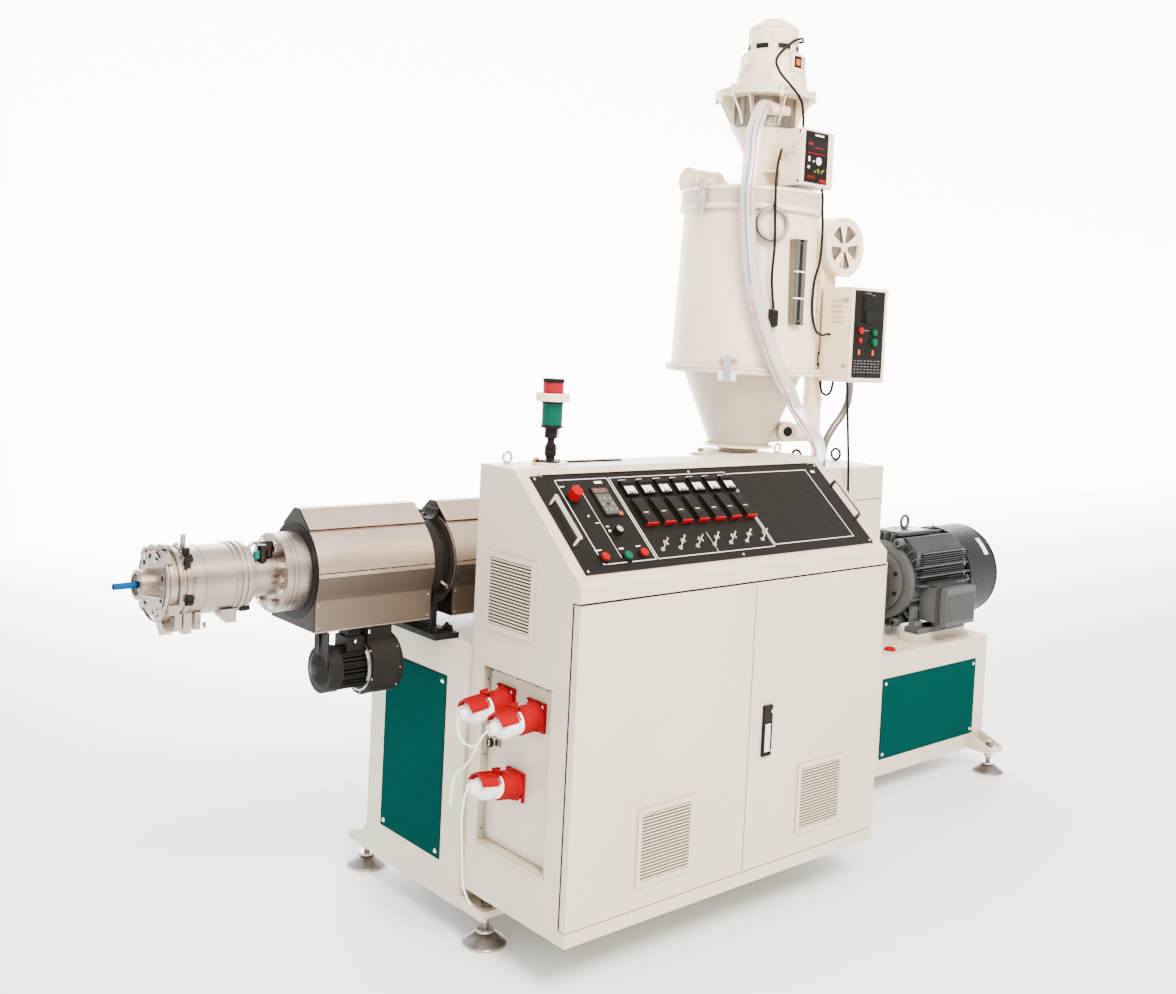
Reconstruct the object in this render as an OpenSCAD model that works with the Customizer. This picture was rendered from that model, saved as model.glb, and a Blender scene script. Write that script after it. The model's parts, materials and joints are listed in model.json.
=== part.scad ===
// Single-screw pipe extruder: machine bed, heated barrel and die, gearbox and motor,
// control cabinet with a sloping console, and a hopper dryer with its vacuum loader.
// X runs from the die (minus) to the motor (plus), minus Y is the operator's side.
// Sizes are laid out from the cabinet's front left edge, and placed() shifts them all
// so that the origin is at the bottom centre of the machine's bounding box.

/* [Machine layout] */
// Height of the screw and barrel axis above the floor
axis_z = 1000; // [960:1:1040]
// Distance of the barrel axis behind the cabinet front
axis_y = 680; // [670:1:690]
// Height of the motor and gearbox input axis above the floor
drive_z = 747; // [745:1:750]
// Position of the hopper axis along the machine
hopper_x = 1282; // [1275:1:1290]

/* [Bed] */
// Left end of the bed
bed_left = -11; // [-15:1:-5]
// Right end of the bed
bed_right = 2556; // [2530:1:2600]
// Depth of the bed from front to back
bed_depth = 483; // [470:1:500]
// Underside of the bed above the floor
bed_bottom = 82; // [75:1:95]
// Top of the high part, under the barrel
bed_high = 802; // [790:1:812]
// Top of the low part, under the gearbox and motor
bed_low = 531; // [525:1:540]
// Place of the step between the two parts
bed_step = 1530; // [1515:1:1540]
// Plate thickness of the bed
bed_wall = 10; // [8:1:14]

/* [Cabinet] */
// Width of the cabinet
cabinet_w = 1235; // [1225:1:1260]
// Depth of the cabinet, up to the bed
cabinet_d = 437.7; // [437:0.1:438]
// Underside of the cabinet above the floor
cabinet_bottom = 140; // [138:1:145]
// Top of the vertical front
front_top = 1038; // [1030:1:1050]
// Top of the cabinet
cabinet_top = 1297; // [1285:1:1310]
// Depth at which the sloping console meets the top
slope_d = 293; // [280:1:305]
// Sheet thickness of the cabinet
cabinet_sheet = 3; // [2:0.5:4]
// Lower edge of the doors
door_low = 179; // [175:1:190]
// Upper edge of the doors
door_high = 993; // [980:1:998]
// Place of the split between the two doors
door_split = 643; // [620:1:660]
// Thickness of a door
door_t = 22; // [20:1:24]

/* [Console] */
// Width of the console panel
console_w = 1160; // [1140:1:1180]
// Height of the console panel along the slope
console_h = 327; // [320:1:332]
// Diameter of the emergency stop button
estop_d = 34; // [28:1:40]
// Diameter of the push buttons
button_d = 24; // [20:1:26]
// Travel of the push buttons
button_travel = 5; // [3:1:6]
// Diameter of the speed knob
knob_d = 24; // [18:1:30]

/* [Barrel and screw] */
// Diameter of the screw
screw_d = 65; // [60:1:68]
// Outer diameter of the barrel
barrel_d = 110; // [100:1:120]
// Front end of the barrel, at the die adaptor
barrel_left = -464; // [-470:1:-460]
// Length of one heater cover
cover_l = 353; // [340:1:360]
// Pitch of the heater zones
zone_pitch = 425; // [420:1:426]
// Number of heater zones
zone_count = 4; // [2:1:4]
// Half width of the round part of a cover
cover_r = 133; // [125:1:140]

/* [Die] */
// Diameter of the big flange at the die adaptor
flange_d = 206; // [190:1:215]
// Diameter of the die body
die_d = 172; // [160:1:180]
// Diameter of the die nose
nose_d = 74; // [60:1:80]
// Outer diameter of the extruded pipe
pipe_d = 16; // [12:1:20]
// Wall of the extruded pipe
pipe_wall = 1.6; // [1:0.2:2.4]

/* [Drive] */
// Left face of the gearbox
gearbox_left = 1551; // [1545:1:1555]
// Length of the gearbox along the machine
gearbox_l = 326; // [320:1:335]
// Depth of the gearbox
gearbox_d = 372; // [368:1:385]
// Top of the gearbox
gearbox_top = 1226; // [1215:1:1240]
// Radius of the motor's finned body
motor_r = 184; // [176:1:188]
// Left end of the motor's finned body
motor_left = 2163; // [2155:1:2170]
// Length of the motor's finned body
motor_l = 340; // [330:1:350]
// Length of the fan cowl
cowl_l = 195; // [180:1:210]

/* [Dryer and loader] */
// Lower end of the hopper cone
cone_low = 1293; // [1285:1:1300]
// Upper end of the hopper cone
cone_high = 1550; // [1540:1:1560]
// Top of the hopper shell
shell_high = 2111; // [2100:1:2120]
// Radius of the shell at its foot
shell_r = 250; // [244:1:254]
// Radius of the shell at its top
shell_top_r = 229; // [224:1:232]
// Offset of the loader from the hopper axis
loader_shift = 45; // [35:1:55]
// Radius of the loader's bowl
bowl_r = 112; // [105:1:118]
// Outer diameter of the suction hose
hose_d = 50; // [44:1:54]

/* [Hidden] */
$fn = 48;
overrun = 1;
seat_gap = 0.3;
running_gap = 0.05;
bed_front = 438;
bed_back = bed_front + bed_depth;

// Feet and their brackets
foot_r = 60;
foot_h = 34;
foot_stem_r = 10;
foot_out = 66;
foot_inset = 48;
right_foot_inset = 51;
bracket_w = 90;
bracket_plate_t = 20;
bracket_end = 34;
gusset_h = 62;
gusset_low_h = 36;
nut_r = 17;
nut_h = 10;
arm_w = 50;
arm_h = 35;
arm_l = 380;
arm_inset = 60;
pad_t = 30;
pad_w = 66;

// Teal access panels, as windows in the bed
panel_t = 3;
panel_lap = 14;
panel_screw_r = 7;
panel_screw_inset = 16;
end_panel_side = 98;
end_panel_back = 82;
end_panel_low = 185;
end_panel_high = 695;
side_panel_left = 1870;
side_panel_right = 2478;
side_panel_low = 145;
side_panel_high = 440;
back_panel_left = 80;
back_panel_right = 1320;

// Barrel, heaters, covers and stands
barrel_flange_l = 49;
barrel_right = 1225;
cover_clear = 3;
cover_left = barrel_left + barrel_flange_l + cover_clear;
cover_sheet = 2;
cover_top = 165;
cover_top_half = 17;
cover_crease = 117;
cover_crease_half = 74;
cover_lap = 62;
cover_box_half = 120;
cover_drop = 144;
last_cover_cut = 20;
band_t = 14;
band_w = 120;
band_count = 2;
band_gap = 40;
stand_plate_t = 16;
stand_base_w = 80;
stand_base_half = 154;
stand_ring_t = 32;
stand_web_w = 90;
throat_right = 1400;
throat_half_w = 90;
throat_half_h = 100;
throat_bore_r = 38;
throat_box_half = 80;
throat_flange_t = 12;
throat_flange_half = 110;
hub_r = 88;
hub_flange_t = 22;
suction_box_lap = 34;
suction_box_d = 174;
suction_box_h = 60;
spigot_l = 40;
hose_wall = 3;
spigot_r = hose_d / 2 - hose_wall;
spigot_x = 1462;
spigot_y = 492;

// Screw flight
screw_root_r = 24;
flight_sink = 3;
flight_angle = 36;
flight_steps = 8;
screw_gap = 0.06;
screw_inset = 12;
screw_left = barrel_left + screw_inset;
flight_end = 60;
shank_r = 28;

// Cooling fan under the first zone
fan_y = 597;
fan_z = 749;
fan_cover_r = 61;
fan_cover_l = 36;
fan_inset = 38;
fan_left = cover_left + fan_inset;
fan_body_r = 48;
fan_body_l = 82;
drum_r = 79;
drum_l = 91;
drum_wall = 4;
fan_shaft_r = 8;
fan_blades = 12;
blade_lean = 30;
fan_fin_t = 3;
fan_fin_count = 24;
duct_half = 32;

// Die train, from the barrel outwards
adaptor_flange_l = 20;
neck_r = 58;
neck_l = 62;
die_bore_r = 45;
die_l = 189;
die_step_l = 12;
die_ring_l = 36;
die_ring_lobe = 14;
nose_l = 38;
mandrel_r = 34;
mandrel_gap = 4;
spider_t = 12;
spider_l = 24;
pipe_out = 56;
melt_bore_r = 24;
bolt_r = 9;
bolt_head_h = 12;
flange_bolt_count = 8;
die_bolt_count = 6;
heater_lug_w = 34;
heater_lug_h = 30;

// Gears
teeth_input = 18;
teeth_counter = 60;
teeth_pinion = 16;
teeth_output = 44;
first_distance = 130;
second_distance = 150;
gear_w = 50;
pinion_extra = 8;
tooth_width_share = 0.42;
tip_share = 0.8;
root_share = 1.15;
flank_angle = 20;
gearbox_wall = 14;
gearbox_seam = 120;
gear_first_x = 75;
gear_second_x = 200;
input_r = 22;
counter_r = 20;
quill_r = 40;
bearing_l = 24;
bearing_wall = 16;
coupling_r = 62;
coupling_l = 52;
coupling_gap = 3;
coupling_x = 1955;
guard_half = 78;
guard_t = 3;
guard_rise = 84;
guard_left_gap = 16;
guard_right_gap = 30;

// Motor
motor_core_r = 150;
motor_bore_r = 108;
motor_wall = 22;
fin_t = 5;
fin_count = 32;
bell_l = 26;
bell_hub_r = 82;
bell_hub_l = 20;
motor_shaft_r = 24;
rotor_r = 100;
rotor_inset = 38;
foot_pad_t = 22;
foot_pad_w = 66;
cowl_gap = 0.3;
cowl_over = 1;
cowl_r = motor_r + cowl_over;
cowl_t = 3;
cowl_slots = 7;
motor_fan_r = 150;
motor_fan_l = 50;
terminal_left = 2215;
terminal_l = 185;
terminal_low = 608;
terminal_h = 134;
terminal_out = 86;
terminal_lid_t = 26;
eyebolt_x = 2294;
eyebolt_r = 24;
eyebolt_t = 6;

// Cabinet details
door_gap = 3;
door_clear = 6;
door_pin_r = 4;
door_pin_h = 10;
door_pin_inset = 12;
door_frame_w = 26;
door_skin = 2;
slope_angle = atan2(cabinet_top - front_top, slope_d);
vent_w = 206;
vent_frame = 14;
vent_proud = 5;
vent_slats = 20;
slat_low_share = 0.2;
slat_share = 0.45;
left_vent_x = 229;
right_vent_x = 862;
vent_low = 235;
side_vent_y = 178;
side_vent_low = 865;
recess_y = 91;
recess_d = 288;
recess_low = 291;
recess_h = 471;
recess_depth = 25;
recess_wall = 3;
recess_lip = 15;
handle_x = 713;
handle_pocket = 6;
handle_w = 36;
handle_low = 496;
handle_h = 144;
handle_proud = 8;
lever_w = 22;
lever_h = 78;
lever_t = 5.6;
lever_inset = 12;
lever_pin_r = 1.5;

// Console details, in the plane of the slope
console_t = 4;
console_low = 34;
console_left = 35;
console_lip = 15;
console_pin_r = 1.5;
knuckle_r = 4;
knuckle_inset = 40;
lug_w = 8;
meter_first = 341;
meter_pitch = 65.7;
meter_count = 7;
meter_w = 45;
meter_h = 52;
meter_y = 297;
meter_back = 50;
meter_proud = 4;
zone_unit_w = 42;
zone_unit_h = 93;
zone_unit_y = 211;
switch_y = 97;
switch_rise = 22;
switch_r = 7;
switch_proud = 14;
keypad_x = 205;
keypad_y = 209;
keypad_w = 60;
keypad_h = 98;
grip_in = 12;
grip_y = 192;
grip_l = 136;
grip_r = 6;
grip_out = 34;
estop_x = 130;
estop_y = 278;
stop_x = 118;
stop_y = 77;
start_x = 195;
start_y = 74;
reset_x = 253;
reset_y = 78;
knob_x = 212;
knob_y = 155;
collar_t = 3;
collar_h = 7;
cap_gap = 0.4;
cap_low = button_travel + overrun;
cap_h = 7;
estop_h = 28;
stem_share = 0.62;
stem_l = 20;
knob_h = 16;
knob_shaft_r = 3;

// Sockets, plugs and lids on the recessed panel
socket_panel_t = 3;
panel_rod_r = 2.5;
socket_1_y = 303;
socket_1_z = 683;
socket_2_y = 174;
socket_2_z = 676;
socket_3_y = 247;
socket_3_z = 475;
socket_tilt = [7, 5, -7];
socket_flange = 76;
socket_flange_t = 8;
socket_r = 35;
socket_wall = 4;
socket_l = 64;
socket_base = 5;
plug_nose_gap = 0.3;
plug_r = 31.5;
plug_body_l = 46;
plug_taper_l = 26;
plug_end_r = 13;
plug_end_l = 16;
lid_gap = 2;
lid_t = 3;
lid_l = 52;
lid_low_share = 0.3;
hinge_r = 6;
hinge_pin_r = 2.5;
hinge_half = 10;
hinge_ear = 5;
lock_y = 346;
lock_z = 560;
lock_r = 11;
lock_h = 14;

// Signal tower and lifting eyes on the cabinet
tower_x = 185;
tower_back = 66.7;
tower_plate = 110;
tower_plate_t = 8;
tower_post_r = 11;
tower_post_h = 60;
tower_r = 28;
tower_disc_r = 47;
tower_bar_l = 220;
tower_bar_d = 20;
tower_base_h = 35;
tower_green_h = 70;
tower_disc_h = 22;
tower_red_h = 29;
tower_cap_h = 11;
eye_inset = 64;
eye_r = 14;
eye_t = 4;

// Dryer
cone_r = 100;
cone_top_r = 203;
hopper_sheet = 3;
flange_r = 266;
flange_t = 12;
lid_rim_r = 241;
lid_rim_h = 62;
lid_crown = 13;
outlet_r = 65;
outlet_wall = 4;
outlet_neck_h = 17;
outlet_flange_r = 120;
outlet_flange_t = 12;
gate_t = 8;
gate_half = 75;
gate_room = 24;
gate_handle_l = 50;
gate_low = cone_low - outlet_neck_h - outlet_flange_t - gate_room;
throat_top = axis_z + throat_half_h + seat_gap;
throat_box_h = gate_low - throat_top;
glass_low = 1722;
glass_h = 283;
glass_w = 50;
glass_angle = -6.5;
glass_t = 14;
stub_angle = -121;
stub_z = 2048;
stub_r = 52;
stub_out = 30;
cap_x = -122;
cap_y = 190;
cap_z = 30;
cap_r = 44;
cap_l = 140;
cap_stub_r = 28;
latch_w = 26;
latch_h = 72;
clasp_angle = -148;
cleanout_x = 1398;
cleanout_y = 575;
cleanout_z = 1355;
cleanout_r = 34;
cleanout_l = 42;
cleanout_angle = -120;

// Dryer blower with its heater column and duct
blower_x = 1620;
blower_y = 535;
blower_z = 2011;
blower_r = 104;
blower_d = 100;
blower_wall = 4;
blower_mouth_r = 80;
blower_motor_r = 62;
blower_motor_l = 120;
blower_shaft_r = 8;
blade_count = 8;
spoke_count = 3;
column_x = 1536;
column_w = 84;
column_y = 562;
column_low = 1580;
column_high = 1900;
duct_r = 32;
duct_low = 1345;

// Boxes of the dryer and the loader
dryer_box_x = 1535;
dryer_box_y = 415;
dryer_box_z = 1535;
dryer_box_w = 200;
dryer_box_d = 130;
dryer_box_h = 331;
loader_box_x = 1268;
loader_box_y = 455;
loader_box_z = 2190;
loader_box_w = 169;
loader_box_d = 90;
loader_box_h = 190;
box_sheet = 2;
box_rim = 10;

// Loader
loader_neck_r = 67;
loader_cone_low = 2318;
bowl_low = 2397;
rim_z = 2505;
rim_r = 172;
rim_t = 6;
rib_count = 8;
rib_t = 4;
head_shift = 28;
head_brim_r = 131;
head_body_r = 121;
head_shoulder_r = 107;
head_band_r = 88;
head_cap_r = 84;
head_dome_r = 60;
head_knob_r = 24;
head_flare_h = 56;
head_body_h = 82;
head_shoulder_h = 12;
head_band_h = 23;
head_cap_h = 55;
head_dome_h = 21;
head_knob_h = 14;
loader_inlet_y = 582;
loader_inlet_z = 2452;
loader_inlet_end = 1240;

// Routes of the hose, the leads and the thin cords, chosen by hand
hose_route = [[1239.7, 582, 2452], [1226, 582, 2452], [1200, 575, 2446], [1155, 547, 2415], [1115, 530, 2350],
    [1090, 512, 2260], [1064, 498, 2150], [1072, 495, 2020], [1084, 486, 1900],
    [1100, 472, 1800], [1124, 450, 1700], [1160, 410, 1570], [1212, 404, 1500],
    [1300, 448, 1450], [1380, 466, 1390], [1440, 468, 1335], [1468, 474, 1285],
    [1464, 488, 1240], [1462, 492, 1214], [1462, 492, 1201]];
lead_r = 4.5;
lead_routes = [
    [[1419, 624.4, 2712], [1431, 614, 2712], [1400, 592, 2716], [1335, 582, 2688],
     [1236, 555, 2617], [1226, 533, 2568], [1254, 505, 2522], [1295, 492, 2479],
     [1309, 490, 2430], [1318, 495, 2397], [1318, 495, 2380.7]],
    [[1267.5, 530, 2310], [1254, 529, 2309], [1215, 500, 2285], [1172, 470, 2245],
     [1145, 450, 2178], [1143, 445, 2078], [1150, 446, 1979], [1149, 450, 1879],
     [1162, 453, 1805], [1169.6, 454.5, 1784], [1169.6, 454.5, 1771]],
    [[1400, 467, 2189.5], [1400, 465.5, 2181], [1400, 462, 2168], [1400, 460, 2150], [1402, 462, 2126],
     [1412, 464, 2055], [1408, 464, 1950], [1366, 449, 1876], [1354, 443, 1780],
     [1376, 442, 1710], [1450, 470, 1694], [1516, 505, 1699], [1534.5, 505, 1699]],
    [[1612, 480, 1534.5], [1616, 474, 1440], [1624, 470, 1330], [1634, 470, 1240],
     [1645, 470, 1100], [1672, 470, 850], [1690, 470, 560], [1690, 470, 531.4]],
    [[1560, 500, 1534.5], [1558, 506, 1500], [1556, 524, 1484], [1554, 546, 1500],
     [1554, 556, 1560], [1554, 556, 1590]]];
probe_angle = -116.5;
probe_low = 1710;
probe_h = 60;
probe_w = 26;
probe_out = 22;
cord_r = 2.5;
cord_routes = [
    [[-130, 303, 664], [-136, 301, 650], [-136, 296, 628], [-130, 286, 606],
     [-118, 276, 594], [-104, 268, 592], [-92, 262, 600], [-86, 260, 620]],
    [[-130, 174, 663], [-141, 178, 654], [-148, 190, 630], [-150, 206, 600],
     [-150, 228, 570], [-150, 254, 545], [-150, 282, 520], [-150, 294, 480],
     [-150, 296, 440]],
    [[-130, 247, 494], [-139, 247, 484], [-144, 248, 460], [-146, 250, 420],
     [-142, 250, 360], [-140, 248, 300], [-138, 244, 250], [-128, 238, 216],
     [-118, 232, 196]]];

// Middle of the whole machine, from the pipe's end to the motor cowl and from the
// door handle to the back feet
pipe_left = barrel_left - adaptor_flange_l - neck_l - die_l - 2 * die_step_l - die_ring_l
    - nose_l - pipe_out;
cowl_right = motor_left + motor_l + cowl_gap + cowl_l;
middle_x = (pipe_left + cowl_right) / 2;
middle_y = (bed_back + foot_out + foot_r - handle_proud) / 2;

// Helpers
module placed() { translate([-middle_x, -middle_y, 0]) children(); }
module block(a, b) { translate(a) cube(b - a); }
module rod_x(r, l) { rotate([0, 90, 0]) cylinder(r = r, h = l); }
module rod_y(r, l) { rotate([-90, 0, 0]) cylinder(r = r, h = l); }
module pipe_x(r, inner, l) {
    difference() {
        rod_x(r, l);
        translate([-overrun, 0, 0]) rod_x(inner, l + 2 * overrun);
    }
}
module on_barrel(x) { translate([x, axis_y, axis_z]) children(); }
module on_drive(x) { translate([x, axis_y, drive_z]) children(); }
module profile_x(l) { rotate([90, 0, 90]) linear_extrude(l) children(); }
module around_x(count, r, start = 0) {
    for (i = [0 : count - 1])
        rotate([start + i * 360 / count, 0, 0]) translate([0, r, 0]) children();
}
module ring_eye(r, t) { rotate([90, 0, 0]) rotate_extrude() translate([r, 0]) circle(t); }

// A tube swept along a route of points
function unit(v) = v / norm(v);
function tangents(p) = [for (i = [0 : len(p) - 1])
    unit(p[min(i + 1, len(p) - 1)] - p[max(i - 1, 0)])];
function square_to(t) = unit(cross(t, abs(t.y) < 0.9 ? [0, 1, 0] : [1, 0, 0]));
function carried(n, t) = unit(n - (n * t) * t);
function normals(t) = [for (i = 0, n = square_to(t[0]); i < len(t);
    i = i + 1, n = i < len(t) ? carried(n, t[i]) : n) n];
module swept_tube(route, r, sides) {
    t = tangents(route);
    n = normals(t);
    rings = len(route);
    points = [for (i = [0 : rings - 1], k = [0 : sides - 1])
        route[i] + r * (cos(k * 360 / sides) * n[i]
        + sin(k * 360 / sides) * cross(t[i], n[i]))];
    walls = [for (i = [0 : rings - 2], k = [0 : sides - 1])
        [i * sides + k, (i + 1) * sides + k, (i + 1) * sides + (k + 1) % sides,
         i * sides + (k + 1) % sides]];
    first_end = [for (k = [0 : sides - 1]) k];
    last_end = [for (k = [sides - 1 : -1 : 0]) (rings - 1) * sides + k];
    polyhedron(points, concat(walls, [first_end], [last_end]));
}

// Bed
feet_x = [bed_left + foot_inset, bed_right - right_foot_inset];
feet_y = [bed_front - foot_out, bed_back + foot_out];
panel_y = [bed_front + end_panel_side, bed_back - end_panel_back];

module bed_outline(inset = 0) {
    polygon([[bed_left + inset, bed_bottom + inset],
        [bed_right - inset, bed_bottom + inset], [bed_right - inset, bed_low - inset],
        [bed_step - inset, bed_low - inset], [bed_step - inset, bed_high - inset],
        [bed_left + inset, bed_high - inset]]);
}

module foot_bracket(x, side, height) {
    near = side < 0 ? bed_front : bed_back;
    reach = foot_out + bracket_end;
    difference() {
        union() {
            block([x - bracket_w / 2, min(near, near + side * reach), bed_bottom],
                [x + bracket_w / 2, max(near, near + side * reach),
                 bed_bottom + bracket_plate_t]);
            for (edge = [-1, 1])
                translate([x + edge * (bracket_w - bed_wall) / 2 - bed_wall / 2, near, 0])
                    profile_x(bed_wall)
                    polygon([[0, bed_bottom], [side * reach, bed_bottom],
                        [side * reach, bed_bottom + bracket_plate_t],
                        [0, bed_bottom + height]]);
        }
        translate([x, near + side * foot_out, bed_bottom - overrun])
            cylinder(r = foot_stem_r + seat_gap, h = bracket_plate_t + 2 * overrun);
    }
}

module bed_frame() color("#e6e0d3") placed() {
    difference() {
        translate([0, bed_back, 0]) rotate([90, 0, 0])
            linear_extrude(bed_depth) bed_outline();
        translate([0, bed_back - bed_wall, 0]) rotate([90, 0, 0])
            linear_extrude(bed_depth - 2 * bed_wall)
            bed_outline(bed_wall);
        block([bed_left - overrun, panel_y[0] + panel_lap, end_panel_low + panel_lap],
            [bed_left + bed_wall + overrun, panel_y[1] - panel_lap,
             end_panel_high - panel_lap]);
        block([side_panel_left + panel_lap, bed_front - overrun,
             side_panel_low + panel_lap],
            [side_panel_right - panel_lap, bed_back + overrun,
             side_panel_high - panel_lap]);
        block([back_panel_left + panel_lap, bed_back - bed_wall - overrun,
             end_panel_low + panel_lap],
            [back_panel_right - panel_lap, bed_back + overrun,
             end_panel_high - panel_lap]);
    }
    foot_bracket(feet_x[0], -1, gusset_low_h);
    foot_bracket(feet_x[0], 1, gusset_h);
    foot_bracket(feet_x[1], -1, gusset_h);
    foot_bracket(feet_x[1], 1, gusset_h);
    for (x = [arm_inset + bracket_w, cabinet_w - arm_inset])
        block([x - arm_w / 2, bed_front - arm_l, cabinet_bottom - arm_h],
            [x + arm_w / 2, bed_front, cabinet_bottom - seat_gap]);
    for (side = [-1, 1])
        block([motor_left - bell_l, axis_y + side * (motor_r - pad_w / 2) - pad_w / 2,
             bed_low],
            [motor_left + motor_l - bell_l, axis_y + side * (motor_r - pad_w / 2)
             + pad_w / 2, bed_low + pad_t]);
}

module bed_panels() color("#00685e") placed() {
    block([bed_left - panel_t, panel_y[0], end_panel_low],
        [bed_left, panel_y[1], end_panel_high]);
    block([side_panel_left, bed_front - panel_t, side_panel_low],
        [side_panel_right, bed_front, side_panel_high]);
    block([side_panel_left, bed_back, side_panel_low],
        [side_panel_right, bed_back + panel_t, side_panel_high]);
    block([back_panel_left, bed_back, end_panel_low],
        [back_panel_right, bed_back + panel_t, end_panel_high]);
}

module levelling_feet() color("#c9c9c6") placed()
    for (x = feet_x, y = feet_y) translate([x, y, 0]) {
        rotate_extrude() polygon([[0, 0], [foot_r, 0], [foot_r, foot_h / 4],
            [foot_r / 3, foot_h], [foot_stem_r, foot_h],
            [foot_stem_r, bed_bottom + bracket_plate_t + 2 * nut_h], [0, bed_bottom
            + bracket_plate_t + 2 * nut_h]]);
        for (z = [bed_bottom - nut_h, bed_bottom + bracket_plate_t])
            translate([0, 0, z]) difference() {
                cylinder(r = nut_r, h = nut_h, $fn = 6);
                translate([0, 0, -overrun])
                    cylinder(r = foot_stem_r + running_gap, h = nut_h + 2 * overrun);
            }
    }

// Screws, bolts and lifting eyes, grouped as identical fasteners
module screw_heads_x(x, ys, zs) {
    for (y = ys, z = zs) translate([x, y, z]) rotate([0, -90, 0])
        cylinder(r1 = panel_screw_r, r2 = panel_screw_r / 2, h = panel_screw_r / 2);
}
module screw_heads_y(y, side, xs, zs) {
    for (x = xs, z = zs) translate([x, y, z]) rotate([-side * 90, 0, 0])
        cylinder(r1 = panel_screw_r, r2 = panel_screw_r / 2, h = panel_screw_r / 2);
}
module fixings() color("#c4c2bd") placed() {
    screw_heads_x(bed_left - panel_t,
        [panel_y[0] + panel_screw_inset, panel_y[1] - panel_screw_inset],
        [end_panel_low + panel_screw_inset, end_panel_high - panel_screw_inset]);
    for (side = [-1, 1])
        screw_heads_y(side < 0 ? bed_front - panel_t : bed_back + panel_t, side,
            [side_panel_left + panel_screw_inset, side_panel_right - panel_screw_inset],
            [side_panel_low + panel_screw_inset, side_panel_high - panel_screw_inset]);
    screw_heads_y(bed_back + panel_t, 1,
        [back_panel_left + panel_screw_inset, back_panel_right - panel_screw_inset],
        [end_panel_low + panel_screw_inset, end_panel_high - panel_screw_inset]);
    on_barrel(adaptor_left)
        around_x(flange_bolt_count, flange_d / 2 - 2 * bolt_r, 360 / flange_bolt_count / 2)
        translate([-bolt_head_h, 0, 0]) rod_x(bolt_r, bolt_head_h);
    on_barrel(ring_left)
        around_x(die_bolt_count, die_d / 2 - 2 * bolt_r)
        translate([-bolt_head_h / 2, 0, 0]) rod_x(bolt_r / 2, bolt_head_h / 2);
    for (x = [eye_inset, cabinet_w - eye_inset])
        translate([x, cabinet_d - eye_inset / 2, cabinet_top]) {
            cylinder(r = eye_r / 2, h = eye_r / 2);
            translate([0, 0, eye_r + eye_t]) ring_eye(eye_r, eye_t);
        }
    on_hopper(split_z) rotate([0, 0, clasp_angle])
        translate([flange_r + seat_gap, -latch_w / 2, -latch_h / 2])
        cube([latch_w / 2, latch_w, latch_h]);
}

// Barrel, screw and heating
bore_r = screw_d / 2 + screw_gap;
adaptor_left = barrel_left - adaptor_flange_l;
neck_left = adaptor_left - neck_l;
body_left = neck_left - 2 * die_step_l - die_l;
ring_left = body_left - die_ring_l;
nose_left = ring_left - nose_l;

module barrel() color("#8f8a84") placed() on_barrel(0) difference() {
    union() {
        translate([barrel_left, 0, 0]) rod_x(barrel_d / 2, barrel_right - barrel_left);
        translate([barrel_left, 0, 0]) rod_x(flange_d / 2, barrel_flange_l);
        translate([barrel_right - hub_flange_t, 0, 0]) rod_x(hub_r, hub_flange_t);
    }
    translate([barrel_left - overrun, 0, 0])
        rod_x(bore_r, barrel_right - barrel_left + 2 * overrun);
}

flight_l = throat_right - flight_end - screw_left;
module flight_section() {
    outer = screw_d / 2;
    inner = screw_root_r - flight_sink;
    polygon([for (a = [-flight_angle / 2, 0, flight_angle / 2])
            outer * [cos(a), sin(a)],
        for (a = [flight_angle / 2, -flight_angle / 2])
            inner * [cos(a), sin(a)]]);
}
module screw() color("#a9a7a2") placed() {
    on_barrel(screw_left) {
        rod_x(screw_root_r, flight_l);
        rotate([0, 90, 0]) linear_extrude(flight_l, twist = -360 * flight_l / screw_d,
                slices = ceil(flight_steps * flight_l / screw_d), $fn = 6) flight_section();
        translate([flight_l, 0, 0])
            rod_x(shank_r, gearbox_left + gearbox_l - gearbox_wall - overrun
                - screw_left - flight_l);
    }
    on_barrel(gearbox_left + gear_first_x)
        spur_gear(teeth_output, second_distance, teeth_pinion, gear_w,
            second_line + 180 + 180 / teeth_output);
}

module feed_throat() color("#8c8983") placed() {
    on_barrel(barrel_right) difference() {
        translate([0, -throat_half_w, -throat_half_h])
            cube([throat_right - barrel_right, 2 * throat_half_w, 2 * throat_half_h
                + seat_gap]);
        translate([-overrun, 0, 0])
            rod_x(bore_r, throat_right - barrel_right + 2 * overrun);
        translate([hopper_x - barrel_right, 0, 0])
            cylinder(r = throat_bore_r, h = 2 * throat_half_h);
    }
    on_barrel(throat_right) difference() {
        union() {
            rod_x(hub_r, hub_flange_t);
            rod_x(hub_r * 3 / 4, gearbox_left - throat_right - seat_gap);
        }
        translate([-overrun, 0, 0]) rod_x(bore_r, gearbox_left - throat_right + overrun);
    }
    translate([hopper_x, axis_y, throat_top]) difference() {
        union() {
            translate([-throat_box_half, -throat_box_half, 0])
                cube([2 * throat_box_half, 2 * throat_box_half, throat_box_h]);
            translate([-throat_flange_half, -throat_flange_half,
                throat_box_h - throat_flange_t])
                cube([2 * throat_flange_half, 2 * throat_flange_half, throat_flange_t]);
            translate([0, spigot_y - axis_y - suction_box_lap, 0])
                cube([spigot_x - hopper_x + suction_box_lap, suction_box_d,
                    suction_box_h]);
            translate([spigot_x - hopper_x, spigot_y - axis_y, 0])
                cylinder(r = spigot_r, h = suction_box_h + spigot_l);
        }
        translate([0, 0, -overrun])
            cylinder(r = outlet_r, h = throat_box_h + 2 * overrun);
    }
}

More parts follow.
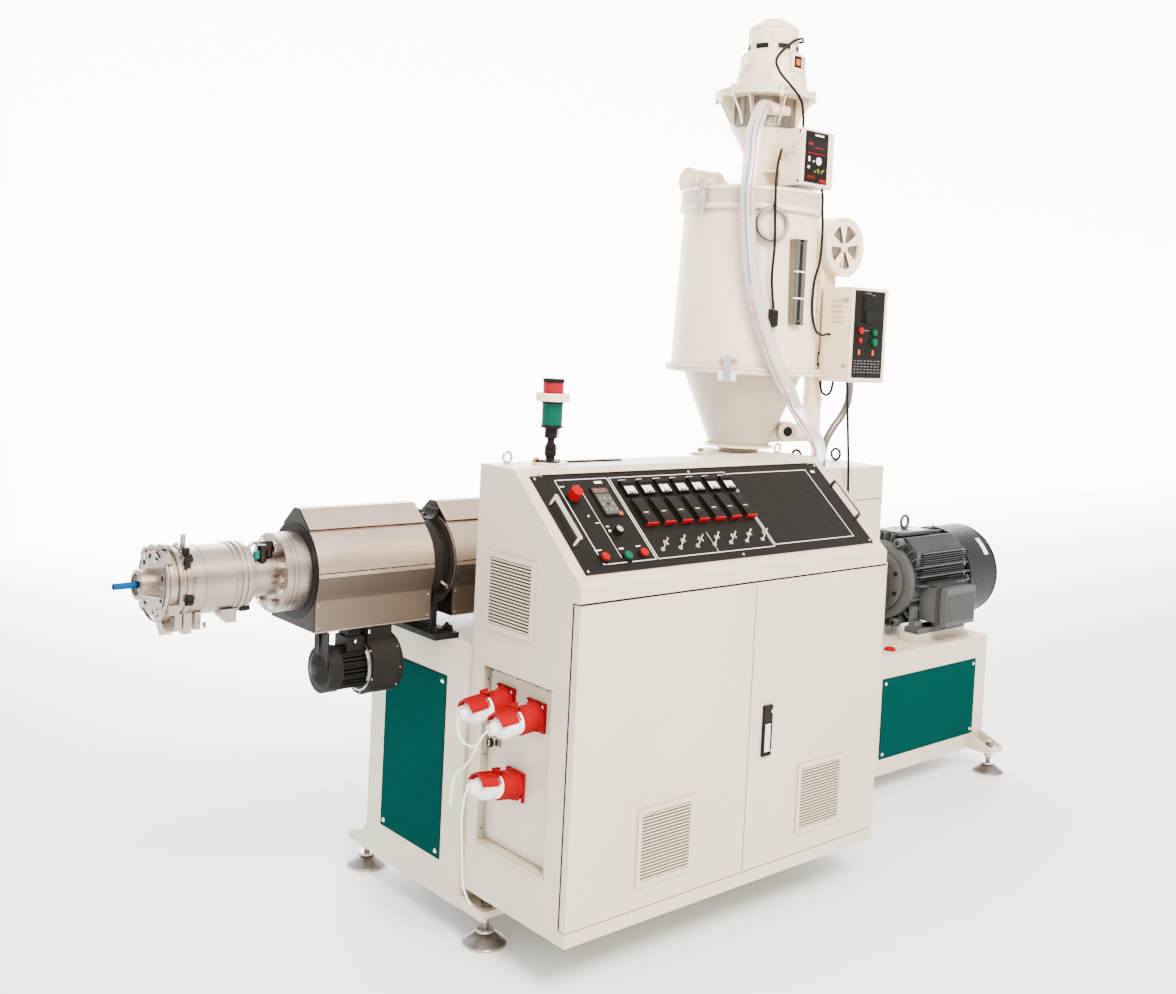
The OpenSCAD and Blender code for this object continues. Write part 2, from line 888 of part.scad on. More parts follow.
module heater_bands() color("#4a4643") placed()
    for (zone = [0 : zone_count - 1], band = [0 : band_count - 1])
        on_barrel(cover_left + zone * zone_pitch + cover_sheet + band_gap
            + band * (band_w + band_gap) - band_gap / 2)
        union() {
            pipe_x(barrel_d / 2 + band_t, barrel_d / 2 + running_gap, band_w);
            translate([0, -heater_lug_w / 2, barrel_d / 2 + band_t / 2])
                cube([heater_lug_w, heater_lug_w, heater_lug_h]);
        }

// Half outline of a cover: flat top, sloping roof, round side, then the lower box
function cover_half(i) = concat(
    [[cover_top_half - i / 2, cover_top - i], [cover_crease_half - i, cover_crease - i]],
    [for (a = [60 : -10 : -20]) (cover_r - i) * [cos(a), sin(a)]],
    [[cover_box_half - i, -cover_lap], [cover_box_half - i, -cover_drop + i]]);
module cover_outline(i) {
    half = cover_half(i);
    polygon(concat(half, [for (k = [len(half) - 1 : -1 : 0]) [-half[k].x, half[k].y]]));
}
module heater_covers() color("#b8ada4") placed()
    for (zone = [0 : zone_count - 1])
        on_barrel(cover_left + zone * zone_pitch) difference() {
            own_l = cover_l - (zone == zone_count - 1 ? last_cover_cut : 0);
            profile_x(own_l) cover_outline(0);
            translate([cover_sheet, 0, 0])
                profile_x(own_l - 2 * cover_sheet) cover_outline(cover_sheet);
            translate([-overrun, 0, 0])
                rod_x(barrel_d / 2 + 2 * seat_gap, cover_l + 2 * overrun);
            if (zone == 0)
                translate([fan_left + fan_cover_l + fan_body_l - cover_left + drum_wall
                    + duct_half / 3, fan_y - axis_y - duct_half, -cover_drop - overrun])
                    cube([2 * duct_half, 2 * duct_half, cover_sheet + 2 * overrun]);
        }

module barrel_stands() color("#2e2c2b") placed()
    for (gap = [1 : zone_count - 1])
        on_barrel(cover_left + gap * zone_pitch - (zone_pitch - cover_l) / 2) {
            floor_z = bed_high - axis_z;
            difference() {
                union() {
                    translate([-stand_base_w / 2, -stand_base_half, floor_z])
                        cube([stand_base_w, 2 * stand_base_half, stand_plate_t]);
                    translate([-stand_plate_t / 2, -stand_web_w, floor_z])
                        cube([stand_plate_t, 2 * stand_web_w, -floor_z]);
                    translate([-stand_plate_t / 2, 0, 0])
                        rod_x(barrel_d / 2 + stand_ring_t, stand_plate_t);
                    translate([-stand_ring_t / 2, 0, 0])
                        rod_x(barrel_d / 2 + stand_plate_t, stand_ring_t);
                }
                translate([-stand_base_w, 0, 0])
                    rod_x(barrel_d / 2 + running_gap, 2 * stand_base_w);
            }
        }

// Cooling fan: fan cover, finned motor, drum and the duct up into the cover
module on_fan(x) { translate([x, fan_y, fan_z]) children(); }
module cooling_blower() color("#232222") placed() {
    body_x = fan_cover_l;
    drum_x = fan_cover_l + fan_body_l;
    on_fan(fan_left) {
        difference() {
            union() {
                rod_x(fan_cover_r, fan_cover_l);
                translate([body_x, 0, 0]) rod_x(fan_body_r, fan_body_l);
                translate([body_x, 0, 0]) around_x(fan_fin_count, 0)
                    translate([0, 0, -fan_fin_t / 2])
                    cube([fan_body_l, fan_cover_r - fan_fin_t, fan_fin_t]);
                translate([drum_x, 0, 0]) rod_x(drum_r, drum_l);
                translate([drum_x + drum_wall, -duct_half, 0])
                    cube([2 * duct_half + duct_half / 3, 2 * duct_half,
                        axis_z - cover_drop - fan_z - seat_gap]);
            }
            translate([drum_x + drum_wall, 0, 0])
                rod_x(drum_r - drum_wall, drum_l - 2 * drum_wall);
            translate([drum_x + drum_wall + duct_half / 3, drum_wall - duct_half, 0])
                cube([2 * duct_half - 2 * drum_wall, 2 * (duct_half - drum_wall),
                    2 * drum_r]);
            translate([fan_cover_l / 2, 0, 0])
                rod_x(fan_shaft_r + running_gap, drum_x);
        }
    }
    for (x = [fan_left - drum_wall, fan_left + fan_cover_l + fan_body_l - drum_wall])
        block([x, fan_y - fan_body_r, fan_z + 2 * fan_shaft_r],
            [x + drum_wall, fan_y + fan_body_r / 2, axis_z - cover_drop - seat_gap]);
}
module blower_rotor() color("#77787a") placed() on_fan(fan_left) {
    drum_x = fan_cover_l + fan_body_l;
    translate([fan_cover_l / 2 + overrun, 0, 0])
        rod_x(fan_shaft_r, drum_x + drum_l / 2 - fan_cover_l / 2);
    translate([drum_x + drum_l / 2, 0, 0]) {
        rod_x(drum_r - 5 * drum_wall, drum_wall / 2);
        around_x(fan_blades, drum_r - 8 * drum_wall)
            rotate([blade_lean, 0, 0]) translate([0, 0, -drum_wall / 4])
            cube([drum_l / 3, 2.5 * drum_wall, drum_wall / 2]);
    }
}

// Die train
module die_adaptor() color("#b3ada6") placed() on_barrel(neck_left) difference() {
    union() {
        rod_x(neck_r, neck_l);
        translate([neck_l, 0, 0]) rod_x(flange_d / 2, adaptor_flange_l);
        translate([neck_l * 3 / 5, 0, neck_r - bolt_r]) cylinder(r = bolt_r, h = 4 * bolt_r);
    }
    translate([-overrun, 0, 0])
        rod_x(melt_bore_r, neck_l + adaptor_flange_l + 2 * overrun);
}
module die_body() color("#b7b0a8") placed() on_barrel(body_left) {
    difference() {
        union() {
            rod_x(die_d / 2, die_l);
            translate([die_l - die_step_l, 0, 0])
                rod_x(die_d / 2 + die_step_l / 4, die_step_l);
            translate([die_l, 0, 0]) rod_x(die_d / 2 - die_step_l / 2, die_step_l);
            translate([die_l + die_step_l, 0, 0])
                rod_x(neck_r + die_step_l / 2, die_step_l);
            for (x = [heater_lug_w / 2, heater_lug_w * 7 / 4, die_l - heater_lug_w])
                translate([x, -heater_lug_w / 2, -die_d / 2 - heater_lug_h])
                    cube([heater_lug_w * 3 / 4, heater_lug_w, heater_lug_h + bolt_r]);
        }
        translate([-overrun, 0, 0]) rod_x(die_bore_r, die_l - die_step_l);
        translate([-overrun, 0, 0]) rod_x(melt_bore_r, die_l + 3 * die_step_l);
    }
}
module die_ring() color("#aca59d") placed() on_barrel(ring_left) difference() {
    union() {
        rod_x(die_d / 2 - die_step_l / 2, die_ring_l - seat_gap);
        translate([die_ring_l / 3, 0, 0])
            rod_x(die_d / 2 + die_step_l / 4, die_ring_l / 3);
        around_x(4, die_d / 2, 45) translate([0, -die_ring_lobe, -die_ring_lobe])
            cube([die_ring_l / 2, 2 * die_ring_lobe, 2 * die_ring_lobe]);
    }
    translate([-overrun, 0, 0]) rod_x(die_bore_r, die_ring_l + 2 * overrun);
}
module die_nose() color("#c2bbb2") placed() on_barrel(nose_left) difference() {
    union() {
        rod_x(nose_d / 2, nose_l);
        translate([nose_l, 0, 0]) rod_x(die_bore_r - seat_gap, die_ring_l / 2);
    }
    translate([-overrun, 0, 0]) rod_x(nose_d / 3, nose_l / 6);
    rod_x(pipe_d / 2 + running_gap, nose_l * 2);
    translate([nose_l / 2, 0, 0]) rotate([0, 90, 0])
        cylinder(r1 = pipe_d / 2 + running_gap, r2 = mandrel_r,
            h = nose_l / 2 + die_ring_l / 2 + overrun / 100);
}
module die_mandrel() color("#9a958e") placed() on_barrel(nose_left) {
    tip_r = pipe_d / 2 - pipe_wall - running_gap;
    cone_l = nose_l / 2 + die_ring_l / 2;
    translate([nose_l / 8, 0, 0]) rod_x(tip_r, nose_l / 2);
    translate([nose_l / 2 + mandrel_gap, 0, 0]) rotate([0, 90, 0])
        cylinder(r1 = tip_r, r2 = mandrel_r - mandrel_gap, h = cone_l);
    translate([nose_l / 2 + cone_l + mandrel_gap, 0, 0])
        rod_x(mandrel_r - mandrel_gap, die_l / 2);
    translate([nose_l / 2 + cone_l + mandrel_gap + die_l / 2, 0, 0]) {
        rotate([0, 90, 0])
            cylinder(r1 = mandrel_r - mandrel_gap, r2 = mandrel_gap, h = die_l / 4);
        around_x(4, 0) translate([-spider_l, 0, -spider_t / 2])
            cube([spider_l, die_bore_r - 2 * seat_gap, spider_t]);
    }
}
module pipe_sample() color("#1580c4") placed() on_barrel(pipe_left)
    pipe_x(pipe_d / 2, pipe_d / 2 - pipe_wall, pipe_out + nose_l / 3);

// Gears: straight trapezoid teeth with room to run, tooth 0 turned to a given angle
function gear_module(distance, own, other) = 2 * distance / (own + other);
module spur_gear(teeth, distance, other, width, turn) {
    m = gear_module(distance, teeth, other);
    pitch_r = m * teeth / 2;
    half_pitch = tooth_width_share * PI * m / 2;
    tip_half = half_pitch - tip_share * m * tan(flank_angle);
    root_half = half_pitch + root_share * m * tan(flank_angle);
    tip_r = pitch_r + tip_share * m;
    root_r = pitch_r - root_share * m;
    profile_x(width) rotate(turn)
        polygon([for (k = [0 : teeth - 1], side = [[root_r, -root_half],
            [tip_r, -tip_half], [tip_r, tip_half], [root_r, root_half]])
            side[0] * [cos(k * 360 / teeth + side[1] / side[0] * 180 / PI),
            sin(k * 360 / teeth + side[1] / side[0] * 180 / PI)]]);
}
gear_rise = axis_z - drive_z;
first_rise = (first_distance * first_distance - second_distance * second_distance
    + gear_rise * gear_rise) / (2 * gear_rise);
first_side = sqrt(first_distance * first_distance - first_rise * first_rise);
first_line = atan2(first_rise, first_side);
second_line = atan2(gear_rise - first_rise, -first_side);
module on_counter(x) {
    translate([x, axis_y + first_side, drive_z + first_rise]) children();
}
gearbox_right = gearbox_left + gearbox_l;
gearbox_half = gearbox_d / 2;

module gearbox_case() color("#e8e2d6") placed() {
    difference() {
        union() {
            difference() {
                block([gearbox_left, axis_y - gearbox_half, bed_low],
                    [gearbox_right, axis_y + gearbox_half, gearbox_top - gearbox_seam]);
                block([gearbox_left + gearbox_wall, axis_y - gearbox_half + gearbox_wall,
                     bed_low + gearbox_wall],
                    [gearbox_right - gearbox_wall, axis_y + gearbox_half - gearbox_wall,
                     gearbox_top]);
            }
            for (x = [gearbox_left, gearbox_right - bearing_l - gearbox_wall]) {
                on_barrel(x) rod_x(quill_r + bearing_wall, bearing_l + gearbox_wall);
                on_drive(x) rod_x(input_r + bearing_wall, bearing_l + gearbox_wall);
                on_counter(x) rod_x(counter_r + bearing_wall, bearing_l + gearbox_wall);
            }
        }
        on_barrel(gearbox_left - overrun)
            rod_x(shank_r + running_gap, gearbox_l - gearbox_wall + overrun);
        on_drive(gearbox_left + gearbox_wall)
            rod_x(input_r + running_gap, gearbox_l);
        on_counter(gearbox_left + gearbox_wall)
            rod_x(counter_r + running_gap, gearbox_l - 2 * gearbox_wall);
    }
    difference() {
        block([gearbox_left, axis_y - gearbox_half, gearbox_top - gearbox_seam],
            [gearbox_right, axis_y + gearbox_half, gearbox_top]);
        block([gearbox_left + gearbox_wall, axis_y - gearbox_half + gearbox_wall,
             gearbox_top - gearbox_seam - overrun],
            [gearbox_right - gearbox_wall, axis_y + gearbox_half - gearbox_wall,
             gearbox_top - gearbox_wall]);
    }
    difference() {
        block([gearbox_right + guard_left_gap, axis_y - guard_half, bed_low],
            [motor_left - bell_l - bell_hub_l - guard_right_gap, axis_y + guard_half,
             drive_z + guard_rise]);
        block([gearbox_left, axis_y - guard_half + guard_t, bed_low - overrun],
            [motor_left, axis_y + guard_half - guard_t, drive_z + guard_rise - guard_t]);
    }
}

module input_shaft() color("#8f9193") placed() {
    on_drive(gearbox_left + gearbox_wall + overrun)
        rod_x(input_r, coupling_x - gearbox_left - gearbox_wall - overrun);
    on_drive(coupling_x) rod_x(coupling_r, coupling_l);
    on_drive(gearbox_left + gear_second_x - pinion_extra / 2)
        spur_gear(teeth_input, first_distance, teeth_counter, gear_w + pinion_extra,
            first_line);
}
module countershaft() color("#9a9c9e") placed() {
    on_counter(gearbox_left + gearbox_wall + overrun)
        rod_x(counter_r, gearbox_l - 2 * gearbox_wall - 2 * overrun);
    on_counter(gearbox_left + gear_first_x - pinion_extra / 2)
        spur_gear(teeth_pinion, second_distance, teeth_output, gear_w + pinion_extra,
            second_line);
    on_counter(gearbox_left + gear_second_x)
        spur_gear(teeth_counter, first_distance, teeth_input, gear_w,
            first_line + 180 + 180 / teeth_counter);
}

// Motor
motor_right = motor_left + motor_l;
module motor_frame() color("#3d3f41") placed() {
    on_drive(motor_left) difference() {
        union() {
            rod_x(motor_core_r, motor_l);
            around_x(fin_count, motor_bore_r + fin_t) translate([0, 0, -fin_t / 2])
                cube([motor_l, motor_r - motor_bore_r - fin_t, fin_t]);
            translate([-bell_l, 0, 0]) rod_x(motor_core_r + fin_t, bell_l + overrun);
            translate([-bell_l - bell_hub_l, 0, 0])
                rod_x(bell_hub_r, bell_hub_l + overrun);
            for (side = [-1, 1])
                translate([0, side * (motor_r - foot_pad_w / 2) - foot_pad_w / 2,
                    bed_low + pad_t - drive_z]) {
                    cube([motor_l - bell_l, foot_pad_w, foot_pad_t]);
                    for (x = [0, motor_l - bell_l - 2 * foot_pad_t])
                        translate([x, foot_pad_w / 4, 0])
                            cube([2 * foot_pad_t, foot_pad_w / 2, motor_core_r * 2 / 3]);
                }
        }
        translate([motor_wall - bell_l, 0, 0])
            rod_x(motor_bore_r, motor_l + bell_l - 2 * motor_wall);
        translate([-2 * motor_core_r, 0, 0])
            rod_x(motor_shaft_r + running_gap, 3 * motor_l);
        translate([-overrun, -motor_r - overrun, terminal_low - drive_z])
            cube([motor_l / 2 + terminal_l / 2, motor_r - motor_core_r + fin_t,
                terminal_h]);
    }
    block([terminal_left, axis_y - motor_r - terminal_out + terminal_lid_t,
         terminal_low], [terminal_left + terminal_l, axis_y - motor_core_r + fin_t,
         terminal_low + terminal_h]);
    block([terminal_left - fin_t, axis_y - motor_r - terminal_out, terminal_low - fin_t],
        [terminal_left + terminal_l + fin_t, axis_y - motor_r - terminal_out
         + terminal_lid_t - seat_gap, terminal_low + terminal_h + fin_t]);
    translate([eyebolt_x, axis_y, drive_z + motor_core_r - fin_t])
        cylinder(r = eyebolt_t * 2, h = motor_r - motor_core_r + 3 * eyebolt_t);
    translate([eyebolt_x, axis_y, drive_z + motor_r + eyebolt_r + 2 * eyebolt_t])
        ring_eye(eyebolt_r, eyebolt_t);
}
module motor_rotor() color("#84868a") placed() {
    start = coupling_x + coupling_l + coupling_gap;
    on_drive(start) {
        rod_x(motor_shaft_r, motor_right + cowl_l / 2 - start);
        rod_x(coupling_r, coupling_l);
    }
    on_drive(motor_left + rotor_inset) rod_x(rotor_r, motor_l - 2 * rotor_inset);
    on_drive(motor_right + cowl_gap + motor_wall) {
        rod_x(motor_shaft_r * 2, motor_fan_l);
        around_x(fan_blades, 0) translate([0, 0, -fin_t / 2])
            cube([motor_fan_l, motor_fan_r, fin_t]);
    }
}
module motor_cowl() color("#8b898a") placed() on_drive(motor_right + cowl_gap)
    difference() {
        union() {
            rod_x(cowl_r, cowl_l - cowl_t * 4);
            translate([cowl_l - cowl_t * 4, 0, 0]) rotate([0, 90, 0])
                cylinder(r1 = cowl_r, r2 = cowl_r - cowl_t * 4, h = cowl_t * 4);
        }
        translate([-overrun, 0, 0]) rod_x(cowl_r - cowl_t, cowl_l - cowl_t * 5 + overrun);
        for (i = [-cowl_slots : cowl_slots])
            translate([cowl_l / 2, i * cowl_r / (cowl_slots + 3) - cowl_t,
                -sqrt(1 - pow(i / (cowl_slots + 2), 2)) * cowl_r * 3 / 4])
                cube([cowl_l, cowl_t * 3,
                    sqrt(1 - pow(i / (cowl_slots + 2), 2)) * cowl_r * 3 / 2]);
    }

// Cabinet
module cabinet_outline(i) {
    lift = 1 / cos(slope_angle);
    polygon([[i, cabinet_bottom + i], [cabinet_d - i, cabinet_bottom + i],
        [cabinet_d - i, cabinet_top - i],
        [slope_d + i * (lift - 1) / tan(slope_angle), cabinet_top - i],
        [i, front_top + i * tan(slope_angle) - i * lift]]);
}
module on_slope() { translate([0, 0, front_top]) rotate([slope_angle, 0, 0]) children(); }
console_face = seat_gap + console_t;
hinge_line = console_low + console_h + knuckle_r;
hinge_z = seat_gap + knuckle_r;
door_back = door_t + door_clear;
side_panel_x = recess_depth - socket_panel_t;

// A louvred grille in its own plane: width, height, then outward
module vent() {
    inner = vent_w - 2 * vent_frame;
    pitch = inner / vent_slats;
    difference() {
        cube([vent_w, vent_w, vent_proud]);
        translate([vent_frame, vent_frame, -overrun])
            cube([inner, inner, vent_proud + 2 * overrun]);
    }
    for (i = [0 : vent_slats - 1])
        translate([vent_frame - overrun, vent_frame + (i + slat_low_share) * pitch, 0])
            cube([inner + 2 * overrun, pitch * slat_share, vent_proud - overrun]);
}
module on_front(x, z) { translate([x, 0, z]) rotate([90, 0, 0]) children(); }
module on_side(y, z) {
    translate([0, y + vent_w, z]) rotate([90, 0, -90]) children();
}
module vent_hole_front(x) {
    block([x + vent_frame, -overrun, vent_low + vent_frame],
        [x + vent_w - vent_frame, door_t + overrun, vent_low + vent_w - vent_frame]);
}

module cabinet_body() color("#e9e3d8") placed() {
    difference() {
        union() {
            difference() {
                profile_x(cabinet_w) cabinet_outline(0);
                translate([cabinet_sheet, 0, 0])
                    profile_x(cabinet_w - 2 * cabinet_sheet)
                    cabinet_outline(cabinet_sheet);
            }
            block([cabinet_sheet / 2, door_back, cabinet_bottom + cabinet_sheet / 2],
                [cabinet_w - cabinet_sheet / 2, door_back + cabinet_sheet,
                 door_high + door_gap + cabinet_sheet]);
            for (z = [door_low - door_gap - cabinet_sheet, door_high + door_gap])
                block([cabinet_sheet / 2, cabinet_sheet / 2, z],
                    [cabinet_w - cabinet_sheet / 2, door_back + cabinet_sheet,
                     z + cabinet_sheet]);
            block([cabinet_sheet / 2, recess_y - recess_wall, recess_low - recess_wall],
                [recess_depth + seat_gap + recess_wall, recess_y + recess_d + recess_wall,
                 recess_low + recess_h + recess_wall]);
        }
        block([-overrun, -overrun, door_low - door_gap],
            [cabinet_w + overrun, door_back, door_high + door_gap]);
        block([door_frame_w, door_back - overrun, door_low + door_frame_w],
            [cabinet_w - door_frame_w, door_back + cabinet_sheet + overrun,
             door_high - door_frame_w]);
        on_slope() translate([console_left + console_lip, console_low + console_lip,
            -console_lip]) cube([console_w - 2 * console_lip,
            console_h - 2 * console_lip, 2 * console_lip]);
        block([-overrun, side_vent_y + vent_frame, side_vent_low + vent_frame],
            [cabinet_sheet + overrun, side_vent_y + vent_w - vent_frame,
             side_vent_low + vent_w - vent_frame]);
        block([-overrun, recess_y, recess_low],
            [recess_depth + seat_gap, recess_y + recess_d, recess_low + recess_h]);
        block([-overrun, recess_y + recess_lip, recess_low + recess_lip],
            [recess_depth + 2 * recess_wall, recess_y + recess_d - recess_lip,
             recess_low + recess_h - recess_lip]);
        for (x = [door_pin_inset, cabinet_w - door_pin_inset])
            translate([x, door_t / 2, door_low - door_pin_h - door_gap])
                cylinder(r = door_pin_r + running_gap,
                    h = door_high - door_low + 2 * door_pin_h + 2 * door_gap);
    }
    on_side(side_vent_y, side_vent_low) vent();
    on_slope() {
        for (x = [console_left + knuckle_inset - lug_w - seat_gap,
            console_left + console_w - knuckle_inset + seat_gap])
            translate([x, hinge_line - knuckle_r, -cabinet_sheet / 2])
                cube([lug_w, 2 * knuckle_r, hinge_z + cabinet_sheet / 2
                    + 2 * console_pin_r]);
        translate([console_left + knuckle_inset - lug_w, hinge_line, hinge_z])
            rod_x(console_pin_r, console_w - 2 * knuckle_inset + 2 * lug_w);
    }
}

module door(left, right, vent_x, pin_x) {
    difference() {
        block([left, 0, door_low], [right, door_t, door_high]);
        block([left + door_skin, door_skin, door_low + door_skin],
            [right - door_skin, door_t + overrun, door_high - door_skin]);
        vent_hole_front(vent_x);
    }
    on_front(vent_x, vent_low) vent();
    for (z = [door_low - door_pin_h, door_high])
        translate([pin_x, door_t / 2, z]) cylinder(r = door_pin_r, h = door_pin_h);
}
module left_door() color("#e6dfd3") placed()
    door(0, door_split - door_gap / 2, left_vent_x, door_pin_inset);
module right_door() color("#e6dfd3") placed()
    door(door_split + door_gap / 2, cabinet_w, right_vent_x, cabinet_w - door_pin_inset);

lever_low = handle_low + lever_inset;
lever_pivot_z = lever_low + lever_h;
lever_y = lever_t / 2 - handle_proud;
module door_handle() color("#1c1c1c") placed() {
    difference() {
        block([handle_x - handle_w / 2, -handle_proud, handle_low],
            [handle_x + handle_w / 2, 0, handle_low + handle_h]);
        block([handle_x - lever_w / 2 - seat_gap, -handle_proud - overrun,
             lever_low - lever_inset / 2],
            [handle_x + lever_w / 2 + seat_gap, handle_pocket - handle_proud + seat_gap,
             lever_pivot_z + lever_t]);
    }
    translate([handle_x - lever_w / 2 - overrun, lever_y, lever_pivot_z])
        rod_x(lever_pin_r, lever_w + 2 * overrun);
}
module door_lever() color("#c9c9c9") placed() difference() {
    union() {
        block([handle_x - lever_w / 2, lever_y - lever_t / 2, lever_low],
            [handle_x + lever_w / 2, lever_y + lever_t / 2, lever_pivot_z]);
        translate([handle_x - lever_w / 2, lever_y, lever_pivot_z])
            rod_x(lever_t / 2, lever_w);
    }
    translate([handle_x - lever_w, lever_y, lever_pivot_z])
        rod_x(lever_pin_r + running_gap, 2 * lever_w);
}

// Console: panel, instruments and controls
module on_console(at) {
    on_slope() translate([at[0], at[1], console_face]) children();
}
module meter_shape(x, y, w, h, room) {
    translate([x - w / 2 - room, y - h / 2 - room, 0])
        cube([w + 2 * room, h + 2 * room, meter_back]);
}
module bodies_behind(room, inset) {
    for (i = [0 : meter_count - 1]) {
        x = meter_first + i * meter_pitch;
        meter_shape(x, meter_y, meter_w - inset, meter_h - inset, room);
        meter_shape(x, zone_unit_y, zone_unit_w - inset, zone_unit_h - inset, room);
    }
    meter_shape(keypad_x + keypad_w / 2, keypad_y + keypad_h / 2, keypad_w - inset,
        keypad_h - inset, room);
}
estop_at = [estop_x, estop_y];
stop_at = [stop_x, stop_y];
start_at = [start_x, start_y];
reset_at = [reset_x, reset_y];
knob_at = [knob_x, knob_y];
button_list = [[estop_at, estop_d], [stop_at, button_d], [start_at, button_d],
    [reset_at, button_d]];
module console_panel() color("#191919") placed() on_slope() difference() {
    union() {
        translate([console_left, console_low, seat_gap])
            cube([console_w, console_h, console_t]);
        translate([console_left + knuckle_inset, hinge_line - knuckle_r, seat_gap])
            cube([console_w - 2 * knuckle_inset, knuckle_r, console_t]);
        translate([console_left + knuckle_inset, hinge_line, hinge_z])
            rod_x(knuckle_r, console_w - 2 * knuckle_inset);
        for (b = button_list) translate([b[0][0], b[0][1], seat_gap])
            cylinder(r = b[1] / 2 + cap_gap + collar_t, h = console_t + collar_h);
    }
    translate([console_left, hinge_line, hinge_z])
        rod_x(console_pin_r + running_gap, console_w);
    translate([0, 0, console_face - meter_back / 2])
        bodies_behind(seat_gap, 2 * meter_proud);
    for (x = [console_left + knuckle_inset - lug_w - 2 * seat_gap,
        console_left + console_w - knuckle_inset])
        translate([x, hinge_line - 2 * knuckle_r, -overrun])
            cube([lug_w + 2 * seat_gap, 2 * knuckle_r, 2 * console_face]);
    for (b = button_list) translate([b[0][0], b[0][1], 0]) {
        translate([0, 0, -overrun])
            cylinder(r = b[1] / 2 * stem_share + running_gap, h = 3 * console_face);
        translate([0, 0, console_face]) cylinder(r = b[1] / 2 + cap_gap, h = 2 * collar_h);
    }
    translate([knob_at[0], knob_at[1], -overrun])
        cylinder(r = knob_shaft_r + running_gap, h = 3 * console_face);
}
module instruments() color("#d8d6d0") placed() on_slope() {
    translate([0, 0, console_face - meter_back]) bodies_behind(0, 2 * meter_proud);
    translate([0, 0, console_face]) {
        for (i = [0 : meter_count - 1]) {
            x = meter_first + i * meter_pitch;
            translate([x - meter_w / 2, meter_y - meter_h / 2, 0])
                cube([meter_w, meter_h, meter_proud]);
            translate([x - zone_unit_w / 2, zone_unit_y - zone_unit_h / 2, 0])
                cube([zone_unit_w, zone_unit_h, meter_proud]);
            for (step = [0, 1])
                translate([x + (step * 2 - 1) * meter_w / 4,
                    switch_y + (step * 2 - 1) * switch_rise / 2, 0]) {
                    cylinder(r = switch_r, h = meter_proud);
                    cylinder(r = switch_r / 2, h = switch_proud);
                }
        }
        translate([keypad_x, keypad_y, 0]) cube([keypad_w, keypad_h, meter_proud]);
    }
}
module console_handles() color("#e4e1da") placed()
    for (x = [console_left + grip_in, console_left + console_w - grip_in])
        on_console([x, grip_y]) {
        translate([0, -grip_l / 2, grip_out]) rod_y(grip_r, grip_l);
        for (side = [-1, 1]) translate([0, side * grip_l / 2, 0]) {
            cylinder(r = grip_r, h = grip_out);
            translate([0, 0, grip_out]) sphere(r = grip_r);
        }
    }
module button(at, d, h) on_console(at) {
    translate([0, 0, cap_low]) cylinder(r = d / 2, h = h);
    translate([0, 0, -stem_l]) cylinder(r = d / 2 * stem_share, h = stem_l + cap_low + overrun);
}
module emergency_stop() color("#d5202a") placed() button(estop_at, estop_d, estop_h);
module stop_button() color("#d5202a") placed() button(stop_at, button_d, cap_h);
module start_button() color("#1a9c7c") placed() button(start_at, button_d, cap_h);
module reset_button() color("#c4202a") placed() button(reset_at, button_d, cap_h);
module speed_knob() color("#2b2b2b") placed() on_console(knob_at) {
    translate([0, 0, -stem_l]) cylinder(r = knob_shaft_r, h = stem_l + overrun);
    translate([0, 0, seat_gap]) cylinder(r = knob_d / 2, h = knob_h / 4);
    translate([0, 0, seat_gap]) cylinder(r = knob_d / 3, h = knob_h);
}

// Sockets on the recessed panel, with their lids, plugs and thin cords
socket_at = [[socket_1_y, socket_1_z], [socket_2_y, socket_2_z],
    [socket_3_y, socket_3_z]];
module on_socket(i) {
    translate([side_panel_x, socket_at[i][0], socket_at[i][1]])
        rotate([0, -socket_tilt[i], 0]) mirror([1, 0, 0]) children();
}
hinge_u = socket_l + hinge_r;
hinge_w = socket_r + lid_t;
module socket_panel() color("#ddd3c6") placed() {
    block([side_panel_x, recess_y + door_gap, recess_low + door_gap],
        [recess_depth, recess_y + recess_d - door_gap, recess_low + recess_h - door_gap]);
    translate([side_panel_x, lock_y, lock_z]) mirror([1, 0, 0])
        rod_x(lock_r, lock_h);
    translate([side_panel_x, recess_y + door_gap, recess_low + door_gap])
        cylinder(r = panel_rod_r, h = recess_h - 2 * door_gap);
}
module power_sockets() color("#d8101c") placed() difference() {
    union() for (i = [0 : len(socket_at) - 1]) {
        translate([side_panel_x - socket_flange_t, socket_at[i][0] - socket_flange / 2,
            socket_at[i][1] - socket_flange / 2])
            cube([socket_flange_t, socket_flange, socket_flange]);
        on_socket(i) {
            difference() {
                rod_x(socket_r, socket_l);
                translate([socket_flange_t + socket_base, 0, 0])
                    rod_x(socket_r - socket_wall, socket_l);
            }
            for (side = [-1, 1])
                translate([socket_l - 2 * hinge_r, side * (hinge_half + seat_gap
                    + hinge_ear / 2) - hinge_ear / 2, socket_r - socket_wall])
                    cube([3 * hinge_r + hinge_r, hinge_ear,
                        hinge_w + hinge_r - socket_r + socket_wall]);
            translate([hinge_u, -hinge_half - hinge_ear, hinge_w])
                rod_y(hinge_pin_r, 2 * (hinge_half + hinge_ear));
        }
    }
    block([side_panel_x, recess_y, recess_low],
        [side_panel_x + 2 * socket_flange_t, recess_y + recess_d, recess_low + recess_h]);
}
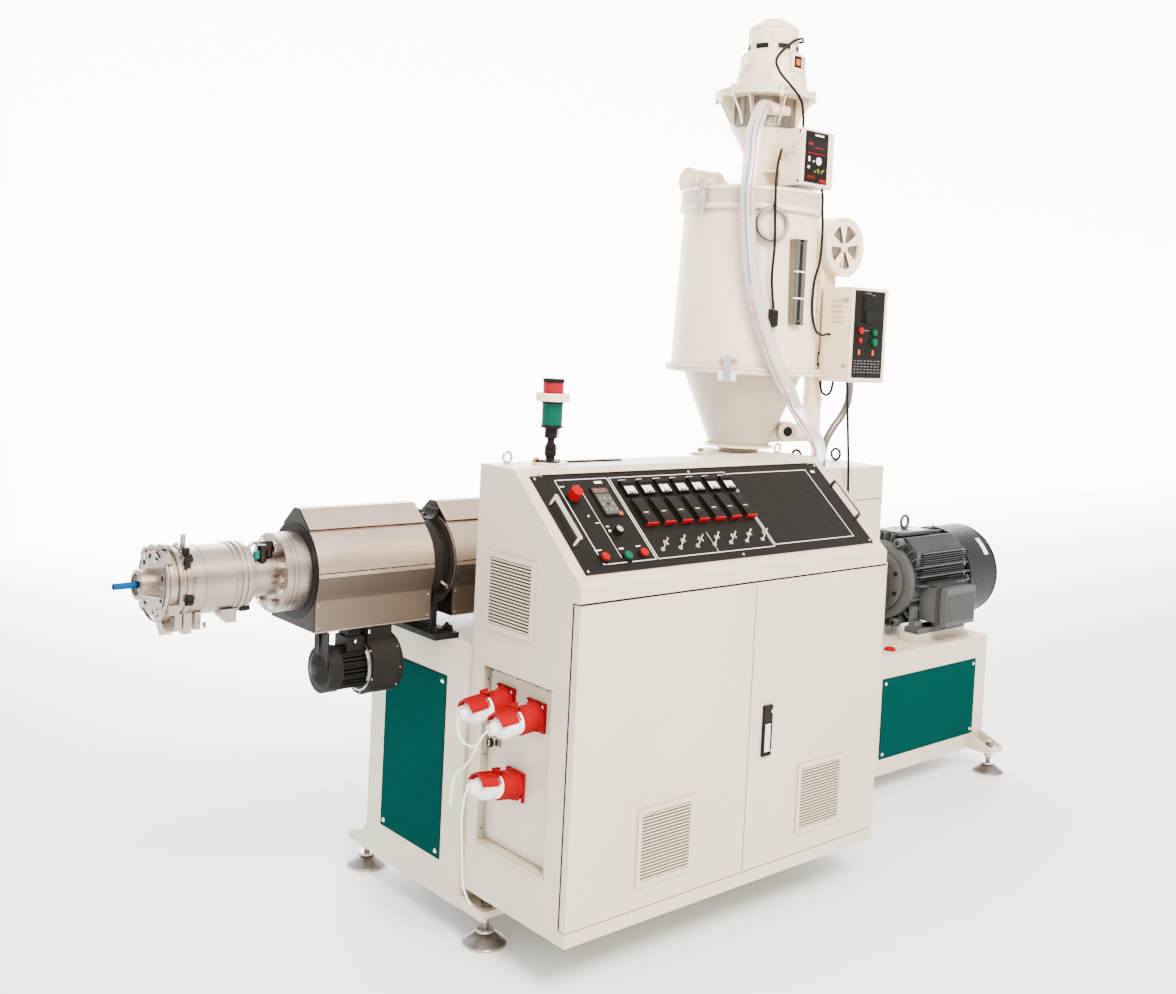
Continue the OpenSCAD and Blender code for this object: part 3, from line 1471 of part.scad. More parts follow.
module socket_lid(i) on_socket(i) difference() {
    shell_u = hinge_u + 2 * hinge_r;
    outer = plug_r + lid_gap + lid_t;
    union() {
        difference() {
            translate([shell_u, 0, 0]) rod_x(outer, lid_l);
            translate([shell_u - overrun, 0, 0])
                rod_x(plug_r + lid_gap, lid_l + overrun - lid_t);
            translate([shell_u - 2 * overrun, 0, -overrun])
                rod_x(plug_r, lid_l + 4 * overrun);
            translate([shell_u - overrun, -2 * outer, -4 * outer + lid_low_share * outer])
                cube([2 * lid_l, 4 * outer, 4 * outer]);
        }
        translate([hinge_u, -hinge_half, outer - lid_t])
            cube([2 * hinge_r + lid_t, 2 * hinge_half, lid_t]);
        translate([hinge_u, -hinge_half, hinge_w]) rod_y(hinge_r, 2 * hinge_half);
    }
    translate([hinge_u, -2 * hinge_half, hinge_w])
        rod_y(hinge_pin_r + running_gap, 4 * hinge_half);
    rod_x(plug_r + running_gap, 3 * socket_l);
}
module plug(i) on_socket(i) {
    seat = socket_flange_t + socket_base + seat_gap;
    translate([seat, 0, 0])
        rod_x(socket_r - socket_wall - plug_nose_gap, socket_l - seat + 2 * overrun);
    translate([socket_l + overrun, 0, 0]) rod_x(plug_r, plug_body_l);
    translate([socket_l + overrun + plug_body_l, 0, 0]) rotate([0, 90, 0])
        cylinder(r1 = plug_r, r2 = plug_end_r, h = plug_taper_l);
    translate([socket_l + overrun + plug_body_l + plug_taper_l, 0, 0])
        rod_x(plug_end_r, plug_end_l);
}
module socket_lid_1() color("#d8303a") placed() socket_lid(0);
module socket_lid_2() color("#d8303a") placed() socket_lid(1);
module socket_lid_3() color("#d8303a") placed() socket_lid(2);
module plug_1() color("#f2f0ee") placed() plug(0);
module plug_2() color("#f2f0ee") placed() plug(1);
module plug_3() color("#f2f0ee") placed() plug(2);
module cord_1() color("#f0ede6") placed() swept_tube(cord_routes[0], cord_r, 8);
module cord_2() color("#f0ede6") placed() swept_tube(cord_routes[1], cord_r, 8);
module cord_3() color("#f0ede6") placed() swept_tube(cord_routes[2], cord_r, 8);

disc_foot = tower_base_h + tower_green_h;
cap_foot = disc_foot + tower_disc_h + tower_red_h;
module signal_tower() color("#1f5c4c") placed() {
    translate([tower_x, cabinet_d - tower_back, cabinet_top]) {
        translate([-tower_plate / 2, -tower_plate / 2, 0])
            cube([tower_plate, tower_plate, tower_plate_t]);
        translate([0, 0, tower_plate_t]) {
            cylinder(r = 2 * tower_post_r, h = tower_post_r);
            cylinder(r = tower_post_r, h = tower_post_h);
            translate([0, 0, tower_post_h])
                rotate_extrude() polygon([[0, 0], [tower_r * 2 / 3, 0],
                    [tower_r * 2 / 3, tower_base_h], [tower_r, tower_base_h],
                    [tower_r, disc_foot], [tower_disc_r, disc_foot],
                    [tower_disc_r, disc_foot + tower_disc_h],
                    [tower_r, disc_foot + tower_disc_h], [tower_r, cap_foot],
                    [tower_r + tower_plate_t / 4, cap_foot],
                    [tower_r + tower_plate_t / 4, cap_foot + tower_cap_h],
                    [0, cap_foot + tower_cap_h]]);
        }
    }
    block([tower_x + tower_plate / 2, cabinet_d - tower_bar_d, cabinet_top],
        [tower_x + tower_plate / 2 + tower_bar_l, cabinet_d, cabinet_top
         + tower_plate_t / 2]);
}

// Hopper dryer
module on_hopper(z) { translate([hopper_x, axis_y, z]) children(); }
cone_foot = cone_low - outlet_neck_h - outlet_flange_t;
split_z = cone_high + flange_t;
crown_z = shell_high + lid_rim_h + lid_crown;
module shell_space(gap) {
    on_hopper(0) rotate_extrude() polygon([[0, split_z], [shell_r + gap, split_z],
        [shell_r + gap, split_z + flange_t], [shell_top_r + gap, shell_high],
        [0, shell_high]]);
}
module cone_space(gap) {
    on_hopper(0) rotate_extrude() polygon([[0, cone_low], [cone_r + gap, cone_low],
        [cone_top_r + gap, cone_high], [0, cone_high]]);
}
module dryer_hopper() color("#efe7da") placed() {
    on_hopper(0) rotate_extrude() polygon([[outlet_r, cone_foot],
        [outlet_flange_r, cone_foot], [outlet_flange_r, cone_foot + outlet_flange_t],
        [outlet_r + outlet_wall, cone_foot + outlet_flange_t],
        [outlet_r + outlet_wall, cone_low], [cone_r, cone_low], [cone_top_r, cone_high],
        [flange_r, cone_high], [flange_r, split_z - seat_gap],
        [cone_top_r - hopper_sheet, split_z - seat_gap],
        [cone_r - hopper_sheet, cone_low + hopper_sheet],
        [outlet_r, cone_low + hopper_sheet]]);
    on_hopper(0) rotate_extrude() polygon([[shell_r - hopper_sheet, split_z],
        [flange_r, split_z], [flange_r, split_z + flange_t],
        [shell_r, split_z + flange_t], [shell_top_r, shell_high],
        [shell_top_r - hopper_sheet, shell_high]]);
    difference() {
        on_hopper(gate_low) translate([-throat_flange_half, -throat_flange_half, 0])
            cube([2 * throat_flange_half, 2 * throat_flange_half, gate_room]);
        on_hopper(gate_low - overrun) cylinder(r = outlet_r, h = 2 * gate_room);
        on_hopper(gate_low + (gate_room - gate_t) / 2 - seat_gap)
            translate([-gate_half - seat_gap, -gate_half - seat_gap, 0])
            cube([2 * (gate_half + seat_gap), 3 * gate_half, gate_t + 2 * seat_gap]);
    }
    difference() {
        on_hopper(stub_z) rotate([0, 0, stub_angle]) difference() {
            translate([shell_top_r - hopper_sheet, 0, 0])
                rod_x(stub_r, stub_out + hopper_sheet * 3);
            rod_x(stub_r - hopper_sheet, shell_r + 2 * stub_out);
        }
        shell_space(-hopper_sheet / 2);
    }
}
module dryer_lid() color("#efe7da") placed() {
    on_hopper(0) difference() {
        rotate_extrude() polygon([[0, shell_high + seat_gap],
            [lid_rim_r, shell_high + seat_gap], [lid_rim_r, shell_high + lid_rim_h],
            [lid_rim_r * 2 / 3, crown_z], [0, crown_z]]);
        rotate_extrude() polygon([[0, shell_high], [shell_top_r - hopper_sheet,
            shell_high], [shell_top_r - hopper_sheet, shell_high + lid_rim_h
            - hopper_sheet], [lid_rim_r * 2 / 3, crown_z - hopper_sheet],
            [0, crown_z - hopper_sheet]]);
        translate([loader_shift, 0, shell_high])
            cylinder(r = loader_neck_r - hopper_sheet, h = 2 * lid_rim_h);
    }
    on_hopper(crown_z - hopper_sheet / 2) translate([cap_x, cap_y, 0]) {
        translate([cap_l / 2 + cap_stub_r / 2, 0, 0])
            cylinder(r = cap_stub_r, h = cap_z);
        translate([0, 0, cap_z]) rod_x(cap_r, cap_l);
    }
    on_hopper(shell_high + lid_rim_h / 2) translate([-lid_rim_r - latch_w / 4,
        -latch_w / 2, -latch_h * 3 / 4]) cube([latch_w / 2, latch_w, latch_h]);
}
module sight_glass() color("#7d756c") placed() difference() {
    on_hopper(glass_low) rotate([0, 0, glass_angle]) difference() {
        translate([-glass_w / 2, -shell_r - glass_t, 0])
            cube([glass_w, shell_r / 3, glass_h]);
        translate([-glass_w / 4, -shell_r - glass_t - overrun, glass_w / 3])
            cube([glass_w / 2, glass_t, glass_h - glass_w * 2 / 3]);
    }
    shell_space(seat_gap);
}
module slide_gate() color("#b9b7b2") placed()
    on_hopper(gate_low + (gate_room - gate_t) / 2) {
        translate([-gate_half, -gate_half, 0])
            cube([2 * gate_half, gate_half + throat_flange_half + gate_handle_l, gate_t]);
        translate([-gate_half / 2, throat_flange_half + gate_handle_l - gate_t, 0])
            cube([gate_half, gate_t, gate_handle_l / 2]);
    }

// Dryer blower, its heater column and the duct to the cone
module on_blower(y) { translate([blower_x, y, blower_z]) children(); }
module dryer_blower() color("#ebe3d6") placed() {
    difference() {
        union() {
            on_blower(blower_y) rod_y(blower_r, blower_d);
            on_blower(blower_y + blower_d) rod_y(blower_motor_r, blower_motor_l);
            block([column_x, column_y, column_high], [blower_x, column_y + column_w,
                blower_z]);
        }
        on_blower(blower_y + blower_wall)
            rod_y(blower_r - blower_wall, blower_d - 2 * blower_wall);
        on_blower(blower_y - overrun) rod_y(blower_mouth_r, blower_d / 2);
        on_blower(blower_y) rod_y(blower_shaft_r + running_gap,
            blower_d + blower_motor_l / 2);
        block([column_x + blower_wall, column_y + blower_wall, column_high - overrun],
            [blower_x - blower_r / 2, column_y + column_w - blower_wall, blower_z]);
    }
    on_blower(blower_y) {
        rod_y(blower_shaft_r * 2, blower_wall);
        for (k = [0 : spoke_count - 1]) rotate([0, 90 + k * 360 / spoke_count, 0])
            translate([0, 0, -blower_wall])
            cube([blower_mouth_r + blower_wall, blower_wall, 2 * blower_wall]);
    }
    block([column_x, column_y, column_low], [column_x + column_w, column_y + column_w,
        column_high]);
    duct_x = column_x + column_w / 2;
    duct_y = column_y + column_w / 2;
    translate([duct_x, duct_y, duct_low]) {
        cylinder(r = duct_r, h = column_low - duct_low);
        sphere(r = duct_r);
    }
    difference() {
        union() {
            translate([hopper_x, duct_y, duct_low]) rod_x(duct_r, duct_x - hopper_x);
            translate([cleanout_x, cleanout_y, cleanout_z])
                rotate([0, 0, cleanout_angle]) translate([-cleanout_r, 0, 0])
                rod_x(cleanout_r, cleanout_l + cleanout_r);
        }
        translate([cleanout_x, cleanout_y, cleanout_z]) rotate([0, 0, cleanout_angle])
            rod_x(cleanout_r / 2, 2 * cleanout_l);
        cone_space(seat_gap);
    }
    for (z = [column_low + column_w, column_high - column_w]) difference() {
        block([hopper_x, column_y + column_w / 3, z],
            [column_x, column_y + column_w * 2 / 3, z + blower_wall]);
        shell_space(seat_gap);
    }
}
module dryer_impeller() color("#cfc8bc") placed() {
    seat = blower_y + blower_d / 2 + 2 * blower_wall;
    on_blower(seat) {
        rod_y(blower_mouth_r, blower_wall / 2);
        rod_y(blower_shaft_r, blower_motor_l / 2);
        for (k = [0 : blade_count - 1]) rotate([0, k * 360 / blade_count, 0])
            translate([blower_shaft_r, 2 * overrun - blower_d / 4, -blower_wall / 4])
            cube([blower_mouth_r - blower_shaft_r, blower_d / 4, blower_wall / 2]);
    }
}

// Boxes, with a rim that stands proud around each front
module control_box(at, size) {
    difference() {
        block(at, at + size);
        block(at + [box_sheet, -overrun, box_sheet],
            at + size - [box_sheet, box_sheet, box_sheet]);
    }
    block(at + [box_rim, 0, box_rim], at + [size.x - box_rim, box_sheet,
        size.z - box_rim]);
    difference() {
        block(at, at + [size.x, box_sheet, size.z]);
        block(at + [box_rim, -overrun, box_rim], at + [size.x - box_rim,
            box_sheet + overrun, size.z - box_rim]);
    }
}
dryer_box_at = [dryer_box_x, dryer_box_y, dryer_box_z];
dryer_box_size = [dryer_box_w, dryer_box_d, dryer_box_h];
loader_box_at = [loader_box_x, loader_box_y, loader_box_z];
loader_box_size = [loader_box_w, loader_box_d, loader_box_h];
module control_boxes() color("#ebe4d8") placed() {
    control_box(dryer_box_at, dryer_box_size);
    block([dryer_box_at.x + box_rim, dryer_box_at.y + dryer_box_size.y,
        dryer_box_at.z + 6 * box_rim], [column_x + column_w, column_y - seat_gap,
        dryer_box_at.z + 9 * box_rim]);
    control_box(loader_box_at, loader_box_size);
    difference() {
        block([loader_box_at.x + box_rim, loader_box_at.y + loader_box_size.y,
            loader_box_at.z + 5 * box_rim], [loader_box_at.x + loader_box_size.x
            - box_rim, axis_y, loader_box_at.z + 6 * box_rim]);
        on_loader(0) cylinder(r = loader_neck_r + seat_gap, h = loader_cone_low);
    }
}

// Vacuum loader
module on_loader(z) { translate([hopper_x + loader_shift, axis_y, z]) children(); }
inner_bowl = bowl_r - hopper_sheet;
module loader_body() color("#e9e1d4") placed() {
    difference() {
        union() {
            on_loader(0) rotate_extrude() polygon([[loader_neck_r - hopper_sheet,
                crown_z + seat_gap], [loader_neck_r, crown_z + seat_gap], [loader_neck_r, loader_cone_low],
                [bowl_r, bowl_low], [bowl_r, rim_z - rim_t], [rim_r, rim_z - rim_t],
                [rim_r, rim_z], [inner_bowl, rim_z], [inner_bowl, bowl_low],
                [loader_neck_r - hopper_sheet, loader_cone_low]]);
            translate([loader_inlet_end, loader_inlet_y, loader_inlet_z]) difference() {
                rod_x(spigot_r, hopper_x + loader_shift - loader_inlet_end);
                translate([2 * spigot_r, 0, 0]) rod_x(spigot_r - hopper_sheet,
                    hopper_x + loader_shift - loader_inlet_end);
            }
        }
        on_loader(bowl_low) cylinder(r = inner_bowl, h = rim_z - bowl_low - rim_t);
    }
    on_loader(0) for (k = [0 : rib_count - 1]) rotate([90, 0, (k + 0.5) * 360 / rib_count])
        translate([0, 0, -rib_t / 2]) linear_extrude(rib_t)
        polygon([[bowl_r - hopper_sheet / 2, bowl_low], [bowl_r, bowl_low],
            [rim_r - rim_t, rim_z - rim_t], [bowl_r - hopper_sheet / 2, rim_z - rim_t]]);
}
flare_top = rim_z + 2 * rim_t + head_flare_h;
shoulder_z = flare_top + head_body_h;
band_low = shoulder_z + head_shoulder_h;
cap_bottom = band_low + head_band_h;
dome_low = cap_bottom + head_cap_h;
dome_high = dome_low + head_dome_h;
module loader_head() color("#efe8dc") placed() {
    on_loader(rim_z + seat_gap) cylinder(r = rim_r - rim_t, h = 2 * rim_t - seat_gap);
    translate([head_shift, 0, 0]) on_loader(0) rotate_extrude()
        polygon([[0, rim_z + rim_t], [head_brim_r, rim_z + rim_t],
            [head_body_r, flare_top], [head_shoulder_r, shoulder_z],
            [head_band_r, band_low], [head_band_r, cap_bottom],
            [head_cap_r, cap_bottom], [head_cap_r, dome_low], [head_dome_r, dome_high],
            [head_knob_r, dome_high], [head_knob_r, dome_high + head_knob_h],
            [0, dome_high + head_knob_h]]);
}
module suction_hose() color("#e8dfe2") placed() swept_tube(hose_route, hose_d / 2, 12);
module leads() color("#1b1b1d") placed() {
    for (route = lead_routes) swept_tube(route, lead_r, 8);
    difference() {
        on_hopper(probe_low) rotate([0, 0, probe_angle])
            translate([shell_top_r, -probe_w / 2, 0])
            cube([shell_r - shell_top_r + probe_out, probe_w, probe_h]);
        shell_space(seat_gap);
    }
}

bed_frame();
bed_panels();
fixings();
levelling_feet();
barrel();
screw();
feed_throat();
heater_bands();
heater_covers();
barrel_stands();
cooling_blower();
blower_rotor();
die_adaptor();
die_body();
die_ring();
die_nose();
die_mandrel();
pipe_sample();
gearbox_case();
input_shaft();
countershaft();
motor_frame();
motor_rotor();
motor_cowl();
cabinet_body();
left_door();
right_door();
door_handle();
door_lever();
console_panel();
console_handles();
instruments();
emergency_stop();
stop_button();
start_button();
reset_button();
speed_knob();
socket_panel();
power_sockets();
socket_lid_1();
socket_lid_2();
socket_lid_3();
plug_1();
plug_2();
plug_3();
cord_1();
cord_2();
cord_3();
signal_tower();
dryer_hopper();
dryer_lid();
sight_glass();
slide_gate();
dryer_blower();
dryer_impeller();
control_boxes();
loader_body();
loader_head();
suction_hose();
leads();
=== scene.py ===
"""Looks of the pipe extruder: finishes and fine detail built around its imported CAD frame."""

import json
import logging
import math
from dataclasses import dataclass
from enum import Enum

import bmesh
import bpy
from mathutils import Matrix, Vector

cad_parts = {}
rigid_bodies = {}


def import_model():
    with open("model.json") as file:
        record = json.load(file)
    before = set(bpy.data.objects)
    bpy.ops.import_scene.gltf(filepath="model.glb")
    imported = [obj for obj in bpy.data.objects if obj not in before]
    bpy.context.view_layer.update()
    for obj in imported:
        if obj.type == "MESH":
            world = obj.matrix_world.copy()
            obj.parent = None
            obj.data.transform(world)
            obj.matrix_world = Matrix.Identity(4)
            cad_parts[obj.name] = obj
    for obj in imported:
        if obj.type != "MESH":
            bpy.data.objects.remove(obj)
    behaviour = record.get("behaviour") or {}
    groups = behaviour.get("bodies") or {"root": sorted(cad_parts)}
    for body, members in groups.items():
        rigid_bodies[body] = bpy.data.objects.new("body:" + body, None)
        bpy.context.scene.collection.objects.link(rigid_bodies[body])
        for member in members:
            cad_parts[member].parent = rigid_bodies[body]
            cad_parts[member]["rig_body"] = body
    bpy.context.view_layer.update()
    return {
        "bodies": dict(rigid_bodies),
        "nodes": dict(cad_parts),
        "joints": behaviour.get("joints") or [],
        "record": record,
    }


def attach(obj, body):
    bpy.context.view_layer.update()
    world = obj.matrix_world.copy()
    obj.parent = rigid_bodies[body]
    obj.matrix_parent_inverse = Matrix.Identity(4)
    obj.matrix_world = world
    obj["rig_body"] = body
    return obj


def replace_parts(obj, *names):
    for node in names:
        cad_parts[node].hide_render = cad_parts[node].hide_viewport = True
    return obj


LOG = logging.getLogger("extruder")
MIDDLE_X, MIDDLE_Y = 904.65, 519.5
BARREL_Y, BARREL_Z = 680, 1000
Socket = bpy.types.NodeSocket
Spot = tuple[float, float, float]
Flat = tuple[float, float]


def metres(point: Spot) -> Vector:
    """Turns a point of the machine into the frame's own units.

    Args:
        point: millimetres from the cabinet's front left edge on the floor.

    Returns:
        The same point in metres, in the frame.
    """
    return Vector((point[0] - MIDDLE_X, point[1] - MIDDLE_Y, point[2])) / 1000


def smooth_line(route: list[Spot], steps: int = 6) -> list[Spot]:
    """Runs a smooth line through the points of a route.

    Args:
        route: the points it passes.
        steps: pieces between two points.

    Returns:
        The points of the smooth line.
    """
    pts = [Vector(p) for p in route]
    line: list[Spot] = []
    for i in range(len(pts) - 1):
        before = pts[i - 1] if i else pts[0] * 2 - pts[1]
        after = pts[i + 2] if i + 2 < len(pts) else pts[-1] * 2 - pts[-2]
        for k in range(steps):
            t = k / steps
            a = (pts[i + 1] - before) * 0.5
            b = (after - pts[i]) * 0.5
            h = (2 * t**3 - 3 * t**2 + 1, t**3 - 2 * t**2 + t, -2 * t**3 + 3 * t**2, t**3 - t**2)
            line.append(tuple(pts[i] * h[0] + a * h[1] + pts[i + 1] * h[2] + b * h[3]))
    line.append(tuple(pts[-1]))
    return line


def spokes(count: int, start: float = 0.0, step: float | None = None) -> list[Flat]:
    """Gives the cosine and sine of evenly spaced directions.

    Args:
        count: number of directions.
        start: the first one, in degrees.
        step: degrees between two of them, or None to share out a full turn.

    Returns:
        The pairs, in order.
    """
    gap = 360 / count if step is None else step
    angles = [math.radians(start + k * gap) for k in range(count)]
    return [(math.cos(a), math.sin(a)) for a in angles]


def around(radius: float, degrees: float, axis_y: float = BARREL_Y, axis_z: float = BARREL_Z) -> Flat:
    """Gives Y and Z of a spot around a line that runs along X; 180 degrees is the front."""
    turn = math.radians(degrees)
    return axis_y + radius * math.cos(turn), axis_z + radius * math.sin(turn)


def standing(centre: Flat, radius: float, degrees: float) -> Flat:
    """Gives X and Y of a spot around an upright line; -90 degrees is the front."""
    turn = math.radians(degrees)
    return centre[0] + radius * math.cos(turn), centre[1] + radius * math.sin(turn)


def on_axis(x: float) -> Spot:
    """Gives the spot of the barrel's axis at x."""
    return x, BARREL_Y, BARREL_Z


class Axis(Enum):
    """Directions along which a round piece or a brushed grain can run."""

    X = "X"
    Y = "Y"
    Z = "Z"

    def turn(self) -> Matrix:
        """Gives the matrix that lays a +Z piece along this axis.

        Returns:
            The matrix.
        """
        if self is Axis.X:
            return Matrix.Rotation(math.pi / 2, 4, "Y")
        if self is Axis.Y:
            return Matrix.Rotation(-math.pi / 2, 4, "X")
        return Matrix.Identity(4)


def turned(spot: Spot, degrees: float, about: Axis = Axis.Z) -> Matrix:
    """Gives the place of a piece that stands at a spot and is turned about an axis through it."""
    return Matrix.Translation(spot) @ Matrix.Rotation(math.radians(degrees), 4, about.value)


def show(name: str, data: bpy.types.ID) -> bpy.types.Object:
    """Puts a mesh, curve, camera or light into the scene as an object.

    Args:
        name: name of the object.
        data: what it shows.

    Returns:
        The object.
    """
    piece = bpy.data.objects.new(name, data)
    bpy.context.scene.collection.objects.link(piece)
    LOG.info("piece %s", name)
    return piece


class Nodes:
    """Shader nodes of one material, added and linked one by one."""

    def __init__(self, name: str) -> None:
        """Starts an empty material with its output and main shader."""
        self.material = bpy.data.materials.new(name)
        self.material.use_nodes = True
        self.tree = self.material.node_tree
        self.tree.nodes.clear()
        self.shader = self.add("ShaderNodeBsdfPrincipled")
        self.link(self.shader.outputs[0], self.add("ShaderNodeOutputMaterial").inputs[0])
        self.place = self.add("ShaderNodeTexCoord").outputs["Object"]

    def add(self, kind: str, **values: object) -> bpy.types.Node:
        """Adds a node and sets its properties.

        Args:
            kind: Blender's name of the node type.
            values: properties of the node.

        Returns:
            The node.
        """
        node = self.tree.nodes.new(kind)
        for key, value in values.items():
            setattr(node, key, value)
        return node

    def link(self, start: Socket, end: Socket) -> None:
        """Links two sockets."""
        self.tree.links.new(start, end)

    def drive(self, name: str, value: Socket) -> None:
        """Links a value to one of the main shader's sockets."""
        self.link(value, self.shader.inputs[name])

    def set(self, **values: object) -> None:
        """Sets sockets of the main shader, with _ for a space in their names."""
        for key, value in values.items():
            self.shader.inputs[key.replace("_", " ")].default_value = value

    def noise(self, scale: float, detail: float = 3.0, stretch: Spot = (1, 1, 1)) -> Socket:
        """Makes noise that stays with the object.

        Args:
            scale: size of its grain, in cells per metre.
            detail: number of finer layers.
            stretch: factors along X, Y and Z.

        Returns:
            The noise value's socket.
        """
        mapping = self.add("ShaderNodeMapping")
        mapping.inputs["Scale"].default_value = stretch
        self.link(self.place, mapping.inputs["Vector"])
        node = self.add("ShaderNodeTexNoise")
        node.inputs["Scale"].default_value = scale
        node.inputs["Detail"].default_value = detail
        self.link(mapping.outputs[0], node.inputs["Vector"])
        return node.outputs[0]

    def ramp(self, value: Socket, low: Flat, high: Flat) -> Socket:
        """Maps a value from one range to another.

        Args:
            value: the socket to map.
            low: input and output at the low end.
            high: input and output at the high end.

        Returns:
            The mapped value's socket.
        """
        node = self.add("ShaderNodeMapRange")
        for index, number in enumerate((low[0], high[0], low[1], high[1])):
            node.inputs[index + 1].default_value = number
        self.link(value, node.inputs[0])
        return node.outputs[0]

    def mix(self, share: Socket, first: object, second: object) -> Socket:
        """Mixes two colours by a share.

        Args:
            share: the socket that holds the share of the second colour.
            first: a colour or a colour socket.
            second: a colour or a colour socket.

        Returns:
            The mixed colour's socket.
        """
        node = self.add("ShaderNodeMix", data_type="RGBA")
        self.link(share, node.inputs[0])
        for index, colour in ((6, first), (7, second)):
            if isinstance(colour, Socket):
                self.link(colour, node.inputs[index])
            else:
                node.inputs[index].default_value = (*colour, 1)
        return node.outputs[2]

    def bump(self, height: Socket, depth: float, strength: float = 1.0) -> None:
        """Raises fine relief on the surface.

        Args:
            height: socket with the height.
            depth: metres between the lowest and highest point.
            strength: share of the effect.
        """
        node = self.add("ShaderNodeBump")
        node.inputs["Distance"].default_value = depth
        node.inputs["Strength"].default_value = strength
        self.link(height, node.inputs["Height"])
        self.link(node.outputs[0], self.shader.inputs["Normal"])


@dataclass(frozen=True)
class Finish:
    """A finish of the machine, with the record's slot that it belongs to."""

    name: str
    slot: str
    colour: Spot
    rough: float = 0.45
    gloss: float = 0.5

    def shade(self, nodes: Nodes) -> None:
        """Dresses the main shader; each kind of finish has its own way."""

    def material(self) -> bpy.types.Material:
        """Gives the material, which is made the first time it is asked for.

        Returns:
            The material.
        """
        known = bpy.data.materials.get(self.name)
        if known:
            return known
        nodes = Nodes(self.name)
        nodes.set(Roughness=self.rough, Specular_IOR_Level=self.gloss)
        self.shade(nodes)
        nodes.material.diffuse_color = (*self.colour, 1)
        return nodes.material


@dataclass(frozen=True)
class PowderCoat(Finish):
    """Sprayed and baked paint: orange peel, soft cloudiness and painted shade that darkens its creases."""

    # crease: share of the colour that is left where painted shade darkens the creases.
    crease: float = 0.72
    peel: float = 0.00012
    coat: float = 0.15

    def shade(self, nodes: Nodes) -> None:
        """Adds clouds of tone, painted shade in the creases and orange peel."""
        light = self.colour
        dark = tuple(c * 0.93 for c in light)
        cloud = nodes.ramp(nodes.noise(2.2, 4), (0.35, 0.0), (0.7, 1.0))
        tone = nodes.mix(cloud, light, dark)
        # Painted shade: ambient occlusion darkens the colour, a little warmer, in creases and hollows.
        shade_ao = nodes.add("ShaderNodeAmbientOcclusion", samples=6)
        shade_ao.inputs["Distance"].default_value = 0.05
        share = nodes.ramp(shade_ao.outputs["AO"], (0.35, 1.0), (0.95, 0.0))
        crease_shaded = nodes.mix(share, tone, tuple(c * self.crease * s for c, s in zip(light, (1, 0.96, 0.9))))
        nodes.drive("Base Color", crease_shaded)
        speck = nodes.noise(40, 5)
        nodes.drive("Roughness", nodes.ramp(speck, (0.3, self.rough - 0.06), (0.7, self.rough + 0.08)))
        nodes.set(Coat_Weight=self.coat, Coat_Roughness=0.25)
        nodes.bump(nodes.noise(650, 2), self.peel)


@dataclass(frozen=True)
class Metal(Finish):
    """Bare metal, brushed or turned along one axis, with faint tarnish."""

    grain: Axis = Axis.X
    tarnish: Spot = (0.5, 0.45, 0.4)
    stain: float = 0.35
    depth: float = 0.00006

    def shade(self, nodes: Nodes) -> None:
        """Adds tarnish clouds and long brush lines."""
        nodes.set(Metallic=1.0)
        spots = nodes.ramp(nodes.noise(6, 6), (0.42, 0.0), (0.75, self.stain))
        nodes.drive("Base Color", nodes.mix(spots, self.colour, self.tarnish))
        stretch = {Axis.X: (0.02, 1, 1), Axis.Y: (1, 0.02, 1), Axis.Z: (1, 1, 0.02)}[self.grain]
        lines = nodes.noise(900, 4, stretch)
        nodes.drive("Roughness", nodes.ramp(lines, (0.25, self.rough - 0.1), (0.75, self.rough + 0.12)))
        nodes.bump(lines, self.depth, 0.6)


@dataclass(frozen=True)
class Moulded(Finish):
    """Moulded plastic or rubber with a fine grain."""

    grain: float = 1400.0
    depth: float = 0.00004

    def shade(self, nodes: Nodes) -> None:
        """Adds slight tone changes and the mould's grain."""
        share = nodes.ramp(nodes.noise(14, 4), (0.3, 0.0), (0.75, 1.0))
        nodes.drive("Base Color", nodes.mix(share, self.colour, tuple(c * 0.86 for c in self.colour)))
        nodes.drive("Roughness", nodes.ramp(nodes.noise(60, 3), (0.3, self.rough - 0.05),
            (0.7, self.rough + 0.07)))
        nodes.bump(nodes.noise(self.grain, 2), self.depth)


@dataclass(frozen=True)
class Clear(Finish):
    """Clear or tinted plastic or glass."""

    through: float = 0.8
    haze: float = 0.1

    def shade(self, nodes: Nodes) -> None:
        """Lets light through, with faint streaks in the haze."""
        nodes.set(Transmission_Weight=self.through, IOR=1.35)
        streak = nodes.noise(30, 4, (1, 1, 0.3))
        nodes.drive("Base Color", nodes.mix(streak, self.colour, tuple(c * 0.9 for c in self.colour)))
        nodes.drive("Roughness", nodes.ramp(streak, (0.3, self.haze), (0.7, self.haze + 0.15)))
        nodes.bump(nodes.noise(220, 2), 0.0002, 0.4)


@dataclass(frozen=True)
class Lamp(Finish):
    """A coloured lens that glows a little."""

    glow: float = 0.15

    def shade(self, nodes: Nodes) -> None:
        """Adds ribs of tone and the glow."""
        ribs = nodes.noise(260, 1, (0.2, 0.2, 1))
        nodes.drive("Base Color", nodes.mix(ribs, self.colour, tuple(c * 0.7 for c in self.colour)))
        nodes.set(Emission_Strength=self.glow, Coat_Weight=0.08, Coat_Roughness=0.1)
        nodes.shader.inputs["Emission Color"].default_value = (*self.colour, 1)
        nodes.bump(ribs, 0.0003)


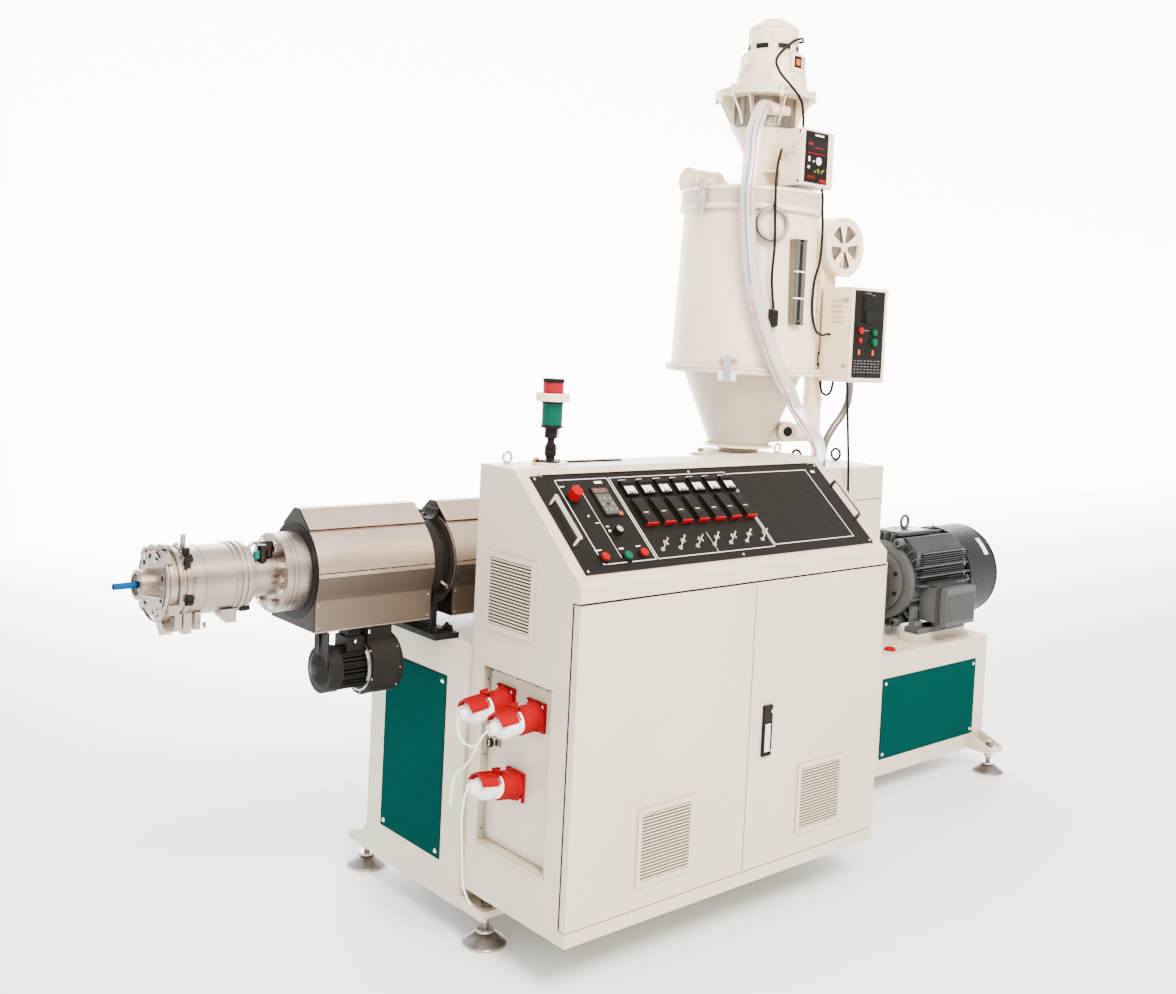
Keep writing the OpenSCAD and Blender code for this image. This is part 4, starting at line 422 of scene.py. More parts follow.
CREAM = PowderCoat("cream_powder_coat", "cream_paint", (0.60, 0.535, 0.43), 0.42, 0.3)
IVORY = PowderCoat("ivory_powder_coat", "cream_paint", (0.90, 0.75, 0.58), 0.4, 0.3)
TEAL = PowderCoat("teal_powder_coat", "teal_paint", (0.0, 0.042, 0.039), 0.45, 0.0, 0.8, coat=0.0)
# Black enamel; also painted shade on the covers' end and inner faces, in bolt holes and in slots.
BLACK_STEEL_AND_SHADE = PowderCoat("black_enamel_and_shade", "black_paint", (0.010, 0.0095, 0.009), 0.42, 0.08, 0.6, coat=0.0)
MOTOR_GREY = PowderCoat("motor_grey_paint", "motor_paint", (0.072, 0.076, 0.082), 0.42, 0.12, 0.5, coat=0.0)
COWL_GREY = PowderCoat("cowl_grey_paint", "cowl_paint", (0.018, 0.019, 0.021), 0.42, 0.1, 0.6, coat=0.0)
PANEL_BLACK = PowderCoat("console_black", "panel_black", (0.0075, 0.0068, 0.0062), 0.4, 0.07, 0.7, 0.00006,
    0.0)
COVER_STEEL = Metal("brushed_cover_steel", "cover_steel", (0.52, 0.41, 0.34), 0.36, 0.5, Axis.X,
    (0.28, 0.21, 0.165))
TURNED = Metal("turned_steel", "machined_steel", (0.38, 0.32, 0.285), 0.33, 0.5, Axis.X, (0.22, 0.18, 0.155),
    0.6)
TINTED = Metal("heat_tinted_steel", "dark_steel", (0.09, 0.08, 0.072), 0.42, 0.5, Axis.X, (0.05, 0.04, 0.03))
STAINLESS = Metal("satin_stainless", "stainless", (0.50, 0.46, 0.42), 0.28, 0.5, Axis.Z, (0.34, 0.31, 0.28))
BRIGHT = Metal("bright_chrome", "bright_metal", (0.72, 0.70, 0.67), 0.16, 0.5, Axis.Z, (0.5, 0.48, 0.45), 0.2,
    0.00002)
CAST = PowderCoat("machined_casting", "cast_metal", (0.11, 0.10, 0.09), 0.5, 0.2, 0.6, 0.0003, 0.0)
# White dials; also the painted highlight on the zone controllers' shiny notch.
WHITE_DIAL_AND_GLINT = Moulded("instrument_white_and_glint", "instrument_plastic", (0.86, 0.85, 0.81), 0.35, 0.3)
RED = Moulded("red_housing", "red_plastic", (0.27, 0.0, 0.004), 0.4, 0.04)
GREEN = Moulded("green_cap", "green_plastic", (0.0, 0.075, 0.042), 0.35, 0.08)
WHITE = Moulded("white_moulding", "white_plastic", (0.93, 0.93, 0.93), 0.38, 0.4)
# Black plastic; also painted shade in the screws' cross recesses and the door lock's key slot.
BLACK = Moulded("black_moulding_and_recess_shade", "black_plastic", (0.008, 0.0078, 0.0076), 0.4, 0.07)
RUBBER = Moulded("lead_sheath", "lead_rubber", (0.009, 0.009, 0.009), 0.5, 0.07)
HOSE = Clear("clear_hose", "hose_plastic", (0.90, 0.87, 0.88), 0.3, 0.5, 0.55, 0.16)
PIPE_BLUE = Moulded("blue_pipe", "pipe_plastic", (0.0, 0.055, 0.20), 0.4, 0.05)
WINDOW = Metal("window_frame_bronze", "window_frame", (0.17, 0.15, 0.13), 0.35, 0.5, Axis.Z,
    (0.22, 0.19, 0.165))
LENS_GREEN = Lamp("green_lens", "lamp_plastic", (0.0, 0.072, 0.046), 0.35, 0.08)
LENS_RED = Lamp("red_lens", "lamp_plastic", (0.32, 0.0, 0.012), 0.35, 0.08)
PANE_DARK = Moulded("dark_window", "instrument_plastic", (0.010, 0.0095, 0.009), 0.2, 0.12)
PANEL_GREY = Moulded("printed_grey", "instrument_plastic", (0.15, 0.145, 0.135), 0.4, 0.2)
RED_STRIP = Moulded("red_strip", "instrument_plastic", (0.24, 0.002, 0.004), 0.3, 0.08)
DISPLAY = Moulded("display_red", "instrument_plastic", (0.10, 0.05, 0.045), 0.25, 0.15)
ORANGE = Moulded("orange_moulding", "instrument_plastic", (0.48, 0.09, 0.004), 0.35, 0.15)
LABEL_GREEN = Moulded("display_green", "instrument_plastic", (0.15, 0.19, 0.02), 0.35, 0.15)
LAMP_RED = Lamp("red_push_lamp", "lamp_plastic", (0.28, 0.0, 0.005), 0.35, 0.08)
LAMP_GREEN = Lamp("green_push_lamp", "lamp_plastic", (0.0, 0.085, 0.035), 0.35, 0.08)
# Dark steel for bolts, rivets and fittings; on the covers' end plates it is painted shade.
DARK_STEEL_AND_END_SHADE = Metal("dark_steel_and_end_shade", "dark_steel", (0.03, 0.025, 0.021), 0.45, 0.5, Axis.Z,
    (0.02, 0.016, 0.013))
RING_STEEL = Metal("brown_ring_steel", "dark_steel", (0.34, 0.28, 0.235), 0.4, 0.5, Axis.Z,
    (0.09, 0.07, 0.06))
BOWL_STEEL = Metal("bowl_steel", "stainless", (0.24, 0.205, 0.17), 0.3, 0.5, Axis.Z, (0.15, 0.125, 0.10))
COWL_DARK = PowderCoat("terminal_grey", "motor_paint", (0.038, 0.041, 0.045), 0.42, 0.12, 0.6, coat=0.0)
TEAL_PLASTIC = Moulded("teal_plug", "green_plastic", (0.0, 0.12, 0.10), 0.35, 0.1)
WIRE_BROWN = Moulded("wire_insulation", "lead_rubber", (0.22, 0.11, 0.055), 0.5, 0.2)
GLASS_GREY = Metal("sight_frame_grey", "window_frame", (0.20, 0.18, 0.165), 0.34, 0.5, Axis.Z,
    (0.28, 0.26, 0.235))
LINE_PINK = Moulded("pink_line", "hose_plastic", (0.62, 0.14, 0.20), 0.4, 0.2)
LINE_BLUE = Moulded("blue_line", "hose_plastic", (0.10, 0.22, 0.50), 0.4, 0.2)
# Painted shade: darker copies of the brushed cover steel, for the lower box and for the curve between the
# seam and the box.
COVER_BOX_SHADE = Metal("painted_shade_cover_box_steel", "cover_steel", (0.175, 0.14, 0.115), 0.42, 0.5, Axis.X,
    (0.18, 0.14, 0.11))
COVER_SHADE = Metal("painted_shade_lower_cover_steel", "cover_steel", (0.115, 0.092, 0.075), 0.42, 0.5, Axis.X,
    (0.10, 0.075, 0.06))
KEY_GREY = Moulded("keypad_grey", "instrument_plastic", (0.062, 0.062, 0.055), 0.4, 0.2)
FOOT_STEEL = Metal("foot_steel", "stainless", (0.20, 0.185, 0.175), 0.34, 0.5, Axis.Z, (0.13, 0.12, 0.11))
# A darker ivory: painted shade on the hopper's cone; the dryer lid takes it too.
DARKER_IVORY_AND_CONE_SHADE = PowderCoat("darker_ivory_and_cone_shade_coat", "cream_paint", (0.60, 0.50, 0.385), 0.4, 0.3)
# A tan disc of painted shade that fills the blower's openings between the spokes.
BLOWER_OPENING_SHADE = Metal("painted_shade_behind_spokes", "dark_steel", (0.30, 0.25, 0.20), 0.5, 0.5, Axis.Y, (0.18, 0.15, 0.12), 0.6)
# Dark joint lines; also painted shade in the door gaps, behind the vents and under lips.
DARK_JOINT_AND_SHADE = Moulded("dark_joint_and_painted_shade", "dark_steel", (0.01, 0.009, 0.008), 0.7, 0.05)


def flipped(back: bool) -> Matrix:
    """Gives the matrix that turns a piece's length around, or leaves it."""
    return Matrix.Diagonal((1, 1, -1 if back else 1, 1))


class Form:
    """A mesh in the making, in the machine's millimetres."""

    def __init__(self, place: Matrix | None = None) -> None:
        """Starts an empty mesh.

        Args:
            place: where its pieces go, as a matrix in millimetres.
        """
        self.mesh = bmesh.new()
        self.place = place or Matrix.Identity(4)
        self.skin = 0

    def add(self, part: bmesh.types.BMesh, turn: Matrix) -> None:
        """Joins a piece to the form, moved by turn and by the form's place.

        Args:
            part: the piece's mesh, which is freed.
            turn: where it goes within the form.
        """
        bmesh.ops.transform(part, matrix=self.place @ turn, verts=part.verts)
        for face in part.faces:
            face.material_index = self.skin
        keep = bpy.data.meshes.new("part")
        part.to_mesh(keep)
        part.free()
        self.mesh.from_mesh(keep)
        bpy.data.meshes.remove(keep)

    def block(self, low: Spot, high: Spot, turn: Matrix | None = None) -> None:
        """Adds a box between two corners.

        Args:
            low: its corner with the smallest coordinates.
            high: its corner with the largest ones.
            turn: where it goes within the form, or None.
        """
        part = bmesh.new()
        bmesh.ops.create_cube(part, size=1.0)
        size = [b - a for a, b in zip(low, high)]
        middle = [(a + b) / 2 for a, b in zip(low, high)]
        bmesh.ops.transform(part, matrix=Matrix.Translation(middle) @ Matrix.Diagonal((*size, 1)),
            verts=part.verts)
        self.add(part, turn or Matrix.Identity(4))

    def blocks(self, *parts: tuple) -> None:
        """Adds several boxes, each given as block takes it."""
        for part in parts:
            self.block(*part)

    def rods(self, *parts: tuple) -> None:
        """Adds several rods, each given as rod takes it."""
        for part in parts:
            self.rod(*part)

    def lathe(self, start: Spot, axis: Axis, profile: list[Flat], sides: int = 32,
            back: bool = False) -> None:
        """Adds a turned piece.

        Args:
            start: the profile's origin on the axis.
            axis: the axis.
            profile: radius and distance along the axis, point by point; it closes on itself where no
                radius is 0.
            sides: number of sides.
            back: whether the piece runs towards the low end of the axis.
        """
        part = bmesh.new()
        rings = []
        for radius, run in profile:
            if radius <= 0:
                rings.append([part.verts.new((0, 0, run))] * sides)
            else:
                rings.append([part.verts.new((radius * math.cos(2 * math.pi * k / sides),
                    radius * math.sin(2 * math.pi * k / sides), run)) for k in range(sides)])
        pairs = list(zip(rings, rings[1:]))
        if profile[0][0] > 0 and profile[-1][0] > 0:
            pairs.append((rings[-1], rings[0]))
        for low, high in pairs:
            for k in range(sides):
                n = (k + 1) % sides
                corners = list(dict.fromkeys((low[k], low[n], high[n], high[k])))
                if len(corners) > 2:
                    part.faces.new(corners)
        bmesh.ops.recalc_face_normals(part, faces=part.faces)
        self.add(part, Matrix.Translation(start) @ axis.turn() @ flipped(back))
        if back:
            bmesh.ops.recalc_face_normals(self.mesh, faces=self.mesh.faces)

    def rod(self, start: Spot, axis: Axis, radius: float, length: float, sides: int = 24,
            round_by: float = 0.0, inner: float = 0.0) -> None:
        """Adds a rod or a ring whose far edge is rounded by a small amount.

        Args:
            start: middle of its near end.
            axis: the way it runs.
            radius: its radius.
            length: its length.
            sides: number of sides.
            round_by: how much of the far edge is taken off.
            inner: radius of its bore, or 0.
        """
        soft = [(radius - round_by, length), (radius, length - round_by)] if round_by else [(radius, length)]
        if inner:
            profile = [(inner, 0), (inner, length), *soft, (radius, 0)]
        else:
            profile = [(0, length), *soft, (radius, 0), (0, 0)]
        self.lathe(start, axis, profile, sides)

    def tube(self, route: list[Spot], radius: float, sides: int = 8) -> None:
        """Adds a round tube along a route, closed at both ends.

        Args:
            route: the points it passes.
            radius: its radius.
            sides: number of sides.
        """
        part = bmesh.new()
        pts = [Vector(p) for p in route]
        side = None
        rings = []
        for i, point in enumerate(pts):
            ahead = (pts[min(i + 1, len(pts) - 1)] - pts[max(i - 1, 0)]).normalized()
            side = side or ahead.orthogonal()
            side = (side - ahead * side.dot(ahead)).normalized()
            other = ahead.cross(side)
            rings.append([part.verts.new(point + radius * (math.cos(2 * math.pi * k / sides) * side
                + math.sin(2 * math.pi * k / sides) * other)) for k in range(sides)])
        for low, high in zip(rings, rings[1:]):
            for k in range(sides):
                part.faces.new((low[k], low[(k + 1) % sides], high[(k + 1) % sides], high[k]))
        part.faces.new(rings[0][::-1])
        part.faces.new(rings[-1])
        self.add(part, Matrix.Identity(4))

    def slab(self, outline: list[Flat], low: float, high: float, axis: Axis = Axis.Z) -> None:
        """Adds a flat piece from its outline.

        Args:
            outline: points in the plane across the axis: Y and Z for X, X and Z for Y, X and Y for Z.
            low: its lower face along the axis.
            high: its upper face.
            axis: the direction of its thickness.
        """
        def lift(point: Flat, run: float) -> Spot:
            """Puts a point of the outline in space."""
            return {Axis.X: (run, *point), Axis.Y: (point[0], run, point[1]), Axis.Z: (*point, run)}[axis]
        part = bmesh.new()
        first = [part.verts.new(lift(p, low)) for p in outline]
        second = [part.verts.new(lift(p, high)) for p in outline]
        part.faces.new(first)
        part.faces.new(second)
        for k in range(len(outline)):
            n = (k + 1) % len(outline)
            part.faces.new((first[k], first[n], second[n], second[k]))
        bmesh.ops.recalc_face_normals(part, faces=part.faces)
        self.add(part, Matrix.Identity(4))

    def screw(self, centre: Spot, axis: Axis, radius: float, back: bool = False) -> None:
        """Adds a domed screw head with a cross of two thin dark bars, which paint the shade of its cross
        recess.

        Args:
            centre: middle of the head's seat.
            axis: the way the screw points out.
            radius: radius of the head.
            back: whether it points to the low end of the axis.
        """
        dome = [(0, radius * 0.5), (radius * 0.5, radius * 0.45), (radius * 0.85, radius * 0.27), (radius, 0),
            (0, 0)]
        self.lathe(centre, axis, dome, 16, back)
        turn = Matrix.Translation(centre) @ axis.turn() @ flipped(back)
        # Painted shade: the cross recess is drawn as two dark bars in the second finish.
        kept, self.skin = self.skin, 1
        for a, b in ((0.55, 0.09), (0.09, 0.55)):
            self.block((-radius * a, -radius * b, radius * 0.36), (radius * a, radius * b, radius * 0.52),
                turn)
        self.skin = kept

    def plain(self, name: str) -> bpy.types.Mesh:
        """Gives the form as smooth shaded mesh data in the frame's metres.

        Args:
            name: name of the data.

        Returns:
            The data; the form is used up.
        """
        for vert in self.mesh.verts:
            vert.co = metres(tuple(vert.co))
        data = bpy.data.meshes.new(name)
        self.mesh.to_mesh(data)
        self.mesh.free()
        for face in data.polygons:
            face.use_smooth = True
        return data

    def finish(self, name: str, finishes: list[Finish] | Finish, edge: float = 0.0, angle: float = 35.0,
            body: str = "machine") -> bpy.types.Object:
        """Makes the object, gives it its finishes and puts it on its body.

        Args:
            name: name of the piece.
            finishes: one finish, or one for each skin.
            edge: radius of its rounded edges in millimetres, or 0.
            angle: edges sharper than this, in degrees, are rounded or kept sharp.
            body: the CAD body that it moves with.

        Returns:
            The object.
        """
        several = finishes if isinstance(finishes, list) else [finishes]
        bmesh.ops.recalc_face_normals(self.mesh, faces=self.mesh.faces)
        data = self.plain(name)
        piece = show(name, data)
        for finish in several:
            data.materials.append(finish.material())
        if edge:
            soften(piece, edge, angle)
        else:
            data.set_sharp_from_angle(angle=math.radians(angle))
        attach(piece, body)
        return piece


def soften(piece: bpy.types.Object, edge: float, angle: float = 35.0, steps: int = 2) -> None:
    """Rounds the sharp edges of a piece.

    Args:
        piece: the piece.
        edge: radius in millimetres.
        angle: edges sharper than this, in degrees, are rounded.
        steps: faces across a rounded edge.
    """
    bevel = piece.modifiers.new("rounded_edges", "BEVEL")
    bevel.width = edge / 1000
    bevel.segments = steps
    bevel.limit_method = "ANGLE"
    bevel.angle_limit = math.radians(angle)
    bevel.use_clamp_overlap = True
    even = piece.modifiers.new("even_shading", "WEIGHTED_NORMAL")
    even.keep_sharp = True


@dataclass(frozen=True)
class Skin:
    """A CAD node shown with welded faces, rounded edges and its own finish."""

    node: str
    finish: Finish
    edge: float = 1.2
    steps: int = 2
    weld: float = 1e-5
    level: float = 0.6
    crease: float = 33.0

    def show(self, frame: dict) -> bpy.types.Object:
        """Makes the node's shown piece, on the same body and in the same place.


        Returns:
            The piece.
        """
        source = frame["nodes"][self.node]
        mesh = bmesh.new()
        mesh.from_mesh(source.data)
        bmesh.ops.remove_doubles(mesh, verts=mesh.verts, dist=self.weld)
        bmesh.ops.dissolve_limit(mesh, angle_limit=math.radians(self.level), verts=mesh.verts,
            edges=mesh.edges)
        data = bpy.data.meshes.new(self.node + "_skin")
        mesh.to_mesh(data)
        mesh.free()
        piece = show(self.node + "_skin", data)
        data.materials.append(self.finish.material())
        for face in data.polygons:
            face.use_smooth = True
        if self.edge:
            soften(piece, self.edge, self.crease, self.steps)
        else:
            data.set_sharp_from_angle(angle=math.radians(self.crease))
        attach(piece, source["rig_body"])
        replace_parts(piece, self.node)
        return piece


@dataclass
class Studio:
    """Camera, floor, wall, air and key light around the machine."""

    eye: Spot = (-2011.7, -2319.0, 1656.0)
    yaw: float = -40.83
    down: float = 2.08
    roll: float = 2.79
    focal: float = 1267.6
    wide: float = 1176.0
    shift: Flat = (1.1, -116.1)
    sensor: float = 36
    clip: Flat = (0.05, 60)
    glow: Flat = (0.0, 8.5)
    reach: float = 60000
    wall: float = 7000
    curve: float = 1500
    wall_top: float = 12000
    key_spot: Spot = (-620, -3660, 5320)
    key_aim: Spot = (700, 300, 1000)
    key_size: float = 2.6
    key_power: float = 1150
    key_tint: Spot = (1.0, 0.88, 0.74)
    air_tint: Spot = (1.0, 0.955, 0.90)
    air_bands: tuple = ((0.0, 0.9, 0.25, 2.6), (0.12, 0.18, 2.2, 0.0))

    def camera(self) -> None:
        """Places the camera where the photograph was taken from."""
        yaw, down, roll = (math.radians(v) for v in (self.yaw, self.down, self.roll))
        ahead = Vector((-math.sin(yaw) * math.cos(down), math.cos(yaw) * math.cos(down), -math.sin(down)))
        level = Vector((math.cos(yaw), math.sin(yaw), 0))
        up = level.cross(ahead)
        right = level * math.cos(roll) + up * math.sin(roll)
        top = up * math.cos(roll) - level * math.sin(roll)
        lens = bpy.data.cameras.new("camera")
        lens.sensor_fit = "HORIZONTAL"
        lens.sensor_width = self.sensor
        lens.lens = self.sensor * self.focal / self.wide
        lens.shift_x, lens.shift_y = -self.shift[0] / self.wide, self.shift[1] / self.wide
        lens.clip_start, lens.clip_end = self.clip
        camera = show("camera", lens)
        place = Matrix((right, top, -ahead)).transposed().to_4x4()
        place.translation = metres(self.eye)
        camera.matrix_world = place
        bpy.context.scene.camera = camera

    def light(self) -> None:
        """Adds the soft square key light, which points at the machine's middle."""
        data = bpy.data.lights.new("key_light", "AREA")
        data.size, data.energy, data.color = self.key_size, self.key_power, self.key_tint
        lamp = show("key_light", data)
        lamp.location = metres(self.key_spot)
        lamp.rotation_mode = "QUATERNION"
        lamp.rotation_quaternion = (metres(self.key_aim) - metres(self.key_spot)).to_track_quat("-Z", "Y")

    def floor(self) -> None:
        """Lays a pale floor that curves up into a pale wall behind the machine."""
        form = Form()
        part = bmesh.new()
        bend = [(self.wall + self.curve * s, self.curve - self.curve * c) for c, s in spokes(10, 0, 10)]
        line = [(-self.reach, 0), *bend, (self.wall + self.curve, self.wall_top)]
        rows = [[part.verts.new((side, y, z)) for y, z in line] for side in (-self.reach, self.reach)]
        for k in range(len(line) - 1):
            part.faces.new((rows[0][k], rows[1][k], rows[1][k + 1], rows[0][k + 1]))
        form.add(part, Matrix.Identity(4))
        data = form.plain("pale_floor")
        floor = show("pale_floor", data)
        nodes = Nodes("pale_floor")
        nodes.drive("Base Color", nodes.mix(nodes.noise(0.6, 2), (0.82, 0.86, 0.90), (0.85, 0.89, 0.93)))
        nodes.set(Roughness=0.7, Specular_IOR_Level=0.2)
        nodes.shader.inputs["Emission Color"].default_value = (1, 1, 1, 1)
        split = nodes.add("ShaderNodeSeparateXYZ")
        nodes.link(nodes.place, split.inputs[0])
        glow = nodes.add("ShaderNodeMath", operation="MULTIPLY")
        nodes.link(nodes.ramp(split.outputs["Y"], (0.6, self.glow[0]), (6.5, self.glow[1])), glow.inputs[0])
        nodes.link(nodes.ramp(split.outputs["X"], (-1.6, 0.06), (0.2, 1.0)), glow.inputs[1])
        nodes.drive("Emission Strength", glow.outputs[0])
        data.materials.append(nodes.material)

    def build(self) -> None:
        """Sets up everything around the machine."""
        self.floor()
        world = bpy.data.worlds.new("pale_room")
        world.use_nodes = True
        tree = world.node_tree
        place = tree.nodes.new("ShaderNodeTexCoord")
        split = tree.nodes.new("ShaderNodeSeparateXYZ")
        both = tree.nodes.new("ShaderNodeMath")
        tree.links.new(place.outputs["Generated"], split.inputs[0])
        for slot, numbers in enumerate(self.air_bands):
            band = tree.nodes.new("ShaderNodeMapRange")
            tree.links.new(split.outputs["Z"], band.inputs[0])
            for index, number in enumerate(numbers):
                band.inputs[index + 1].default_value = number
            tree.links.new(band.outputs[0], both.inputs[slot])
        tree.links.new(both.outputs[0], tree.nodes["Background"].inputs[1])
        tree.nodes["Background"].inputs[0].default_value = (*self.air_tint, 1)
        bpy.context.scene.world = world
        self.light()


@dataclass
class Cords:
    """The clear suction hose, the grey conduit, the black leads and the white plug cords."""

    hose_d: float = 50
    conduit_d: float = 26
    lead_d: float = 9
    cord_d: float = 5
    line_d: float = 4.6
    front: Spot = (-2011, -2319, 1656)
    hose: tuple = ((1239.7, 582, 2452), (1226, 582, 2452), (1200, 575, 2446), (1155, 547, 2415),
        (1115, 530, 2350), (1090, 512, 2260), (1064, 498, 2150), (1072, 495, 2020), (1084, 486, 1900),
        (1100, 472, 1800), (1124, 450, 1700), (1160, 410, 1570), (1212, 404, 1500), (1300, 448, 1450),
        (1380, 466, 1390), (1440, 468, 1335), (1468, 474, 1285), (1464, 488, 1240), (1462, 492, 1214),
        (1462, 492, 1201))
    conduit: tuple = ((1655, 500, 1534.6), (1657, 501, 1500), (1652, 504, 1456), (1632, 512, 1410),
        (1604, 522, 1370), (1582, 530, 1330), (1572, 536, 1290), (1570, 538, 1256), (1570, 538, 1226.5))
    leads: tuple = (((1419, 624.4, 2712), (1431, 614, 2712), (1400, 592, 2716), (1335, 582, 2688),
        (1236, 555, 2617), (1226, 533, 2568), (1254, 505, 2522), (1295, 492, 2479), (1309, 490, 2430),
        (1318, 495, 2397), (1318, 495, 2380.7)), ((1267.5, 530, 2310), (1254, 529, 2309), (1215, 500, 2285),
        (1172, 470, 2245), (1145, 450, 2178), (1143, 445, 2078), (1150, 446, 1979), (1149, 450, 1879),
        (1162, 453, 1805), (1169.6, 454.5, 1784), (1169.6, 454.5, 1771)),
        ((1400, 467, 2189.5), (1400, 465.5, 2181), (1400, 462, 2168), (1400, 460, 2150), (1402, 462, 2126),
        (1412, 464, 2055), (1408, 464, 1950), (1366, 449, 1876), (1354, 443, 1780), (1376, 442, 1710),
        (1450, 470, 1694), (1516, 505, 1699), (1534.5, 505, 1699)),
        ((1612, 480, 1534.5), (1616, 474, 1440), (1624, 470, 1330), (1634, 470, 1240), (1645, 470, 1100),
        (1672, 470, 850), (1690, 470, 560), (1690, 470, 531.4)),
        ((1560, 500, 1534.5), (1558, 506, 1500), (1556, 524, 1484), (1554, 546, 1500), (1554, 556, 1560),
        (1554, 556, 1590)))
    tails: tuple = (((-130, 303, 664), (-136, 301, 650), (-136, 296, 628), (-130, 286, 606), (-118, 276, 594),
        (-104, 268, 592), (-92, 262, 600), (-86, 260, 620)),
        ((-130, 174, 663), (-141, 178, 654), (-148, 190, 630), (-150, 206, 600), (-150, 228, 570),
        (-150, 254, 545), (-150, 282, 520), (-150, 294, 480), (-150, 296, 440)),
        ((-130, 247, 494), (-139, 247, 484), (-144, 248, 460), (-146, 250, 420), (-142, 250, 360),
        (-140, 248, 300), (-138, 244, 250), (-128, 238, 216), (-118, 232, 196)))

    def marks(self, line: list[Vector]) -> list[bpy.types.Object]:
        """Draws the coloured lines along the clear hose, on the side that faces the front.

        Args:
            line: the hose's centre line, in metres.

        Returns:
            The lines' curves.
        """
        eye, pieces = metres(self.front), []
        for name, finish, turn, start, end in (("pink", LINE_PINK, -24, 0.06, 0.36),
                ("blue", LINE_BLUE, 14, 0.2, 0.46), ("red", LINE_PINK, 26, 0.48, 0.86)):
            count = len(line) - 1
            part = range(int(start * count), int(end * count))
            curve = bpy.data.curves.new(f"hose_line_{name}", "CURVE")
            curve.dimensions, curve.bevel_depth, curve.bevel_resolution = "3D", self.line_d / 2000, 2
            spline = curve.splines.new("POLY")
            spline.points.add(len(part) - 1)
            for point, k in zip(spline.points, part):
                along = (line[k + 1] - line[k]).normalized()
                toward = (eye - line[k]) - along * along.dot(eye - line[k])
                toward = Matrix.Rotation(math.radians(turn), 3, along) @ toward.normalized()
                point.co = (*(line[k] + toward * (self.hose_d / 2000)), 1)
            piece = show(curve.name, curve)
            curve.materials.append(finish.material())
            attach(piece, "machine")
            pieces.append(piece)
        return pieces

    def lay(self, name: str, route: tuple, width: float, finish: Finish,
            body: str = "machine",
            lined: bool = False) -> bpy.types.Object:
        """Lays one cord as a curve along its route.

        Args:
            name: name of the piece.
            route: points in machine millimetres.
            width: its diameter.
            finish: its finish.
            body: the body it leaves.
            lined: whether coloured lines run along it.

        Returns:
            The curve.
        """
        line = [metres(p) for p in smooth_line(list(route))]
        curve = bpy.data.curves.new(name, "CURVE")
        curve.dimensions = "3D"
        curve.bevel_depth = width / 2000
        curve.bevel_resolution = 5
        curve.use_fill_caps = True
        spline = curve.splines.new("POLY")
        spline.points.add(len(line) - 1)
        for point, spot in zip(spline.points, line):
            point.co = (*spot, 1)
        spline.use_smooth = True
        piece = show(name, curve)
        curve.materials.append(finish.material())
        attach(piece, body)
        self.marks(line) if lined else ()
        return piece

    def build(self) -> None:
        """Lays every cord, most of them in a CAD node's place, and builds the temperature probe's block."""
        hose = self.lay("suction_hose_run", self.hose, self.hose_d, HOSE, lined=True)
        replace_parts(hose, "suction_hose")
        self.lay("grey_conduit", self.conduit, self.conduit_d, GLASS_GREY)
        for index, route in enumerate(self.leads):
            lead = self.lay(f"lead_run_{index + 1}", route, self.lead_d, RUBBER)
            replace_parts(lead, "leads")
        probe = Form(turned((1282, 680, 0), -116.5))
        probe.block((229, -13, 1710), (250, 13, 1770))
        probe.slab([(250, 1710), (271, 1716), (271, 1764), (250, 1770)], -12, 12, Axis.Y)
        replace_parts(probe.finish("probe_block", RUBBER, 1.5), "leads")
        for index, route in enumerate(self.tails):
            tail = self.lay(f"plug_cord_{index + 1}", route, self.cord_d, WHITE,
                body=f"plug_{index + 1}")
            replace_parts(tail, f"cord_{index + 1}")


SLOPE = math.atan2(259, 293)
ON_SLOPE = Matrix.Translation((0, 0, 1038)) @ Matrix.Rotation(SLOPE, 4, "X")


